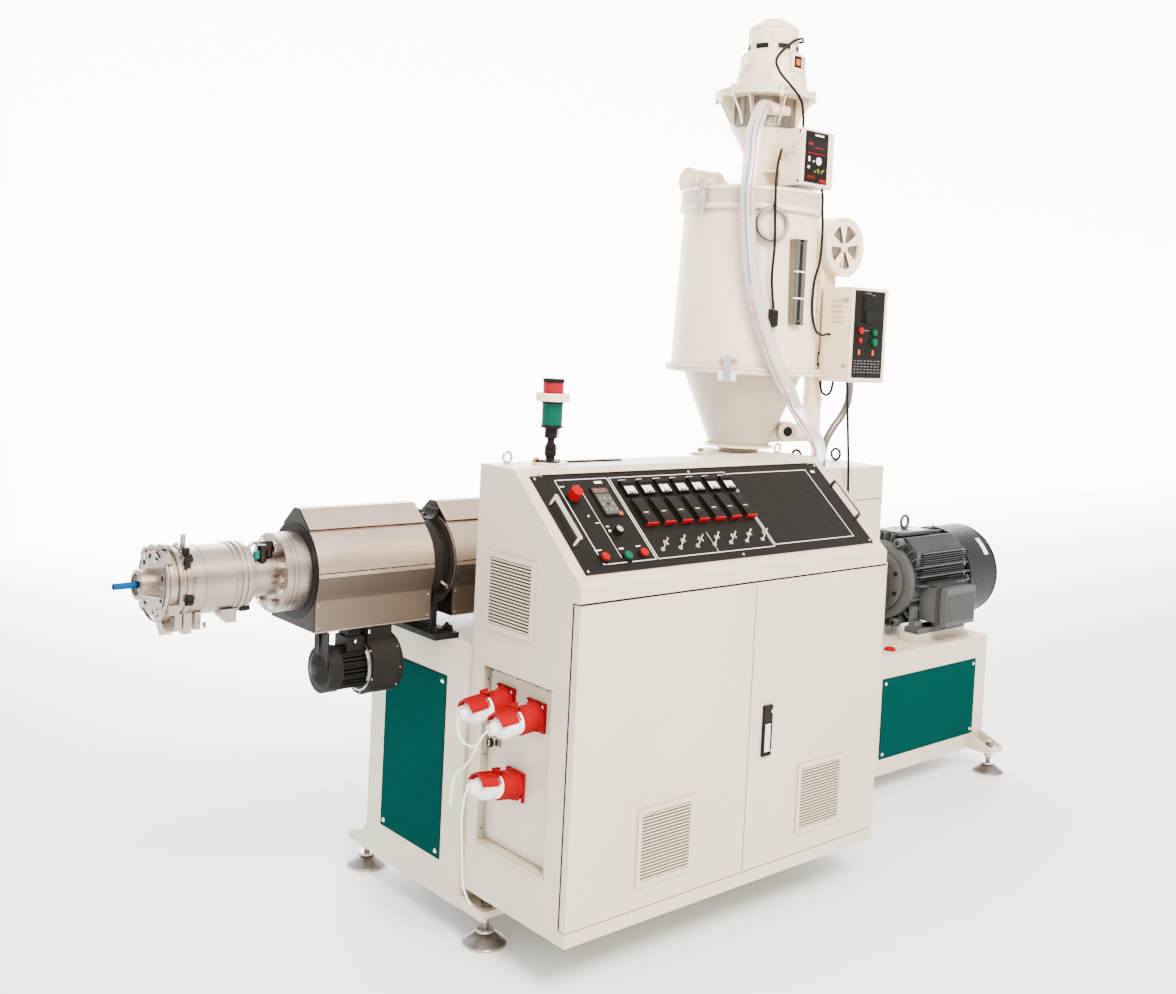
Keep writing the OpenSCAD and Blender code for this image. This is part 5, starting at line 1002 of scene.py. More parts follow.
@dataclass
class Console:
    """The sloping console: framed fields, meters, zone controllers, toggles and buttons."""

    face: float = 4.3
    first: float = 341
    pitch: float = 65.7
    count: int = 7
    meter: Flat = (45, 52)
    meter_y: float = 297
    unit: Flat = (42, 93)
    unit_y: float = 211
    toggle_y: float = 97
    toggle_rise: float = 22

    def fields(self) -> None:
        """Draws the thin white frames around the groups and the bare strips."""
        form = Form(ON_SLOPE)
        low, high = self.face - 0.2, self.face + 0.35
        for x0, y0, x1, y1 in ((107, 59, 290, 342), (298, 59, 757, 342), (765, 65, 1125, 335)):
            for a, b, c, d in ((x0, y0, x1, y0), (x0, y1, x1, y1), (x0, y0, x0, y1), (x1, y0, x1, y1)):
                form.block((a - 0.9, b - 0.9, low), (c + 0.9, d + 0.9, high))
        form.blocks(((176, 75, low), (177, 322, high)), ((527, 62, low), (528, 130, high)))
        for i in range(self.count):
            x = self.first + i * self.pitch
            form.block((x - 13, 329.5, low), (x + (9 if i % 2 else 13), 332.5, high))
        for x, y, w, h in ((112, 318, 15, 3), (238, 324, 26, 8), (104, 103, 22, 3), (186, 101, 15, 4),
                (246, 104, 16, 3), (148, 214, 5, 5), (160, 190, 12, 2.5), (188, 176, 9, 3), (188, 160, 7, 6),
                (1146, 322, 17, 9)):
            form.block((x, y, low), (x + w, y + h, high))
        form.finish("field_frames", WHITE, body="console")

    def corners(self) -> None:
        """Screws the panel down at its corners."""
        form = Form(ON_SLOPE)
        for x in (46, 615, 1184):
            for y in (44, 351):
                form.screw((x, y, self.face), Axis.Z, 4)
        form.finish("panel_screws", [BRIGHT, BLACK], body="console")

    def meters(self) -> None:
        """Builds the seven panel meters with their dials, scales and needles."""
        case, dial = Form(ON_SLOPE), Form(ON_SLOPE)
        w, h = self.meter[0] / 2, self.meter[1] / 2
        for i in range(self.count):
            x, y, z = self.first + i * self.pitch, self.meter_y, self.face
            case.block((x - w, y - h, z), (x + w, y + h, z + 3))
            for a, b, c, d in ((-w, -h, w, -h + 4), (-w, h - 12, w, h), (-w, -h, -w + 3, h),
                    (w - 3, -h, w, h)):
                case.block((x + a, y + b, z + 2), (x + c, y + d, z + 11))
            case.block((x - w + 3, y + h - 20, z + 2), (x + w - 3, y + h - 12, z + 8))
            dial.block((x - w + 3.4, y - h + 4, z + 3), (x + w - 3.4, y + h - 20, z + 7.6))
            dial.skin = 1
            for k in range(9):
                a = math.radians(135 - k * 11.25)
                c, s = math.cos(a), math.sin(a)
                turn = Matrix.Translation((x + 21 * c, y - 17 + 21 * s, z + 7.6)) @ Matrix.Rotation(a, 4, "Z")
                dial.block((0, -0.35, -0.2), (4 if k % 4 == 0 else 2.4, 0.35, 0.25), turn)
            needle = math.radians(128 - 9 * (i % 3))
            turn = Matrix.Translation((x, y - 17, z + 8.1)) @ Matrix.Rotation(needle, 4, "Z")
            dial.block((0, -0.4, -0.3), (22, 0.4, 0.3), turn)
            for a, b in ((-10, 5), (-2, 6), (8, 5)):
                dial.block((x + a, y - h + 5, z + 7.4), (x + a + b, y - h + 12, z + 9))
            dial.skin = 0
        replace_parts(case.finish("meter_cases", BLACK, 0.7, body="console"), "instruments")
        dial.finish("meter_dials", [WHITE_DIAL_AND_GLINT, BLACK], body="console")

    def units(self) -> None:
        """Builds the tall zone controllers, each with a window, a thin white strip of painted highlight
        beside it and a red strip at its lower end.
        """
        case = Form(ON_SLOPE)
        w, h = self.unit[0] / 2, self.unit[1] / 2
        for i in range(self.count):
            x, y, z = self.first + i * self.pitch, self.unit_y, self.face
            case.skin = 0
            case.slab([(x - w, y - h), (x + w, y - h), (x + w, y + h), (x - w, y + h)], z, z + 4)
            part = [(y - h, z + 3), (y - h, z + 15), (y - h + 9, z + 17), (y + h - 16, z + 13),
                (y + h, z + 9), (y + h, z + 3)]
            case.slab(part, x - w + 1.5, x + w - 1.5, Axis.X)
            case.skin = 1
            case.slab([(y - h - 1, z + 3.5), (y - h - 1, z + 15.6), (y - h + 3.4, z + 16.4),
                (y - h + 3.4, z + 3.5)], x - w + 1, x + w - 1, Axis.X)
            case.skin = 2
            case.slab([(y - h + 26, z + 15.9), (y - h + 26, z + 16.6), (y - h + 36, z + 15.9),
                (y - h + 36, z + 15)], x - 12, x + 9, Axis.X)
            # Painted highlight: a thin white strip stands for the shine on the notch beside the window.
            case.skin = 3
            case.slab([(y - h + 38, z + 15.1), (y - h + 38, z + 15.7), (y - h + 40, z + 15.5),
                (y - h + 40, z + 14.9)], x - 11, x + 6, Axis.X)
        case.finish("zone_controllers", [BLACK, RED_STRIP, PANE_DARK, WHITE_DIAL_AND_GLINT], 0.8, body="console")

    def toggles(self) -> None:
        """Builds two rows of chrome toggle switches with their nuts and bats."""
        form = Form(ON_SLOPE)
        for i in range(self.count):
            for row in (0, 1):
                side = row * 2 - 1
                x = self.first + i * self.pitch + side * self.meter[0] / 4
                y = self.toggle_y + side * self.toggle_rise / 2
                form.lathe((x, y, self.face), Axis.Z, [(3, 0), (3, 4.2), (6.5, 4.2), (7.5, 3), (7.5, 0)], 6)
                form.rod((x, y, self.face), Axis.Z, 4, 7, 16, 0.8)
                lean = (side * -17 - 3, -20 * side - 3 + 4 * (i % 2), 19)
                tip = (x + lean[0], y + lean[1], self.face + 6 + lean[2])
                middle = (x + lean[0] * 0.5, y + lean[1] * 0.5, self.face + 6 + lean[2] * 0.5)
                form.tube([(x, y, self.face + 6), middle, tip], 2.3, 10)
                form.rod((tip[0], tip[1], tip[2] - 2.4), Axis.Z, 2.8, 4.8, 12, 1.5)
        form.finish("toggle_switches", BRIGHT, 0, 40, body="console")

    def keypad(self) -> None:
        """Builds the frequency drive's keypad with its display and keys."""
        form = Form(ON_SLOPE)
        z = self.face
        form.block((205, 209, z), (265, 307, z + 6))
        form.skin = 1
        form.block((209, 287, z + 5.6), (261, 303, z + 6.5))
        form.skin = 2
        form.block((210, 214, z + 5.6), (260, 283, z + 6.6))
        form.skin = 3
        form.slab([(249, 208.6), (265.4, 208.6), (265.4, 221)], z + 4, z + 7, Axis.Z)
        form.skin = 4
        for x, y, w, h in ((215, 292, 9, 1.4), (215, 298, 9, 1.4), (228, 291, 1.4, 9), (234, 291, 9, 1.4),
                (248, 292, 1.4, 8)):
            form.block((x, y, z + 6.4), (x + w, y + h, z + 6.8))
        for k in range(9):
            x, y = 217 + 17 * (k % 3), 228 + 19 * (k // 3)
            form.rod((x, y, z + 6.4), Axis.Z, 5.2 if k % 2 else 4, 1.3, 18, 0.5)
        form.skin = 0
        form.rod((234, 247, z + 6.4), Axis.Z, 4, 2.2, 18, 0.5)
        form.finish("drive_keypad", [BLACK, DISPLAY, KEY_GREY, ORANGE, PANEL_GREY], 0.5, body="console")

    def buttons(self) -> None:
        """Adds black collars around the buttons, and a ribbed grip with a bright end to the speed knob."""
        rings = Form(ON_SLOPE)
        for x, y, d in ((130, 278, 34), (118, 77, 24), (195, 74, 24), (253, 78, 24)):
            rings.rod((x, y, self.face), Axis.Z, d / 2 + 6.2, 2.2, 32, 0.8, d / 2 + 3.6)
        rings.finish("button_collars", BLACK, 0.3, body="console")
        knob = Form(ON_SLOPE)
        for c, s in spokes(20):
            knob.rod((212 + 12.1 * c, 155 + 12.1 * s, self.face + 3), Axis.Z, 0.9, 13, 6)
        knob.skin = 1
        knob.rod((212, 155, self.face + 16.2), Axis.Z, 9.5, 1.2, 28, 0.5)
        knob.block((211, 155, self.face + 17), (213, 166, self.face + 18.2))
        knob.finish("speed_knob_grip", [BLACK, BRIGHT], body="speed_knob")

    def trim(self) -> None:
        """Gives the hinge strip above the panel the cabinet's colour."""
        piece = bpy.data.objects["console_panel_skin"]
        piece.data.materials.append(CREAM.material())
        back = (Matrix.Translation((-MIDDLE_X, -MIDDLE_Y, 0)) @ ON_SLOPE).inverted()
        for face in piece.data.polygons:
            if (back @ (Vector(face.center) * 1000)).y > 361.6:
                face.material_index = 1

    def build(self) -> None:
        """Builds the whole console face."""
        self.trim()
        self.fields()
        self.corners()
        self.meters()
        self.units()
        self.toggles()
        self.keypad()
        self.buttons()


@dataclass
class Cabinet:
    """Small parts of the cabinet: lock barrel, painted shadow in the door gaps, painted shade behind the
    vents, screws and recess trim.
    """

    width: float = 1235
    split: float = 643

    def doors(self) -> None:
        """Adds the handle's key barrel with its slot painted dark as shade, strips of painted shadow in the
        doors' gaps, sheets of painted shade behind the vents and a strip of painted shadow under the recess's
        top lip.
        """
        handle = Form()
        handle.rod((731, -8.4, 622), Axis.Y, 6.5, 2, 20)
        # Painted shade: a dark bar stands for the key slot.
        handle.skin = 1
        handle.block((730.2, -8.9, 617), (731.8, -6.5, 627))
        handle.skin = 0
        handle.rod((731, -9, 510), Axis.Y, 4, 2, 16)
        handle.finish("door_lock_barrel", [BRIGHT, BLACK], 0.3, body="right_door")
        # Painted shadow: dark strips fill the gaps around and between the doors.
        gap_shade = Form()
        gap_shade.blocks(((self.split - 1.1, 0.3, 181), (self.split + 1.1, 2, 991)),
            ((0.5, -0.5, 993.3), (self.width - 0.5, 1, 998)))
        for x, out in ((0, -0.3), (self.width, 0.3)):
            gap_shade.blocks(((min(x, x + out), 24.2, 181), (max(x, x + out) + 0.4, 27.6, 996)),
                ((min(x, x + out), 0, 993.3), (max(x, x + out) + 0.4, 24.2, 996.4)))
        gap_shade.finish("door_seal", DARK_JOINT_AND_SHADE)
        # Painted shade: dark sheets behind the door vents.
        for x, body in ((229, "left_door"), (862, "right_door")):
            shade = Form()
            shade.block((x + 14, -0.5, 249), (x + 192, 0.2, 427))
            shade.finish(f"{body}_vent_painted_shade", DARK_JOINT_AND_SHADE, body=body)
        # Painted shade behind the side vent, and a strip of painted shadow under the recess's top lip.
        shade = Form()
        shade.blocks(((-0.5, 192, 879), (0.2, 370, 1057)), ((-0.7, 91, 759.7), (0.3, 379, 762)))
        shade.finish("side_vent_painted_shade", DARK_JOINT_AND_SHADE)

    def panels(self) -> None:
        """Adds the screws and the lips of the recess in the left side sheet."""
        form = Form()
        for y in (118, 165, 245, 325, 355):
            form.screw((9, y, 755), Axis.Z, 3.4, True)
        for z in (320, 520, 725):
            form.screw((10, 373, z), Axis.X, 3, True)
        form.finish("recess_screws", [BLACK_STEEL_AND_SHADE, BLACK])
        lips = Form()
        for low, high in (((-1.4, 89, 288), (0.4, 91.5, 765)), ((-1.4, 378.5, 288), (0.4, 381, 765)),
                ((-1.4, 89, 762), (0.4, 381, 765)), ((-1.4, 89, 288), (0.4, 381, 291))):
            lips.block(low, high)
        lips.block((-4, 89, 283), (0.4, 381, 286))
        lips.finish("recess_trim", CREAM, 0.5)

    def build(self) -> None:
        """Builds the cabinet's small parts."""
        self.doors()
        self.panels()


@dataclass
class Sockets:
    """Red power sockets with lids, white plugs and the lock of their panel."""

    spots: tuple = ((303, 683, 7), (174, 676, 5), (247, 475, -7))
    face: float = 22
    radius: float = 35
    length: float = 64

    def place(self, index: int) -> Matrix:
        """Gives the place of a socket, whose axis comes out of the cabinet's side."""
        y, z, tilt = self.spots[index]
        return turned((self.face, y, z), -tilt, Axis.Y) @ Matrix.Diagonal((-1, 1, 1, 1))

    def housings(self) -> None:
        """Adds collars, ribs, hinge pins and flange screws to the sockets."""
        for i in range(len(self.spots)):
            form = Form(self.place(i))
            form.rod((self.length - 7, 0, 0), Axis.X, self.radius + 1.8, 6, 40, 0.8, self.radius - 3.6)
            form.lathe((0, 0, 0), Axis.X, [(self.radius - 1, 8), (self.radius + 5, 8), (self.radius + 5, 12),
                (self.radius - 1, 17)], 40)
            for c, s in spokes(10, 200, 15):
                form.rod((14, (self.radius + 0.2) * c, (self.radius + 0.2) * s), Axis.X, 1.1, 42, 8)
            form.finish(f"socket_collar_{i + 1}", RED, 0.4, body="socket_panel")
            pins = Form(self.place(i))
            for y in (-31, 31):
                for z in (-31, 31):
                    pins.skin = 0
                    pins.screw((8, y, z), Axis.X, 4.6)
            pins.skin = 1
            for side in (-1, 1):
                pins.rod((70, side * 16.6 - 1, 38), Axis.Y, 3.4, 2, 14)
            pins.finish(f"socket_screws_{i + 1}", [BRIGHT, BLACK], body="socket_panel")

    def lids(self) -> None:
        """Adds the raised rim, ribs and catch to each lid."""
        for i in range(len(self.spots)):
            form = Form(self.place(i))
            part = [(36.6, 79), (38.6, 81), (38.6, 126), (36.6, 128)]
            for c, s in spokes(5, 60, 15):
                form.tube([(run, (r - 0.6) * c, (r - 0.6) * s) for r, run in part], 1.2, 6)
            for run, r in ((77.2, 36.4), (127.4, 35.4)):
                form.tube([(run, r * c, r * s) for c, s in spokes(14, 25, 10)], 1.9, 8)
            form.block((126, -7, 33), (133, 7, 37.5))
            form.finish(f"lid_ribs_{i + 1}", RED, 0.4, body=f"socket_lid_{i + 1}")

    def plugs(self) -> None:
        """Adds grip rings, ribs and the cable gland to each plug."""
        for i in range(len(self.spots)):
            form = Form(self.place(i))
            for u in (104, 107):
                form.rod((u, 0, 0), Axis.X, 32.1, 1.6, 40, 0.5, 30)
            for c, s in spokes(16):
                form.tube([(111, 31 * c, 31 * s), (122, 26.5 * c, 26.5 * s), (134, 17.5 * c, 17.5 * s)], 1.5,
                    6)
            form.rods(((136, 0, 0), Axis.X, 15.5, 9, 8, 1), ((145, 0, 0), Axis.X, 12, 8, 24, 2))
            form.finish(f"plug_grip_{i + 1}", WHITE, 0.5, body=f"plug_{i + 1}")

    def panel(self) -> None:
        """Adds the lock's plate and key slot, a bare small plate and corner screws to the socket panel."""
        form = Form()
        form.block((20.6, 318, 551), (22.4, 342, 569))
        form.skin = 1
        form.rod((2, 346, 560), Axis.X, 12.2, 8, 28, 1)
        form.skin = 2
        form.block((1.2, 344.8, 552), (2.4, 347.2, 568))
        form.skin = 1
        form.rod((9.5, 346, 560), Axis.X, 8, 13, 20)
        form.block((14, 334, 553), (20, 345, 567))
        form.skin = 3
        for y, z in ((104, 305), (104, 748), (366, 305), (366, 748)):
            form.screw((22, y, z), Axis.X, 3.4, True)
        form.finish("socket_panel_lock", [PANEL_GREY, BLACK, BRIGHT, STAINLESS], 0.3, body="socket_panel")

    def build(self) -> None:
        """Builds the socket group."""
        self.housings()
        self.lids()
        self.plugs()
        self.panel()


@dataclass
class BarrelCovers:
    """Brushed covers over the heaters with painted shade on their lower and inner faces, end plates painted
    dark as shade, and the barrel's black saddles.
    """

    left: float = -412
    pitch: float = 425
    lengths: tuple = (353, 353, 353, 333)
    round_r: float = 133
    box_half: float = 120

    def outline(self, inset: float = 0) -> list[Flat]:
        """Gives the cover's section, as Y and Z.

        Args:
            inset: how far it lies inside the sheet.

        Returns:
            Its corners, in order.
        """
        half = [(17, 165), (74, 117)]
        half += [around(self.round_r, 60 - k * 8, 0, 0) for k in range(11)]
        half += [(self.box_half, -62), (self.box_half, -144)]
        inner = [(y - inset, BARREL_Z + z - inset * (1 if z > 0 else -1)) for y, z in half]
        return [(BARREL_Y + y, z) for y, z in inner] + [(BARREL_Y - y, z) for y, z in reversed(inner)]

    def ends(self) -> None:
        """Adds end plates painted dark as shade over the covers' ends, paints shade on the covers' lower and
        inner faces, and adds a black insulating ring.
        """
        plates, rings = Form(), Form()
        for i, length in enumerate(self.lengths):
            x = self.left + i * self.pitch
            # Painted shade: dark plates over both ends of each cover.
            plates.slab(self.outline(3), x - 1.2, x + 1.5, Axis.X)
            plates.slab(self.outline(3), x + length - 1.5, x + length + 1.2, Axis.X)
            if not i:
                rings.rod(on_axis(x - 3), Axis.X, 127, 3.6, 64, 1, 96)
        plates.finish("cover_end_shade_plates", DARK_STEEL_AND_END_SHADE, 0.5)
        skin = bpy.data.objects["heater_covers_skin"]
        for finish in (COVER_SHADE, COVER_BOX_SHADE, BLACK_STEEL_AND_SHADE):
            skin.data.materials.append(finish.material())
        # Painted shade: the curve between the seam and the box and the lower box take darker copies of the
        # cover steel, and the end faces and the underside near the barrel take black.
        for face in skin.data.polygons:
            z, side = face.center.z * 1000, abs(face.center.y * 1000 + MIDDLE_Y - BARREL_Y)
            if abs(face.normal.x) > 0.7 or side < 100 and z < 1000:
                face.material_index = 3
            elif z < 1008:
                face.material_index = 2 if z < 944 else 1
        rings.finish("insulating_rings", BLACK_STEEL_AND_SHADE, 0.8)

    def seams(self) -> None:
        """Adds the lap seams with dark joint lines, their screws, and the folded edge of the lower box with a
        strip of painted shadow under its lip, on both sides.
        """
        lap, screws, joint_lines_and_lip_shade = Form(), Form(), Form()
        for i, length in enumerate(self.lengths):
            x = self.left + i * self.pitch
            for side in (-1, 1):
                low, high = (around(self.round_r + 0.4, turn, 0, 0) for turn in (174.6, 175.7))
                rim = [(BARREL_Y - side * y * share, BARREL_Z + z) for (y, z), share in ((low, 1), (high, 1),
                    (high, 0.98), (low, 0.98))]
                joint_lines_and_lip_shade.slab(rim, x + 1, x + length - 1, Axis.X)
                # Painted shadow: a dark strip right under the fold's lip.
                edge = BARREL_Y + side * (self.box_half + 0.9)
                joint_lines_and_lip_shade.block((x + 1, edge - 0.7, 943), (x + length - 1, edge + 0.7, 945))
                y = BARREL_Y + side * self.box_half
                for out, low_z, high_z in ((1.6, 945, 947.5), (1.2, 856.4, 859)):
                    lap.block((x + 1, min(y, y + side * out), low_z),
                        (x + length - 1, max(y, y + side * out), high_z))
                for k in range(6):
                    screws.screw((x + 14 + k * (length - 28) / 5, BARREL_Y + side * 132.4, 1012), Axis.Y, 2.2,
                        side < 0)
                for cx in (x + 9, x + length - 9):
                    for cz in (868, 926):
                        screws.screw((cx, y, cz), Axis.Y, 2.6, side < 0)
            for k in range(4):
                screws.screw((x + 20 + k * (length - 40) / 3, BARREL_Y, 1165), Axis.Z, 2.6)
        lap.finish("cover_laps", COVER_STEEL, 0.3)
        joint_lines_and_lip_shade.finish("cover_joints_and_lip_shade", DARK_JOINT_AND_SHADE)
        screws.finish("cover_screws", [STAINLESS, BLACK])

    def saddles(self) -> None:
        """Adds the black clamp bands, the U-shaped saddles and their bolts, and the stands' foot bolts."""
        black, metal, rings = Form(), Form(), Form()
        for i in range(3):
            x = self.left + i * self.pitch + self.lengths[i]
            black.rods((on_axis(x + 2), Axis.X, 124, 34, 64, 1.5, 60),
                (on_axis(x + 36), Axis.X, 104, 30, 64, 1.5, 60))
            u = [(x + 36 + 26 * c, 1144 + 26 * s) for c, s in spokes(13, 180, 15)]
            black.slab([(x + 4, 1088), (x + 4, 1150), *u, (x + 68, 1150), (x + 68, 1088)], 640, 700, Axis.Y)
            black.block((x + 8, 655, 1075), (x + 62, 700, 1095))
            rings.rod(on_axis(x + 67.2), Axis.X, 131, 3.4, 72, 1, 98)
            metal.tube([(x + 24, 574, 966), (x + 50, 562, 944)], 3.4, 10)
            metal.rod((x + 46, 561, 940), Axis.X, 7, 7, 6, 1)
            metal.skin = 1
            metal.rods(((x + 30, 652, 1130), Axis.Y, 6, 4, 6, 1), ((x + 14, 650, 1108), Axis.Y, 5, 4, 6, 1))
            metal.skin = 0
        black.finish("barrel_saddles", BLACK_STEEL_AND_SHADE, 1)
        metal.finish("saddle_bolts", [STAINLESS, BLACK_STEEL_AND_SHADE], 0.4)
        rings.finish("cover_rings", RING_STEEL, 0.5)
        base = Form()
        for i in range(3):
            x = self.left + i * self.pitch + 389
            for dx in (-26, 26):
                for y in (548, 572):
                    base.lathe((x + dx, y, 818), Axis.Z, [(0, 9), (8, 9), (8, 0), (0, 0)], 6)
                    base.rod((x + dx, y, 818), Axis.Z, 4.4, 17, 14, 1)
            base.block((x - 9, 560, 818), (x + 34, 584, 826))
            base.slab([(x + 8, 826), (x + 22, 842), (x + 36, 826)], 556, 566, Axis.Y)
        base.finish("stand_bolts", BLACK_STEEL_AND_SHADE, 0.5)

    def build(self) -> None:
        """Builds what dresses the barrel."""
        self.ends()
        self.seams()
        self.saddles()


@dataclass
class Die:
    """The pipe die: front ring, straps, lugs, bolts and the pressure sensor."""

    ring_x: float = -796
    nose_x: float = -834.6
    strap_x: float = -741
    flange_x: float = -484
    sensor_at: Flat = (-566, 640)

    def ring(self) -> None:
        """Builds the front ring's rim, bolt holes painted dark as shade, tabs, stub and thin wing plates."""
        body, dark = Form(), Form()
        # Painted shade: dark discs in the ring's bolt holes.
        for degrees in (112, 160, 208, 256, 304, 352, 40, 76):
            dark.rod((self.ring_x - 0.4, *around(67, degrees)), Axis.X, 6.4, 3, 20, 0, 1)
        body.lathe(on_axis(self.ring_x), Axis.X, [(88, 1), (90, 1), (94.6, 5), (94.6, 9), (88, 9)], 64)
        for degrees, reach in ((205, 112), (242, 128)):
            tab = [around(radius, degrees + turn) for radius, turn in ((84, 0), (reach, -6), (reach, 9),
                (84, 24))]
            body.slab(tab, self.ring_x + 8, self.ring_x + 34, Axis.X)
        body.block((-800, 650, 1088), (-764, 688, 1096))
        body.rod((-789, 652, 1088), Axis.Z, 6, 12, 16, 1)
        body.finish("die_ring_lobes", TURNED, 0.8)
        dark.finish("die_ring_hole_shades", BLACK_STEEL_AND_SHADE, 0.2)
        plate = Form()
        plate.slab([(-832, 654), (-802, 616), (-797, 597), (-808, 592), (-826, 626)], 978, 983, Axis.Z)
        plate.slab([(650, 880), (640, 920), (634, 922), (642, 878)], -786, -776, Axis.X)
        plate.finish("die_wings", STAINLESS, 0.5)

    def nose(self) -> None:
        """Adds the rings around the nose's mouth and the blue pipe, and two holes on its side painted dark as
        shade.
        """
        form = Form()
        form.rod(on_axis(self.nose_x), Axis.X, 34, 2, 40, 0.8, 27)
        form.skin = 1
        form.rods((on_axis(self.nose_x + 1.2), Axis.X, 27.2, 0.8, 40, 0, 22.5),
            (on_axis(self.nose_x + 0.4), Axis.X, 9.6, 3, 24, 0, 8.1))
        # Painted shade: two dark dots stand for holes in the nose's side.
        for y, z in (around(36.4, 150), around(36.4, 200)):
            form.rod((-820, y - 0.8, z), Axis.Y, 2, 2, 10)
        form.finish("die_nose_detail", [TURNED, BLACK_STEEL_AND_SHADE], 0.3)

    def body(self) -> None:
        """Adds the bands, the clamp strap with its bolts, the lugs and the heater's joints."""
        steel, black = Form(), Form()
        for x, width, radius in ((-757, 7, 88.5), (-741, 12, 90), (-724, 5, 88), (-692, 3, 87.4),
                (-612, 8, 88.6), (-597, 12, 90), (-583, 9, 86.5)):
            steel.rod(on_axis(x), Axis.X, radius, width, 72, 1, 70)
        for k in range(2):
            steel.rod((self.strap_x + k, *around(90, 148 - k * 62)), Axis.X, 5, 12, 12, 1)
        for x0, x1, depth, wide in ((-757, -738, 24, 30), (-733, -712, 34, 24), (-706, -690, 26, 30)):
            steel.block((x0, 640 - wide / 2, 1000 - 88 - depth), (x1, 640 + wide / 2, 930))
        steel.slab([(-640, 930), (-640, 912), (-622, 896), (-604, 898), (-600, 930)], 622, 660, Axis.Y)
        steel.rod((-690, 608, 901), Axis.X, 8, 4, 6, 0.6)
        steel.tube([(-734, 650, 1080), (-734, 646, 1122)], 6.5, 14)
        for degrees in (140, 146):
            y, z = around(96, degrees)
            black.rods(((self.strap_x - 4, y, z), Axis.X, 8.5, 11, 6, 1),
                ((self.strap_x + 3, *around(97, degrees - 8)), Axis.X, 6, 14, 16, 1))
        black.block((-742, 618, 1076), (-728, 634, 1092))
        for degrees in (196, 203):
            black.rod((self.strap_x - 3, *around(94, degrees)), Axis.X, 8, 18, 6, 1.2)
        black.rods(((-722, 590, 1012), Axis.Y, 1.8, 3, 10), ((-722, 590.5, 1022), Axis.Y, 1.8, 3, 10))
        black.block((-588, 620, 921), (-572, 640, 941))
        black.rod((-570, 632, 926), Axis.X, 7, 10, 12, 1)
        steel.finish("die_bands", TURNED, 0.8)
        black.finish("die_strap_bolts", BLACK_STEEL_AND_SHADE, 0.6)

    def sensor(self) -> None:
        """Builds the pressure sensor on the neck, its teal plug and the dark adaptor behind it."""
        form = Form()
        form.rods(((*self.sensor_at, 1044), Axis.Z, 9, 26, 18, 2),
            ((*self.sensor_at, 1066), Axis.Z, 12, 8, 6, 1))
        form.tube([(*self.sensor_at, 1072), (-562, 640, 1082), (-552, 642, 1088), (-540, 646, 1086)], 5, 12)
        form.skin = 1
        form.rod((-548, 628, 1050), Axis.Z, 8.4, 20, 18, 2)
        form.skin = 2
        form.rods(((-526, 640, 1040), Axis.Z, 12, 34, 20, 2), ((-526, 640, 1070), Axis.Z, 15, 12, 6, 1.5),
            ((-505, 646, 1050), Axis.Z, 9, 40, 16, 2))
        form.finish("melt_sensor", [STAINLESS, TEAL_PLASTIC, DARK_STEEL_AND_END_SHADE], 0.3)

    def flange(self) -> None:
        """Adds the bolt heads with their washers, and the joints and the collar of the two flanges."""
        form = Form()
        for degrees in range(2, 360, 60):
            y, z = around(81, degrees)
            form.lathe((self.flange_x, y, z), Axis.X, [(0, 13), (8.6, 13), (10.5, 11), (10.5, 0), (0, 0)], 6,
                True)
            form.rod((self.flange_x - 1.5, y, z), Axis.X, 13.5, 1.6, 24, 0.4)
        form.skin = 1
        form.rods((on_axis(-465.4), Axis.X, 103.5, 1.6, 72, 0, 90),
            (on_axis(-453), Axis.X, 103.4, 1.2, 72, 0, 95))
        form.skin = 0
        form.rod(on_axis(self.flange_x - 0.6), Axis.X, 66, 3, 56, 1, 50)
        form.finish("flange_bolts", [TURNED, BLACK_STEEL_AND_SHADE], 0.6)

    def build(self) -> None:
        """Builds the die's details."""
        self.ring()
        self.nose()
        self.body()
        self.sensor()
        self.flange()


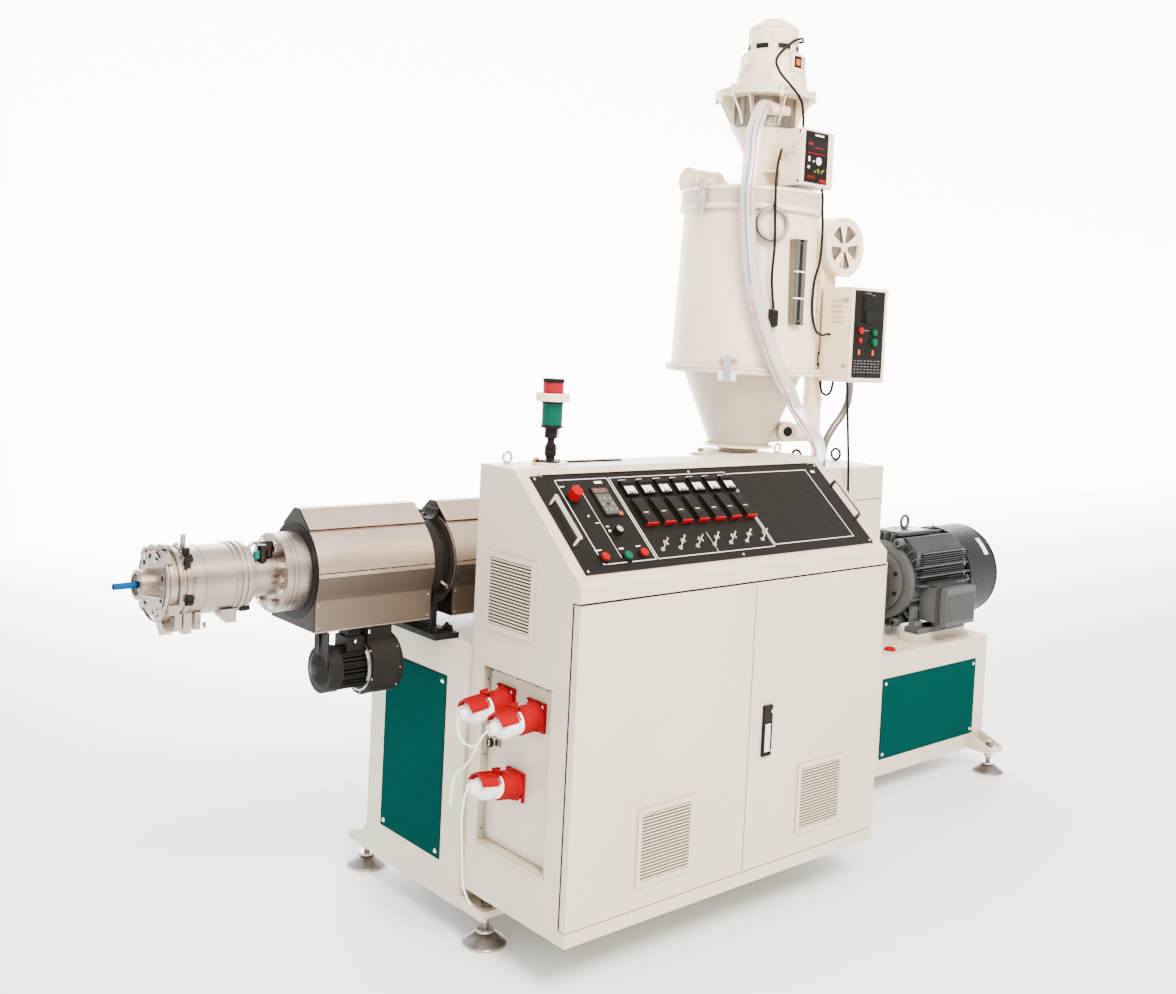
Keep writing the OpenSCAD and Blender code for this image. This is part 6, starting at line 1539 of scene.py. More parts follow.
@dataclass
class Fan:
    """The cooling fan under the barrel: domed cover, finned motor, drum rings and brackets."""

    left: float = -374
    axis_y: float = 597
    axis_z: float = 749

    def build(self) -> None:
        """Builds the fan's cover, fins, rings, screws and holders."""
        y, z, x = self.axis_y, self.axis_z, self.left
        black, bright = Form(), Form()
        black.lathe((x, y, z), Axis.X, [(0, -13), (14, -13), (30, -9), (44, -4), (54, 4), (60.8, 14),
            (60.8, 34), (50, 34), (0, 34)], 56)
        for c, s in spokes(24):
            black.tube([(x - 12.5, y + 14 * c, z + 14 * s), (x - 9, y + 30 * c, z + 30 * s),
                (x - 4, y + 43 * c, z + 43 * s)], 1.3, 6)
        for radius, run in ((15, -12.6), (29.5, -8.8), (43.5, -3.6)):
            black.rod((x + run - 0.6, y, z), Axis.X, radius + 1.2, 2, 48, 0.4, radius - 1.2)
        black.lathe((x + 30, y, z), Axis.X, [(55, 0), (61.4, 1), (61.4, 9), (55, 12)], 56)
        for k in range(36):
            black.block((2, -1.1, 44), (74, 1.1, 58.5), turned((x + 38, y, z), k * 10, Axis.X))
        black.lathe((x + 112, y, z), Axis.X, [(50, 0), (66, 1), (74, 8), (50, 8)], 56)
        black.rods(((x + 118, y, z), Axis.X, 80.4, 4, 64, 0.8, 70),
            ((x + 203, y, z), Axis.X, 80.4, 4, 64, 0.8, 70))
        black.blocks(((x + 60, y - 34, z + 46), (x + 112, y + 30, z + 84)),
            ((x + 66, y - 26, z + 80), (x + 104, y + 22, 854)))
        black.slab([(x - 10, 853), (x + 12, 853), (x + 10, 806), (x + 2, 770), (x - 3, 772)], y - 8, y + 8,
            Axis.Y)
        black.finish("fan_housing", BLACK_STEEL_AND_SHADE, 0.8)
        bright.rod((x + 113, y, z), Axis.X, 70, 2.6, 56, 0.5, 57)
        bright.slab([around(62 + 6 * (k > 5), 206 - 14 * (k if k < 6 else 11 - k), y, z) for k in range(12)],
            x + 107, x + 113, Axis.X)
        bright.skin = 1
        for k in range(6):
            bright.screw((x + 118, *around(74, 20 + 60 * k, y, z)), Axis.X, 3, True)
        for k in range(5):
            bright.rod((x + 196, *around(79, 100 + 40 * k, y, z)), Axis.X, 2.2, 4, 10, 0.4)
        bright.rods(((x + 82, y - 38, z + 70), Axis.Z, 5, 8, 12, 1),
            ((x + 118, y - 46, z + 92), Axis.Z, 4, 10, 12, 1))
        bright.finish("fan_ring", [STAINLESS, BRIGHT, BLACK], 0.3)


@dataclass
class Tower:
    """The signal lamp on the cabinet: oval base, knuckle, green and red lenses, white disc."""

    x: float = 185
    y: float = 371
    foot: float = 1297

    def build(self) -> None:
        """Builds the lamp in its node's place."""
        x, y, z = self.x, self.y, self.foot
        black, white, lens = Form(), Form(), Form()
        oval = [(x + 55 * c, y + 36 * s) for c, s in spokes(36)]
        white.slab(oval, z, z + 5, Axis.Z)
        white.lathe((x, y, z + 8), Axis.Z, [(31, 165), (46.4, 165), (47, 167), (47, 184), (46, 187),
            (31, 187)], 56)
        white.block((x - 7, y - 17, z + 74), (x + 16, y - 10, z + 99))
        white.finish("tower_disc", IVORY, 0.8)
        tower = [(0, 8), (28, 8), (26, 12), (13, 15), (12, 20), (15, 26), (17, 33), (15, 40), (10, 44),
            (13, 47), (13.5, 58), (10, 62), (10.5, 72), (18.6, 76), (18.6, 98), (20, 101), (31, 103),
            (31, 108), (28.6, 110), (0, 110)]
        black.lathe((x, y, z - 3), Axis.Z, tower, 40)
        black.block((x - 17, y - 5, z + 30), (x + 17, y + 5, z + 52))
        black.rod((x, y - 17, z + 31), Axis.Y, 8, 34, 18, 1)
        for low, high, radius in ((167, 174, 31), (194.6, 197, 29), (224, 235, 30)):
            black.rod((x, y, z + low), Axis.Z, radius, high - low, 48, 1)
        black.blocks(((x + 20, y + 8, z + 0.2), (x + 275, y + 26, z + 5)),
            ((x - 40, y + 4, z + 5), (x + 40, y + 20, z + 11)))
        black.finish("tower_post", BLACK, 0.6)
        for k in range(2):
            lens.skin = k
            low, high = ((107, 168), (196, 225))[k]
            lens.lathe((x, y, z), Axis.Z, [(27, low), (28, low + 1), (28, high - 1), (27, high), (24, high),
                (24, low)], 48)
            for c, s in spokes(24):
                lens.rod((x + 27.6 * c, y + 27.6 * s, z + low + 2), Axis.Z, 1.1, high - low - 4, 6)
        piece = lens.finish("tower_lenses", [LENS_GREEN, LENS_RED], 0.3)
        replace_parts(piece, "signal_tower")
        wires = Form()
        for k, (dx, dy) in enumerate(((-62, -6), (-58, 4), (-50, 14))):
            wires.tube([(x - 30, y + 6 + k * 4, z + 9), (x + dx + 14, y + dy, z + 17),
                (x + dx, y + dy, z + 9)], 2.4, 8)
        wires.finish("tower_wires", WIRE_BROWN)


@dataclass
class Drive:
    """Details of the motor and gearbox: fins, lugs, terminal box, grille, bare plate and bolts."""

    y: float = BARREL_Y
    z: float = 747
    box: tuple = (2215, 2400, 410, 608, 742)
    cowl_end: float = 2697.4

    def motor(self) -> None:
        """Builds the motor's upper fin packs, lugs, top plate and bolt heads."""
        dark, bright = Form(), Form()
        y, z = self.y, self.z
        for k in range(9):
            dark.block((2176, y - 150 + k * 6.5, z + 66 - k * 0.4),
                (2490, y - 147 + k * 6.5, z + 128 + k * 6))
        for side in (-1, 1):
            for a in (62, 118):
                sy, sz = around(176, a if side > 0 else -a, y, z)
                dark.rod((2133, sy, sz), Axis.X, 17, 34, 20, 3)
                bright.rod((2128, sy, sz), Axis.X, 8, 6, 6, 1)
        dark.block((2190, y - 62, z + 176), (2390, y + 62, z + 190))
        for k in range(12):
            dark.block((2188 + k * 1.2, y - 168 + 3 * (k % 2), z + 20 + k * 9),
                (2486, y - 140, z + 22.6 + k * 9))
        dark.rod((2123, y, z), Axis.X, 120, 16, 56, 2, 70)
        for k in range(8):
            bright.rod((2119, *around(100, 22.5 + 45 * k, y, z)), Axis.X, 8, 6, 6, 1)
        dark.finish("motor_fins", MOTOR_GREY, 0.8)
        bright.skin = 1
        bright.block((2300, y - 50, z + 189.4), (2360, y + 4, z + 191))
        bright.skin = 0
        bright.finish("motor_bolts", [DARK_STEEL_AND_END_SHADE, WHITE], 0.4)

    def terminal(self) -> None:
        """Builds the wedge-shaped terminal box with its lid, screws and glands."""
        form, bolts = Form(), Form()
        x0, x1, y0, z0, z1 = self.box
        form.slab([(y0 + 6, z0 + 2), (y0 - 2, z0 + 12), (y0 - 2, z1 - 22), (y0 + 22, z1 + 4),
            (y0 + 40, z1 + 8), (y0 + 40, z0)], x0 + 3, x1 - 3, Axis.X)
        form.slab([(y0 + 37, z0 - 5), (y0 + 46, z0 - 5), (y0 + 46, z1 + 13), (y0 + 37, z1 + 13)], x0 - 5,
            x1 + 5, Axis.X)
        form.slab([(y0 + 46, z0 + 4), (y0 + 46, z1 + 2), (y0 + 128, z1 + 20), (y0 + 128, z0 + 10)], x0 + 8,
            x1 - 8, Axis.X)
        for x in (x0 + 2, x1 - 2):
            for z in (z0 + 4, z1 + 4):
                form.rod((x, y0 + 30, z), Axis.Y, 8, 12, 16, 1)
                bolts.rod((x, y0 + 26.5, z), Axis.Y, 4.6, 4, 6, 0.6)
        for x in (x0 + 40, x1 - 46):
            form.rods(((x, y0 + 78, z0 - 16), Axis.Z, 15, 22, 6, 1.5),
                ((x, y0 + 78, z0 - 24), Axis.Z, 11, 10, 18, 2))
        form.finish("terminal_cover", COWL_DARK, 1.6)
        bolts.finish("terminal_screws", BLACK_STEEL_AND_SHADE)

    def cowl(self) -> None:
        """Builds the fan cowl's grille, rim, screws and bare plate."""
        form, plate = Form(), Form()
        y, z = self.y, self.z
        for radius in (30, 52, 74, 96, 118, 140):
            form.rod((self.cowl_end, y, z), Axis.X, radius + 2.6, 3.4, 64, 0.8, radius - 2.6)
        for c, s in spokes(16):
            form.tube([(self.cowl_end + 1.4, y + r * c, z + r * s) for r in (28, 150)], 2.2, 6)
        form.rods(((2500.8, y, z), Axis.X, 187, 7, 96, 1.4, 176),
            ((2690, y, z), Axis.X, 186.4, 7, 96, 2.4, 172))
        form.finish("cowl_grille", COWL_GREY, 0.6)
        plate.skin = 1
        for k in range(6):
            plate.rod((2514, *around(186, 25 + k * 60, y, z)), Axis.X, 5, 8, 12, 1)
        plate.skin = 0
        rim = [around(r, a, y, z) for r, row in ((186.4, (128, 134, 140, 146, 152)),
            (185.2, (152, 146, 140, 134, 128))) for a in row]
        plate.slab(rim, 2628, 2654, Axis.X)
        plate.finish("cowl_plate", [WHITE, BLACK_STEEL_AND_SHADE], 0.3)

    def gearbox(self) -> None:
        """Builds the gearbox's seam and its bolts, breather, oil window, drain plug and lifting eyes."""
        form = Form()
        for k in range(6):
            form.rods(((1572 + k * 57, 864, 1090), Axis.Y, 9, 8, 6, 1),
                ((1572 + k * 57, 864, 1090), Axis.Y, 13, 5, 20, 0.6))
        form.skin = 2
        for y in (493.4, 866):
            form.block((1552, y, 1105), (1876, y + 0.6, 1107.4))
        form.skin = 0
        form.rods(((1640, 760, 1226), Axis.Z, 16, 10, 6, 1), ((1640, 760, 1236), Axis.Z, 11, 16, 20, 2),
            ((1714, 486, 700), Axis.Y, 24, 9, 28, 1.5, 15), ((1790, 487, 580), Axis.Y, 14, 8, 6, 1.5))
        for x in (1600, 1828):
            form.rod((x, 680, 1226), Axis.Z, 8, 8, 18, 1)
            form.tube([(x, 680 + 20 * c, 1252 + 20 * s) for c, s in spokes(25, -90, 15)], 5, 10)
        form.skin = 1
        form.rod((1714, 488.5, 700), Axis.Y, 15.4, 4, 28)
        form.finish("gearbox_fittings", [DARK_STEEL_AND_END_SHADE, PANE_DARK, DARK_JOINT_AND_SHADE], 0.3)

    def build(self) -> None:
        """Builds the drive's details."""
        self.motor()
        self.terminal()
        self.cowl()
        self.gearbox()


@dataclass
class Bed:
    """Small parts of the bed: dark joints around the teal panels, levelling nuts, deck details."""

    deck: float = 531
    gap: float = 3

    def joint(self, left: float, right: float, low: float, high: float) -> tuple[tuple[float, ...], ...]:
        """Gives the four strips of a panel's joint.

        Args:
            left: the panel's left edge.
            right: its right edge.
            low: its lower edge.
            high: its upper edge.

        Returns:
            Each strip's two corners, in the panel's plane.
        """
        out_left, out_right = left - self.gap, right + self.gap
        return ((out_left, low - self.gap, out_right, low), (out_left, high, out_right, high + self.gap),
            (out_left, low, left, high), (right, low, out_right, high))

    def build(self) -> None:
        """Builds the bed's details."""
        dark = Form()
        for low, high in ((436.8, 438.6), (920.4, 922.2)):
            for a, b, c, d in self.joint(1870, 2478, 145, 440):
                dark.block((a, low, b), (c, high, d))
        for a, b, c, d in self.joint(536, 839, 185, 695):
            dark.block((-12.4, a, b), (-10.6, c, d))
        for a, b, c, d in self.joint(80, 1320, 185, 695):
            dark.block((a, 920.4, b), (c, 922.4, d))
        dark.finish("panel_joints", BLACK_STEEL_AND_SHADE, 0.2)
        red = Form()
        red.lathe((1960, 480, self.deck), Axis.Z, [(0, 12), (16, 11), (21, 6), (22, 0), (0, 0)], 24)
        red.finish("deck_plug", RED)
        nuts = Form()
        for x in (37, 2505):
            for y in (372, 987):
                nuts.rods(((x, y, 60), Axis.Z, 17, 11, 6, 1.5), ((x, y, 33), Axis.Z, 26, 7, 40, 2.5),
                    ((x, y, 2), Axis.Z, 62, 4, 56, 1.5, 50))
        nuts.finish("levelling_nuts", STAINLESS, 0.4)
        rails = Form()
        for y in (520, 840):
            rails.block((2130, y - 26, self.deck), (2500, y + 26, self.deck + 9))
            for x in (2150, 2480):
                rails.rod((x, y - 12, self.deck + 9), Axis.Z, 9, 8, 6, 1)
        rails.finish("motor_rails", CREAM, 1)


@dataclass
class Dryer:
    """The drying hopper: rims, catches, sight glass, stub, cleanout, exhaust, blower and its column."""

    centre: Flat = (1282, 680)
    blower_at: Spot = (1620, 535, 2011)
    cone_top: float = 1549
    rims: tuple = ((96, (226, 2098), (243, 2098), (245, 2102), (245, 2112), (243, 2116), (226, 2116)),
        (96, (226, 2160), (242.5, 2160), (244.5, 2165), (242.5, 2172), (226, 2172)),
        (96, (240, 1552), (267, 1552), (269, 1556), (269, 1560), (240, 1560)),
        (96, (240, 1566), (267, 1566), (269, 1569), (268, 1574), (240, 1575)),
        (64, (98, 1294), (118, 1294), (118, 1302), (100, 1303)))

    def shell(self) -> None:
        """Builds the rims, seams, clasp, latch and screws of the hopper."""
        x, y = self.centre
        form = Form()
        for sides, *rim in self.rims:
            form.lathe((x, y, 0), Axis.Z, rim, sides)
        form.finish("dryer_rims", IVORY, 0.5, 30)
        metal = Form()
        lx, ly = standing(self.centre, 246, -176)
        metal.blocks(((lx - 10, ly - 9, 2118), (lx + 2, ly + 9, 2180)),
            ((lx - 14, ly - 12, 2172), (lx + 26, ly + 12, 2180)),
            ((lx - 13, ly - 6, 2090), (lx - 8, ly + 6, 2150)),
            ((lx - 12, ly - 4, 2040), (lx - 7, ly + 4, 2100)))
        metal.rod((lx - 12, ly - 13, 2140), Axis.Y, 5, 26, 16, 1)
        for wire_y in (ly - 10, ly + 10):
            metal.tube([(lx - 12, wire_y, 2168), (lx - 15, wire_y, 2140), (lx - 12, wire_y, 2110)], 2.4, 8)
        metal.finish("lid_latch", BRIGHT, 0.6)
        turn = turned((x, y, 0), -148)
        clasp, pads = Form(turn), Form(turn)
        clasp.blocks(((255, -13, 1560), (275, 13, 1604)), ((264, -4, 1540), (279, 4, 1612)),
            ((250, -30, 1594), (258, 30, 1601)))
        pads.blocks(((262, -30, 1527), (276, -12, 1560)), ((262, 12, 1527), (276, 30, 1560)))
        clasp.finish("flange_clasp", BRIGHT, 0.8)
        pads.finish("clasp_pads", WHITE, 1)
        screws = Form()
        for degrees in range(-180, 180, 15):
            screws.rod((*standing(self.centre, 249.2, degrees), 1574), Axis.Z, 3.4, 4, 6, 0.6)
        screws.finish("flange_screws", STAINLESS)
        dark = Form()
        for a in (-136, -128, -112, -105):
            dark.rod((*standing(self.centre, 249, a), 1583), Axis.X, 2, 3, 8)
        dark.finish("shell_rivets", DARK_STEEL_AND_END_SHADE)

    def glass(self) -> None:
        """Builds the sight glass: frame, dark slot, cross clips and end screws."""
        form = Form(turned((*self.centre, 0), -96.5))
        form.blocks(((263, -20, 1730), (265.2, -7, 1996)), ((263, 7, 1730), (265.2, 20, 1996)))
        form.skin = 1
        form.block((262, -7, 1736), (264.6, 7, 1992))
        form.skin = 2
        for z in (1810, 1898):
            form.block((262, -25.4, z - 2.4), (266.6, 25.4, z + 2.4))
        form.skin = 3
        for z in (1727, 2000):
            form.block((263, -9, z - 5), (267, 9, z + 5))
        form.skin = 0
        form.blocks(((262.5, -25.2, 1722), (266, 25.2, 1731)), ((262.5, -25.2, 1996), (266, 25.2, 2005)))
        form.finish("sight_glass_face", [GLASS_GREY, PANE_DARK, WHITE, DARK_STEEL_AND_END_SHADE], 0.6)

    def fittings(self) -> None:
        """Builds the stub's clamp ring, the cleanout's ring, the exhaust drum's rims and caps."""
        form = Form(turned((*self.centre, 2048), -121))
        form.rods(((252, 0, 0), Axis.X, 55, 15, 56, 1.5, 46), ((246, 0, 0), Axis.X, 60, 5, 56, 1, 48))
        form.block((254, -8, 52), (266, 8, 66))
        form.tube([(260, -16, 59), (260, 18, 59)], 3, 8)
        form.skin = 1
        form.rod((258, 0, 0), Axis.X, 56.4, 4, 56, 0.5, 50)
        form.skin = 2
        form.rod((247, 0, 0), Axis.X, 46.6, 1.5, 48)
        form.finish("stub_clamp", [STAINLESS, DARK_STEEL_AND_END_SHADE, IVORY], 0.4)
        eye = Form(turned((1398, 575, 1355), -120))
        eye.rod((36, 0, 0), Axis.X, 35.4, 8, 48, 2, 21)
        eye.skin = 1
        eye.rod((30, 0, 0), Axis.X, 21, 5, 32)
        eye.skin = 0
        for c, s in spokes(4, 45):
            eye.rod((43, 28 * c, 28 * s), Axis.X, 3, 2.4, 6)
        eye.finish("cleanout_ring", [IVORY, PANE_DARK], 0.5)
        drum = Form()
        for start in (1158.6, 1292):
            drum.rod((start, 870, 2215), Axis.X, 46.4, 9, 48, 2.4)
        drum.rods(((1150, 870, 2215), Axis.X, 30, 9, 40, 3), ((1196, 800, 2186), Axis.Z, 20, 34, 28, 9),
            ((1230, 760, 2186), Axis.Z, 14, 26, 28, 6))
        drum.finish("exhaust_caps", IVORY, 0.8)

    def blower(self) -> None:
        """Builds the blower's rims, spokes and screws with a disc of painted shade behind the spokes, and its
        column's bands and slots painted dark as shade.
        """
        x, y, z = self.blower_at
        form = Form()
        form.rods(((x, y - 9, z), Axis.Y, 106, 12, 72, 3, 78), ((x, y + 92, z), Axis.Y, 106, 10, 72, 3, 60),
            ((x, y - 7, z), Axis.Y, 17, 9, 32, 3))
        for k in range(5):
            form.slab([(x, z)] + [(x + r * c, z + r * s)
                for r, (c, s) in zip((82, 84, 82), spokes(3, k * 72 + 10, 14))], y - 5, y - 2, Axis.Y)
        form.rod((x, y + 214, z), Axis.Y, 64, 8, 48, 3)
        for c, s in spokes(6):
            form.tube([(x + 58 * c, y + 104, z + 58 * s), (x + 62 * c, y + 216, z + 62 * s)], 3, 8)
        form.finish("blower_rims", IVORY, 1)
        # Painted shade: a tan disc behind the spokes stands for the shaded inside of the blower.
        shade_disc = Form()
        shade_disc.rod((x, y + 3, z), Axis.Y, 80, 2, 56)
        shade_disc.finish("blower_opening_shade", BLOWER_OPENING_SHADE)
        dark = Form()
        for c, s in spokes(8, 22.5):
            dark.rod((x + 97 * c, y - 10, z + 97 * s), Axis.Y, 2.6, 3, 10)
        dark.finish("blower_screws", DARK_STEEL_AND_END_SHADE)
        column = Form()
        # Painted shade: dark patches stand for the column's slots.
        for k in range(5):
            column.blocks(((1541 + k * 16, 560.4, 1586), (1549 + k * 16, 562.6, 1634)),
                ((1534.6, 568 + k * 15, 1586), (1536.6, 575 + k * 15, 1634)))
        column.finish("column_slot_shades", BLACK_STEEL_AND_SHADE, 0.2)
        bands = Form()
        for z0 in (1578, 1640, 1780, 1886):
            bands.block((1533.4, 559.4, z0), (1622.6, 648.6, z0 + 5))
        for z0 in (1352, 1460, 1560):
            bands.rod((1578, 604, z0), Axis.Z, 35, 12, 40, 2, 30)
        bands.finish("column_bands", IVORY, 0.6)

    def build(self) -> None:
        """Paints shade on the cone with a darker ivory, and builds the dryer's details."""
        shell = bpy.data.objects["dryer_hopper_skin"]
        shell.data.materials.append(DARKER_IVORY_AND_CONE_SHADE.material())
        # Painted shade: the faces below the cone's top take the darker ivory.
        for face in shell.data.polygons:
            face.material_index = 1 if face.center.z * 1000 < self.cone_top else 0
        self.shell()
        self.glass()
        self.fittings()
        self.blower()


@dataclass
class Boxes:
    """Faces of the two control boxes: louvres, locks, black panels, lamps and switches."""

    lower_front: float = 415
    upper_front: float = 455

    def lower(self) -> None:
        """Builds the dryer box's front panel, lamps, breaker window, louvres and locks."""
        form = Form()
        y = self.lower_front
        form.block((1540, y - 2.6, 1541), (1730, y + 0.5, 1861))
        form.skin = 1
        form.block((1545, y - 5, 1552), (1712, y - 2, 1856))
        form.skin = 2
        form.blocks(((1588, y - 8, 1748), (1660, y - 4.6, 1838)), ((1598, y - 14, 1744), (1648, y - 5, 1786)))
        form.skin = 1
        form.block((1594, y - 9.5, 1790), (1654, y - 7, 1832))
        form.skin = 3
        for z in (1716, 1682):
            form.rod((1577, y - 16 if z > 1700 else y - 13, z), Axis.Y, 12 if z > 1700 else 9, 12, 24, 3)
        form.skin = 4
        form.rods(((1655, y - 16, 1712), Axis.Y, 11, 12, 24, 3),
            ((1655, y - 17, 1678), Axis.Y, 13, 13, 24, 3))
        form.skin = 5
        for x in (1577, 1655):
            form.block((x - 5, y - 8, 1632), (x + 5, y - 4, 1650))
        form.skin = 6
        for x, z, w in ((1600, 1846, 34), (1640, 1840, 16), (1606, 1716, 24)):
            form.block((x, y - 5.6, z), (x + w, y - 4.8, z + 3))
        for row in range(5):
            for col in range(8):
                form.block((1553 + col * 19, y - 5.5, 1570 + row * 10),
                    (1553 + col * 19 + 9 + (col + row) % 3 * 2, y - 4.8, 1573 + row * 10))
        form.finish("dryer_box_front", [IVORY, PANEL_BLACK, BLACK, LAMP_RED, LAMP_GREEN, ORANGE, PANEL_GREY],
            0.6)
        side = Form()
        for k in range(5):
            side.slab([(446, 1745 + k * 19), (502, 1745 + k * 19), (500, 1751 + k * 19),
                (448, 1751 + k * 19)], 1529.6, 1535.4, Axis.X)
        side.block((1533, 417, 1537), (1535.6, 421, 1864))
        side.skin = 1
        for z in (1592, 1822):
            side.rod((1528, 437, z), Axis.X, 7, 8, 18, 1)
            side.block((1525.6, 435.6, z - 6), (1529, 438.4, z + 6))
        side.finish("dryer_box_side", [IVORY, STAINLESS], 0.8)
        back = Form()
        back.block((1728, 412.6, 1849), (1736.4, 416, 1857))
        back.finish("dryer_box_catch", BLACK, 0.4)

    def upper(self) -> None:
        """Builds the loader box's display panel, its knockouts, side screws and orange connector."""
        form = Form()
        y = self.upper_front
        form.block((1270, y - 3, 2193), (1434, y + 0.5, 2377))
        form.skin = 1
        form.block((1284, y - 6, 2202), (1400, y - 2.4, 2372))
        form.skin = 2
        form.block((1292, y - 7, 2306), (1392, y - 5.4, 2350))
        form.skin = 3
        for x, z, w, h in ((1296, 2326, 22, 9), (1330, 2318, 40, 3), (1296, 2298, 90, 3.4),
                (1362, 2206, 30, 12), (1300, 2216, 6, 10), (1314, 2216, 6, 10), (1328, 2216, 6, 10)):
            form.block((x, y - 7.4, z), (x + w, y - 5.4, z + h))
        form.skin = 4
        for x, z, w, h in ((1330, 2358, 44, 6), (1300, 2272, 8, 16), (1298, 2248, 9, 9), (1324, 2270, 5, 7)):
            form.block((x, y - 7.2, z), (x + w, y - 5.4, z + h))
        form.rod((1352, y - 9, 2276), Axis.Y, 13, 4, 24, 1)
        form.skin = 5
        for k in range(6):
            form.block((1332 + k * 9, y - 7.2, 2236 + (k % 2) * 8),
                (1338 + k * 9, y - 5.4, 2243 + (k % 3) * 4))
        form.finish("loader_box_front", [IVORY, PANEL_BLACK, PANE_DARK, RED, WHITE, LABEL_GREEN], 0.6)
        side = Form()
        for spot in ((1268, 486, 2316), (1268, 520, 2287)):
            side.lathe(spot, Axis.X, [(9, 1), (17, 1), (17, 3), (9, 3)], 28, True)
        side.rod((1258, 530, 2310), Axis.X, 9, 10, 6, 1)
        side.skin = 1
        for z in (2204, 2368):
            side.screw((1268, 464, z), Axis.X, 4, True)
        side.skin = 2
        side.tube([(1254, 534, 2301), (1240, 520, 2284), (1226, 506, 2272)], 4.6, 10)
        side.finish("loader_box_side", [IVORY, BLACK, ORANGE], 0.4)

    def build(self) -> None:
        """Builds both boxes' details."""
        self.lower()
        self.upper()


@dataclass
class Loader:
    """The vacuum loader: head with slots painted dark as shade, window and spigot, brims, bowl ribs, clips
    and stays.
    """

    bowl: Flat = (1327, 680)
    head: Flat = (1355, 680)
    rims: tuple = ((64, (80, 2742), (85.5, 2742), (86.4, 2748), (84, 2752), (60, 2768), (60, 2744)),
        (64, (88, 2663), (107.6, 2652), (108.6, 2656), (90, 2668)),
        (64, (118, 2570), (122.4, 2570), (122.4, 2576), (118, 2577)),
        (48, (24, 2766), (44, 2766), (44, 2776), (40, 2780), (24, 2780)))
    brims: tuple = (((140, 2515), (167, 2515), (168.4, 2518), (168.4, 2522), (140, 2524)),
        ((150, 2498), (173, 2498), (174.4, 2502), (173, 2506), (150, 2506)))

    def build(self) -> None:
        """Builds the loader's details."""
        x, y = self.head
        form = Form()
        for sides, *rim in self.rims:
            form.lathe((x, y, 0), Axis.Z, rim, sides)
        for c, s in spokes(12, 12):
            form.tube([(x + 84.6 * c, y + 84.6 * s, run) for run in (2692, 2744)], 2.2, 8)
        for rim in self.brims:
            form.lathe((*self.bowl, 0), Axis.Z, rim, 72)
        form.tube([(x - 104, y + 12, 2610), (x - 132, y + 2, 2618)], 13, 20)
        form.tube([(x - 130, y + 2.6, 2617.4), (x - 136, y + 0.6, 2619.4)], 17, 20)
        form.finish("loader_head_rims", IVORY, 0.6, 30)
        # Painted shade: dark patches stand for the head's slots.
        dark = Form()
        for k in range(7):
            for j in range(4):
                a = k * 51.4 - 128 + j * 7.5
                corners = ((89.4, a), (89.4, a + 7.6), (86, a + 7.6), (86, a))
                dark.slab([standing(self.head, r, turn) for r, turn in corners], 2670, 2687, Axis.Z)
        dark.finish("head_slot_shades", BLACK_STEEL_AND_SHADE)
        window = Form(turned((x, y, 0), -91))
        window.block((100, -34, 2588), (121, 34, 2650))
        window.skin = 1
        window.block((120, -22, 2602), (122.4, 14, 2642))
        window.skin = 2
        window.block((121.6, -14, 2610), (123, 7, 2632))
        window.skin = 1
        for k in range(5):
            window.block((120, 20, 2602 + k * 8), (122, 30, 2606 + k * 8))
        window.finish("head_window", [IVORY, PANE_DARK, ORANGE], 0.6)
        ribs = Form()
        for k in range(14):
            a = k * 360 / 14 + 5
            ribs.tube([(*standing(self.bowl, 113, a), 2402), (*standing(self.bowl, 114, a), 2496)], 2.4, 8)
        ribs.lathe((*self.bowl, 0), Axis.Z, [(104, 2392), (114, 2394), (114, 2402), (113, 2403), (113, 2497),
            (104, 2498)], 64)
        ribs.skin = 1
        for degrees in (-178, -120, -58, 2, 62, 122):
            turn = turned((*self.bowl, 0), degrees)
            ribs.blocks(((164, -6, 2488), (176, 6, 2530), turn), ((150, -5, 2522), (174, 5, 2530), turn))
        ribs.finish("bowl_ribs", [BOWL_STEEL, IVORY], 0.5)
        arms = Form()
        for degrees in (-178, -62, 62):
            turn = turned((*self.bowl, 0), degrees)
            low = [turn @ Vector((r, 0, z)) for r, z in ((116, 2404), (128, 2440), (156, 2480), (168, 2492))]
            arms.tube([tuple(p) for p in low], 4, 10)
        arms.finish("bowl_stays", IVORY)


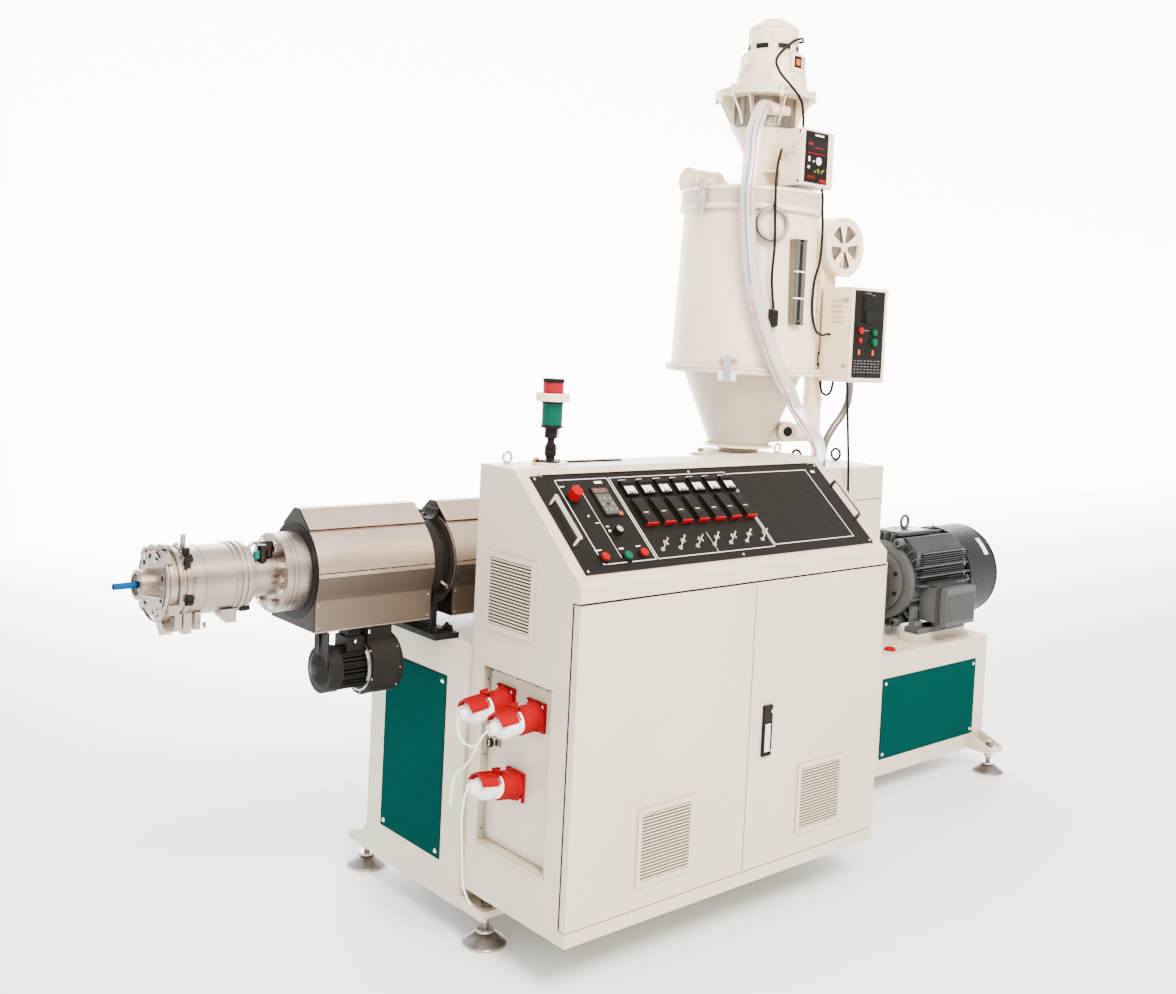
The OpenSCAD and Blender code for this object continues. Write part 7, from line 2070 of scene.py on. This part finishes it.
SKINS = tuple(Skin(*row) for row in (("bed_frame", CREAM, 3), ("bed_panels", TEAL, 1),
    ("fixings", BRIGHT, 0.6), ("levelling_feet", FOOT_STEEL, 0.8), ("barrel", TURNED, 0.8),
    ("screw", TURNED, 0), ("feed_throat", CAST, 1.5), ("heater_bands", TINTED, 0.6),
    ("heater_covers", COVER_STEEL, 1), ("barrel_stands", BLACK_STEEL_AND_SHADE, 1.2),
    ("cooling_blower", BLACK_STEEL_AND_SHADE, 1), ("blower_rotor", BLACK, 0), ("die_adaptor", TURNED, 1),
    ("die_body", TURNED, 1), ("die_ring", TURNED, 1), ("die_nose", TURNED, 0.8), ("die_mandrel", TURNED, 0.5),
    ("pipe_sample", PIPE_BLUE, 0.3), ("gearbox_case", CREAM, 3), ("input_shaft", TURNED, 0.5),
    ("countershaft", TURNED, 0.5), ("motor_frame", MOTOR_GREY, 0.8), ("motor_rotor", TURNED, 0.5),
    ("motor_cowl", COWL_GREY, 1.2), ("cabinet_body", CREAM, 1.6), ("left_door", CREAM, 1.4),
    ("right_door", CREAM, 1.4), ("door_handle", BLACK, 1.5), ("door_lever", BRIGHT, 1),
    ("console_panel", PANEL_BLACK, 0.8), ("console_handles", BRIGHT, 0), ("emergency_stop", RED, 1.2),
    ("stop_button", RED, 0.8), ("start_button", GREEN, 0.8), ("reset_button", RED, 0.8),
    ("speed_knob", BLACK, 0.6), ("socket_panel", CREAM, 1), ("power_sockets", RED, 1),
    ("socket_lid_1", RED, 1), ("socket_lid_2", RED, 1), ("socket_lid_3", RED, 1), ("plug_1", WHITE, 1),
    ("plug_2", WHITE, 1), ("plug_3", WHITE, 1), ("dryer_hopper", IVORY, 1.5), ("dryer_lid", DARKER_IVORY_AND_CONE_SHADE, 1.5),
    ("sight_glass", WINDOW, 0.8), ("slide_gate", STAINLESS, 0.6), ("dryer_blower", IVORY, 1.2),
    ("dryer_impeller", BLACK, 0), ("control_boxes", IVORY, 1.4), ("loader_body", IVORY, 1.4),
    ("loader_head", IVORY, 1.4)))


def main() -> None:
    """Builds the dressed machine, one sub-assembly after another."""
    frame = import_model()
    studio = Studio()
    studio.camera()
    Cords().build()
    studio.build()
    for skin in SKINS:
        skin.show(frame)
    LOG.info("dressed %d nodes", len(SKINS))
    for group in (Console(), Cabinet(), Sockets(), BarrelCovers(), Die(), Fan(), Tower(), Drive(), Bed(),
            Dryer(), Boxes(), Loader()):
        group.build()
        LOG.info("built %s", type(group).__name__)


if __name__ == "__main__":
    logging.basicConfig(level=logging.INFO, format="%(message)s")
    main()
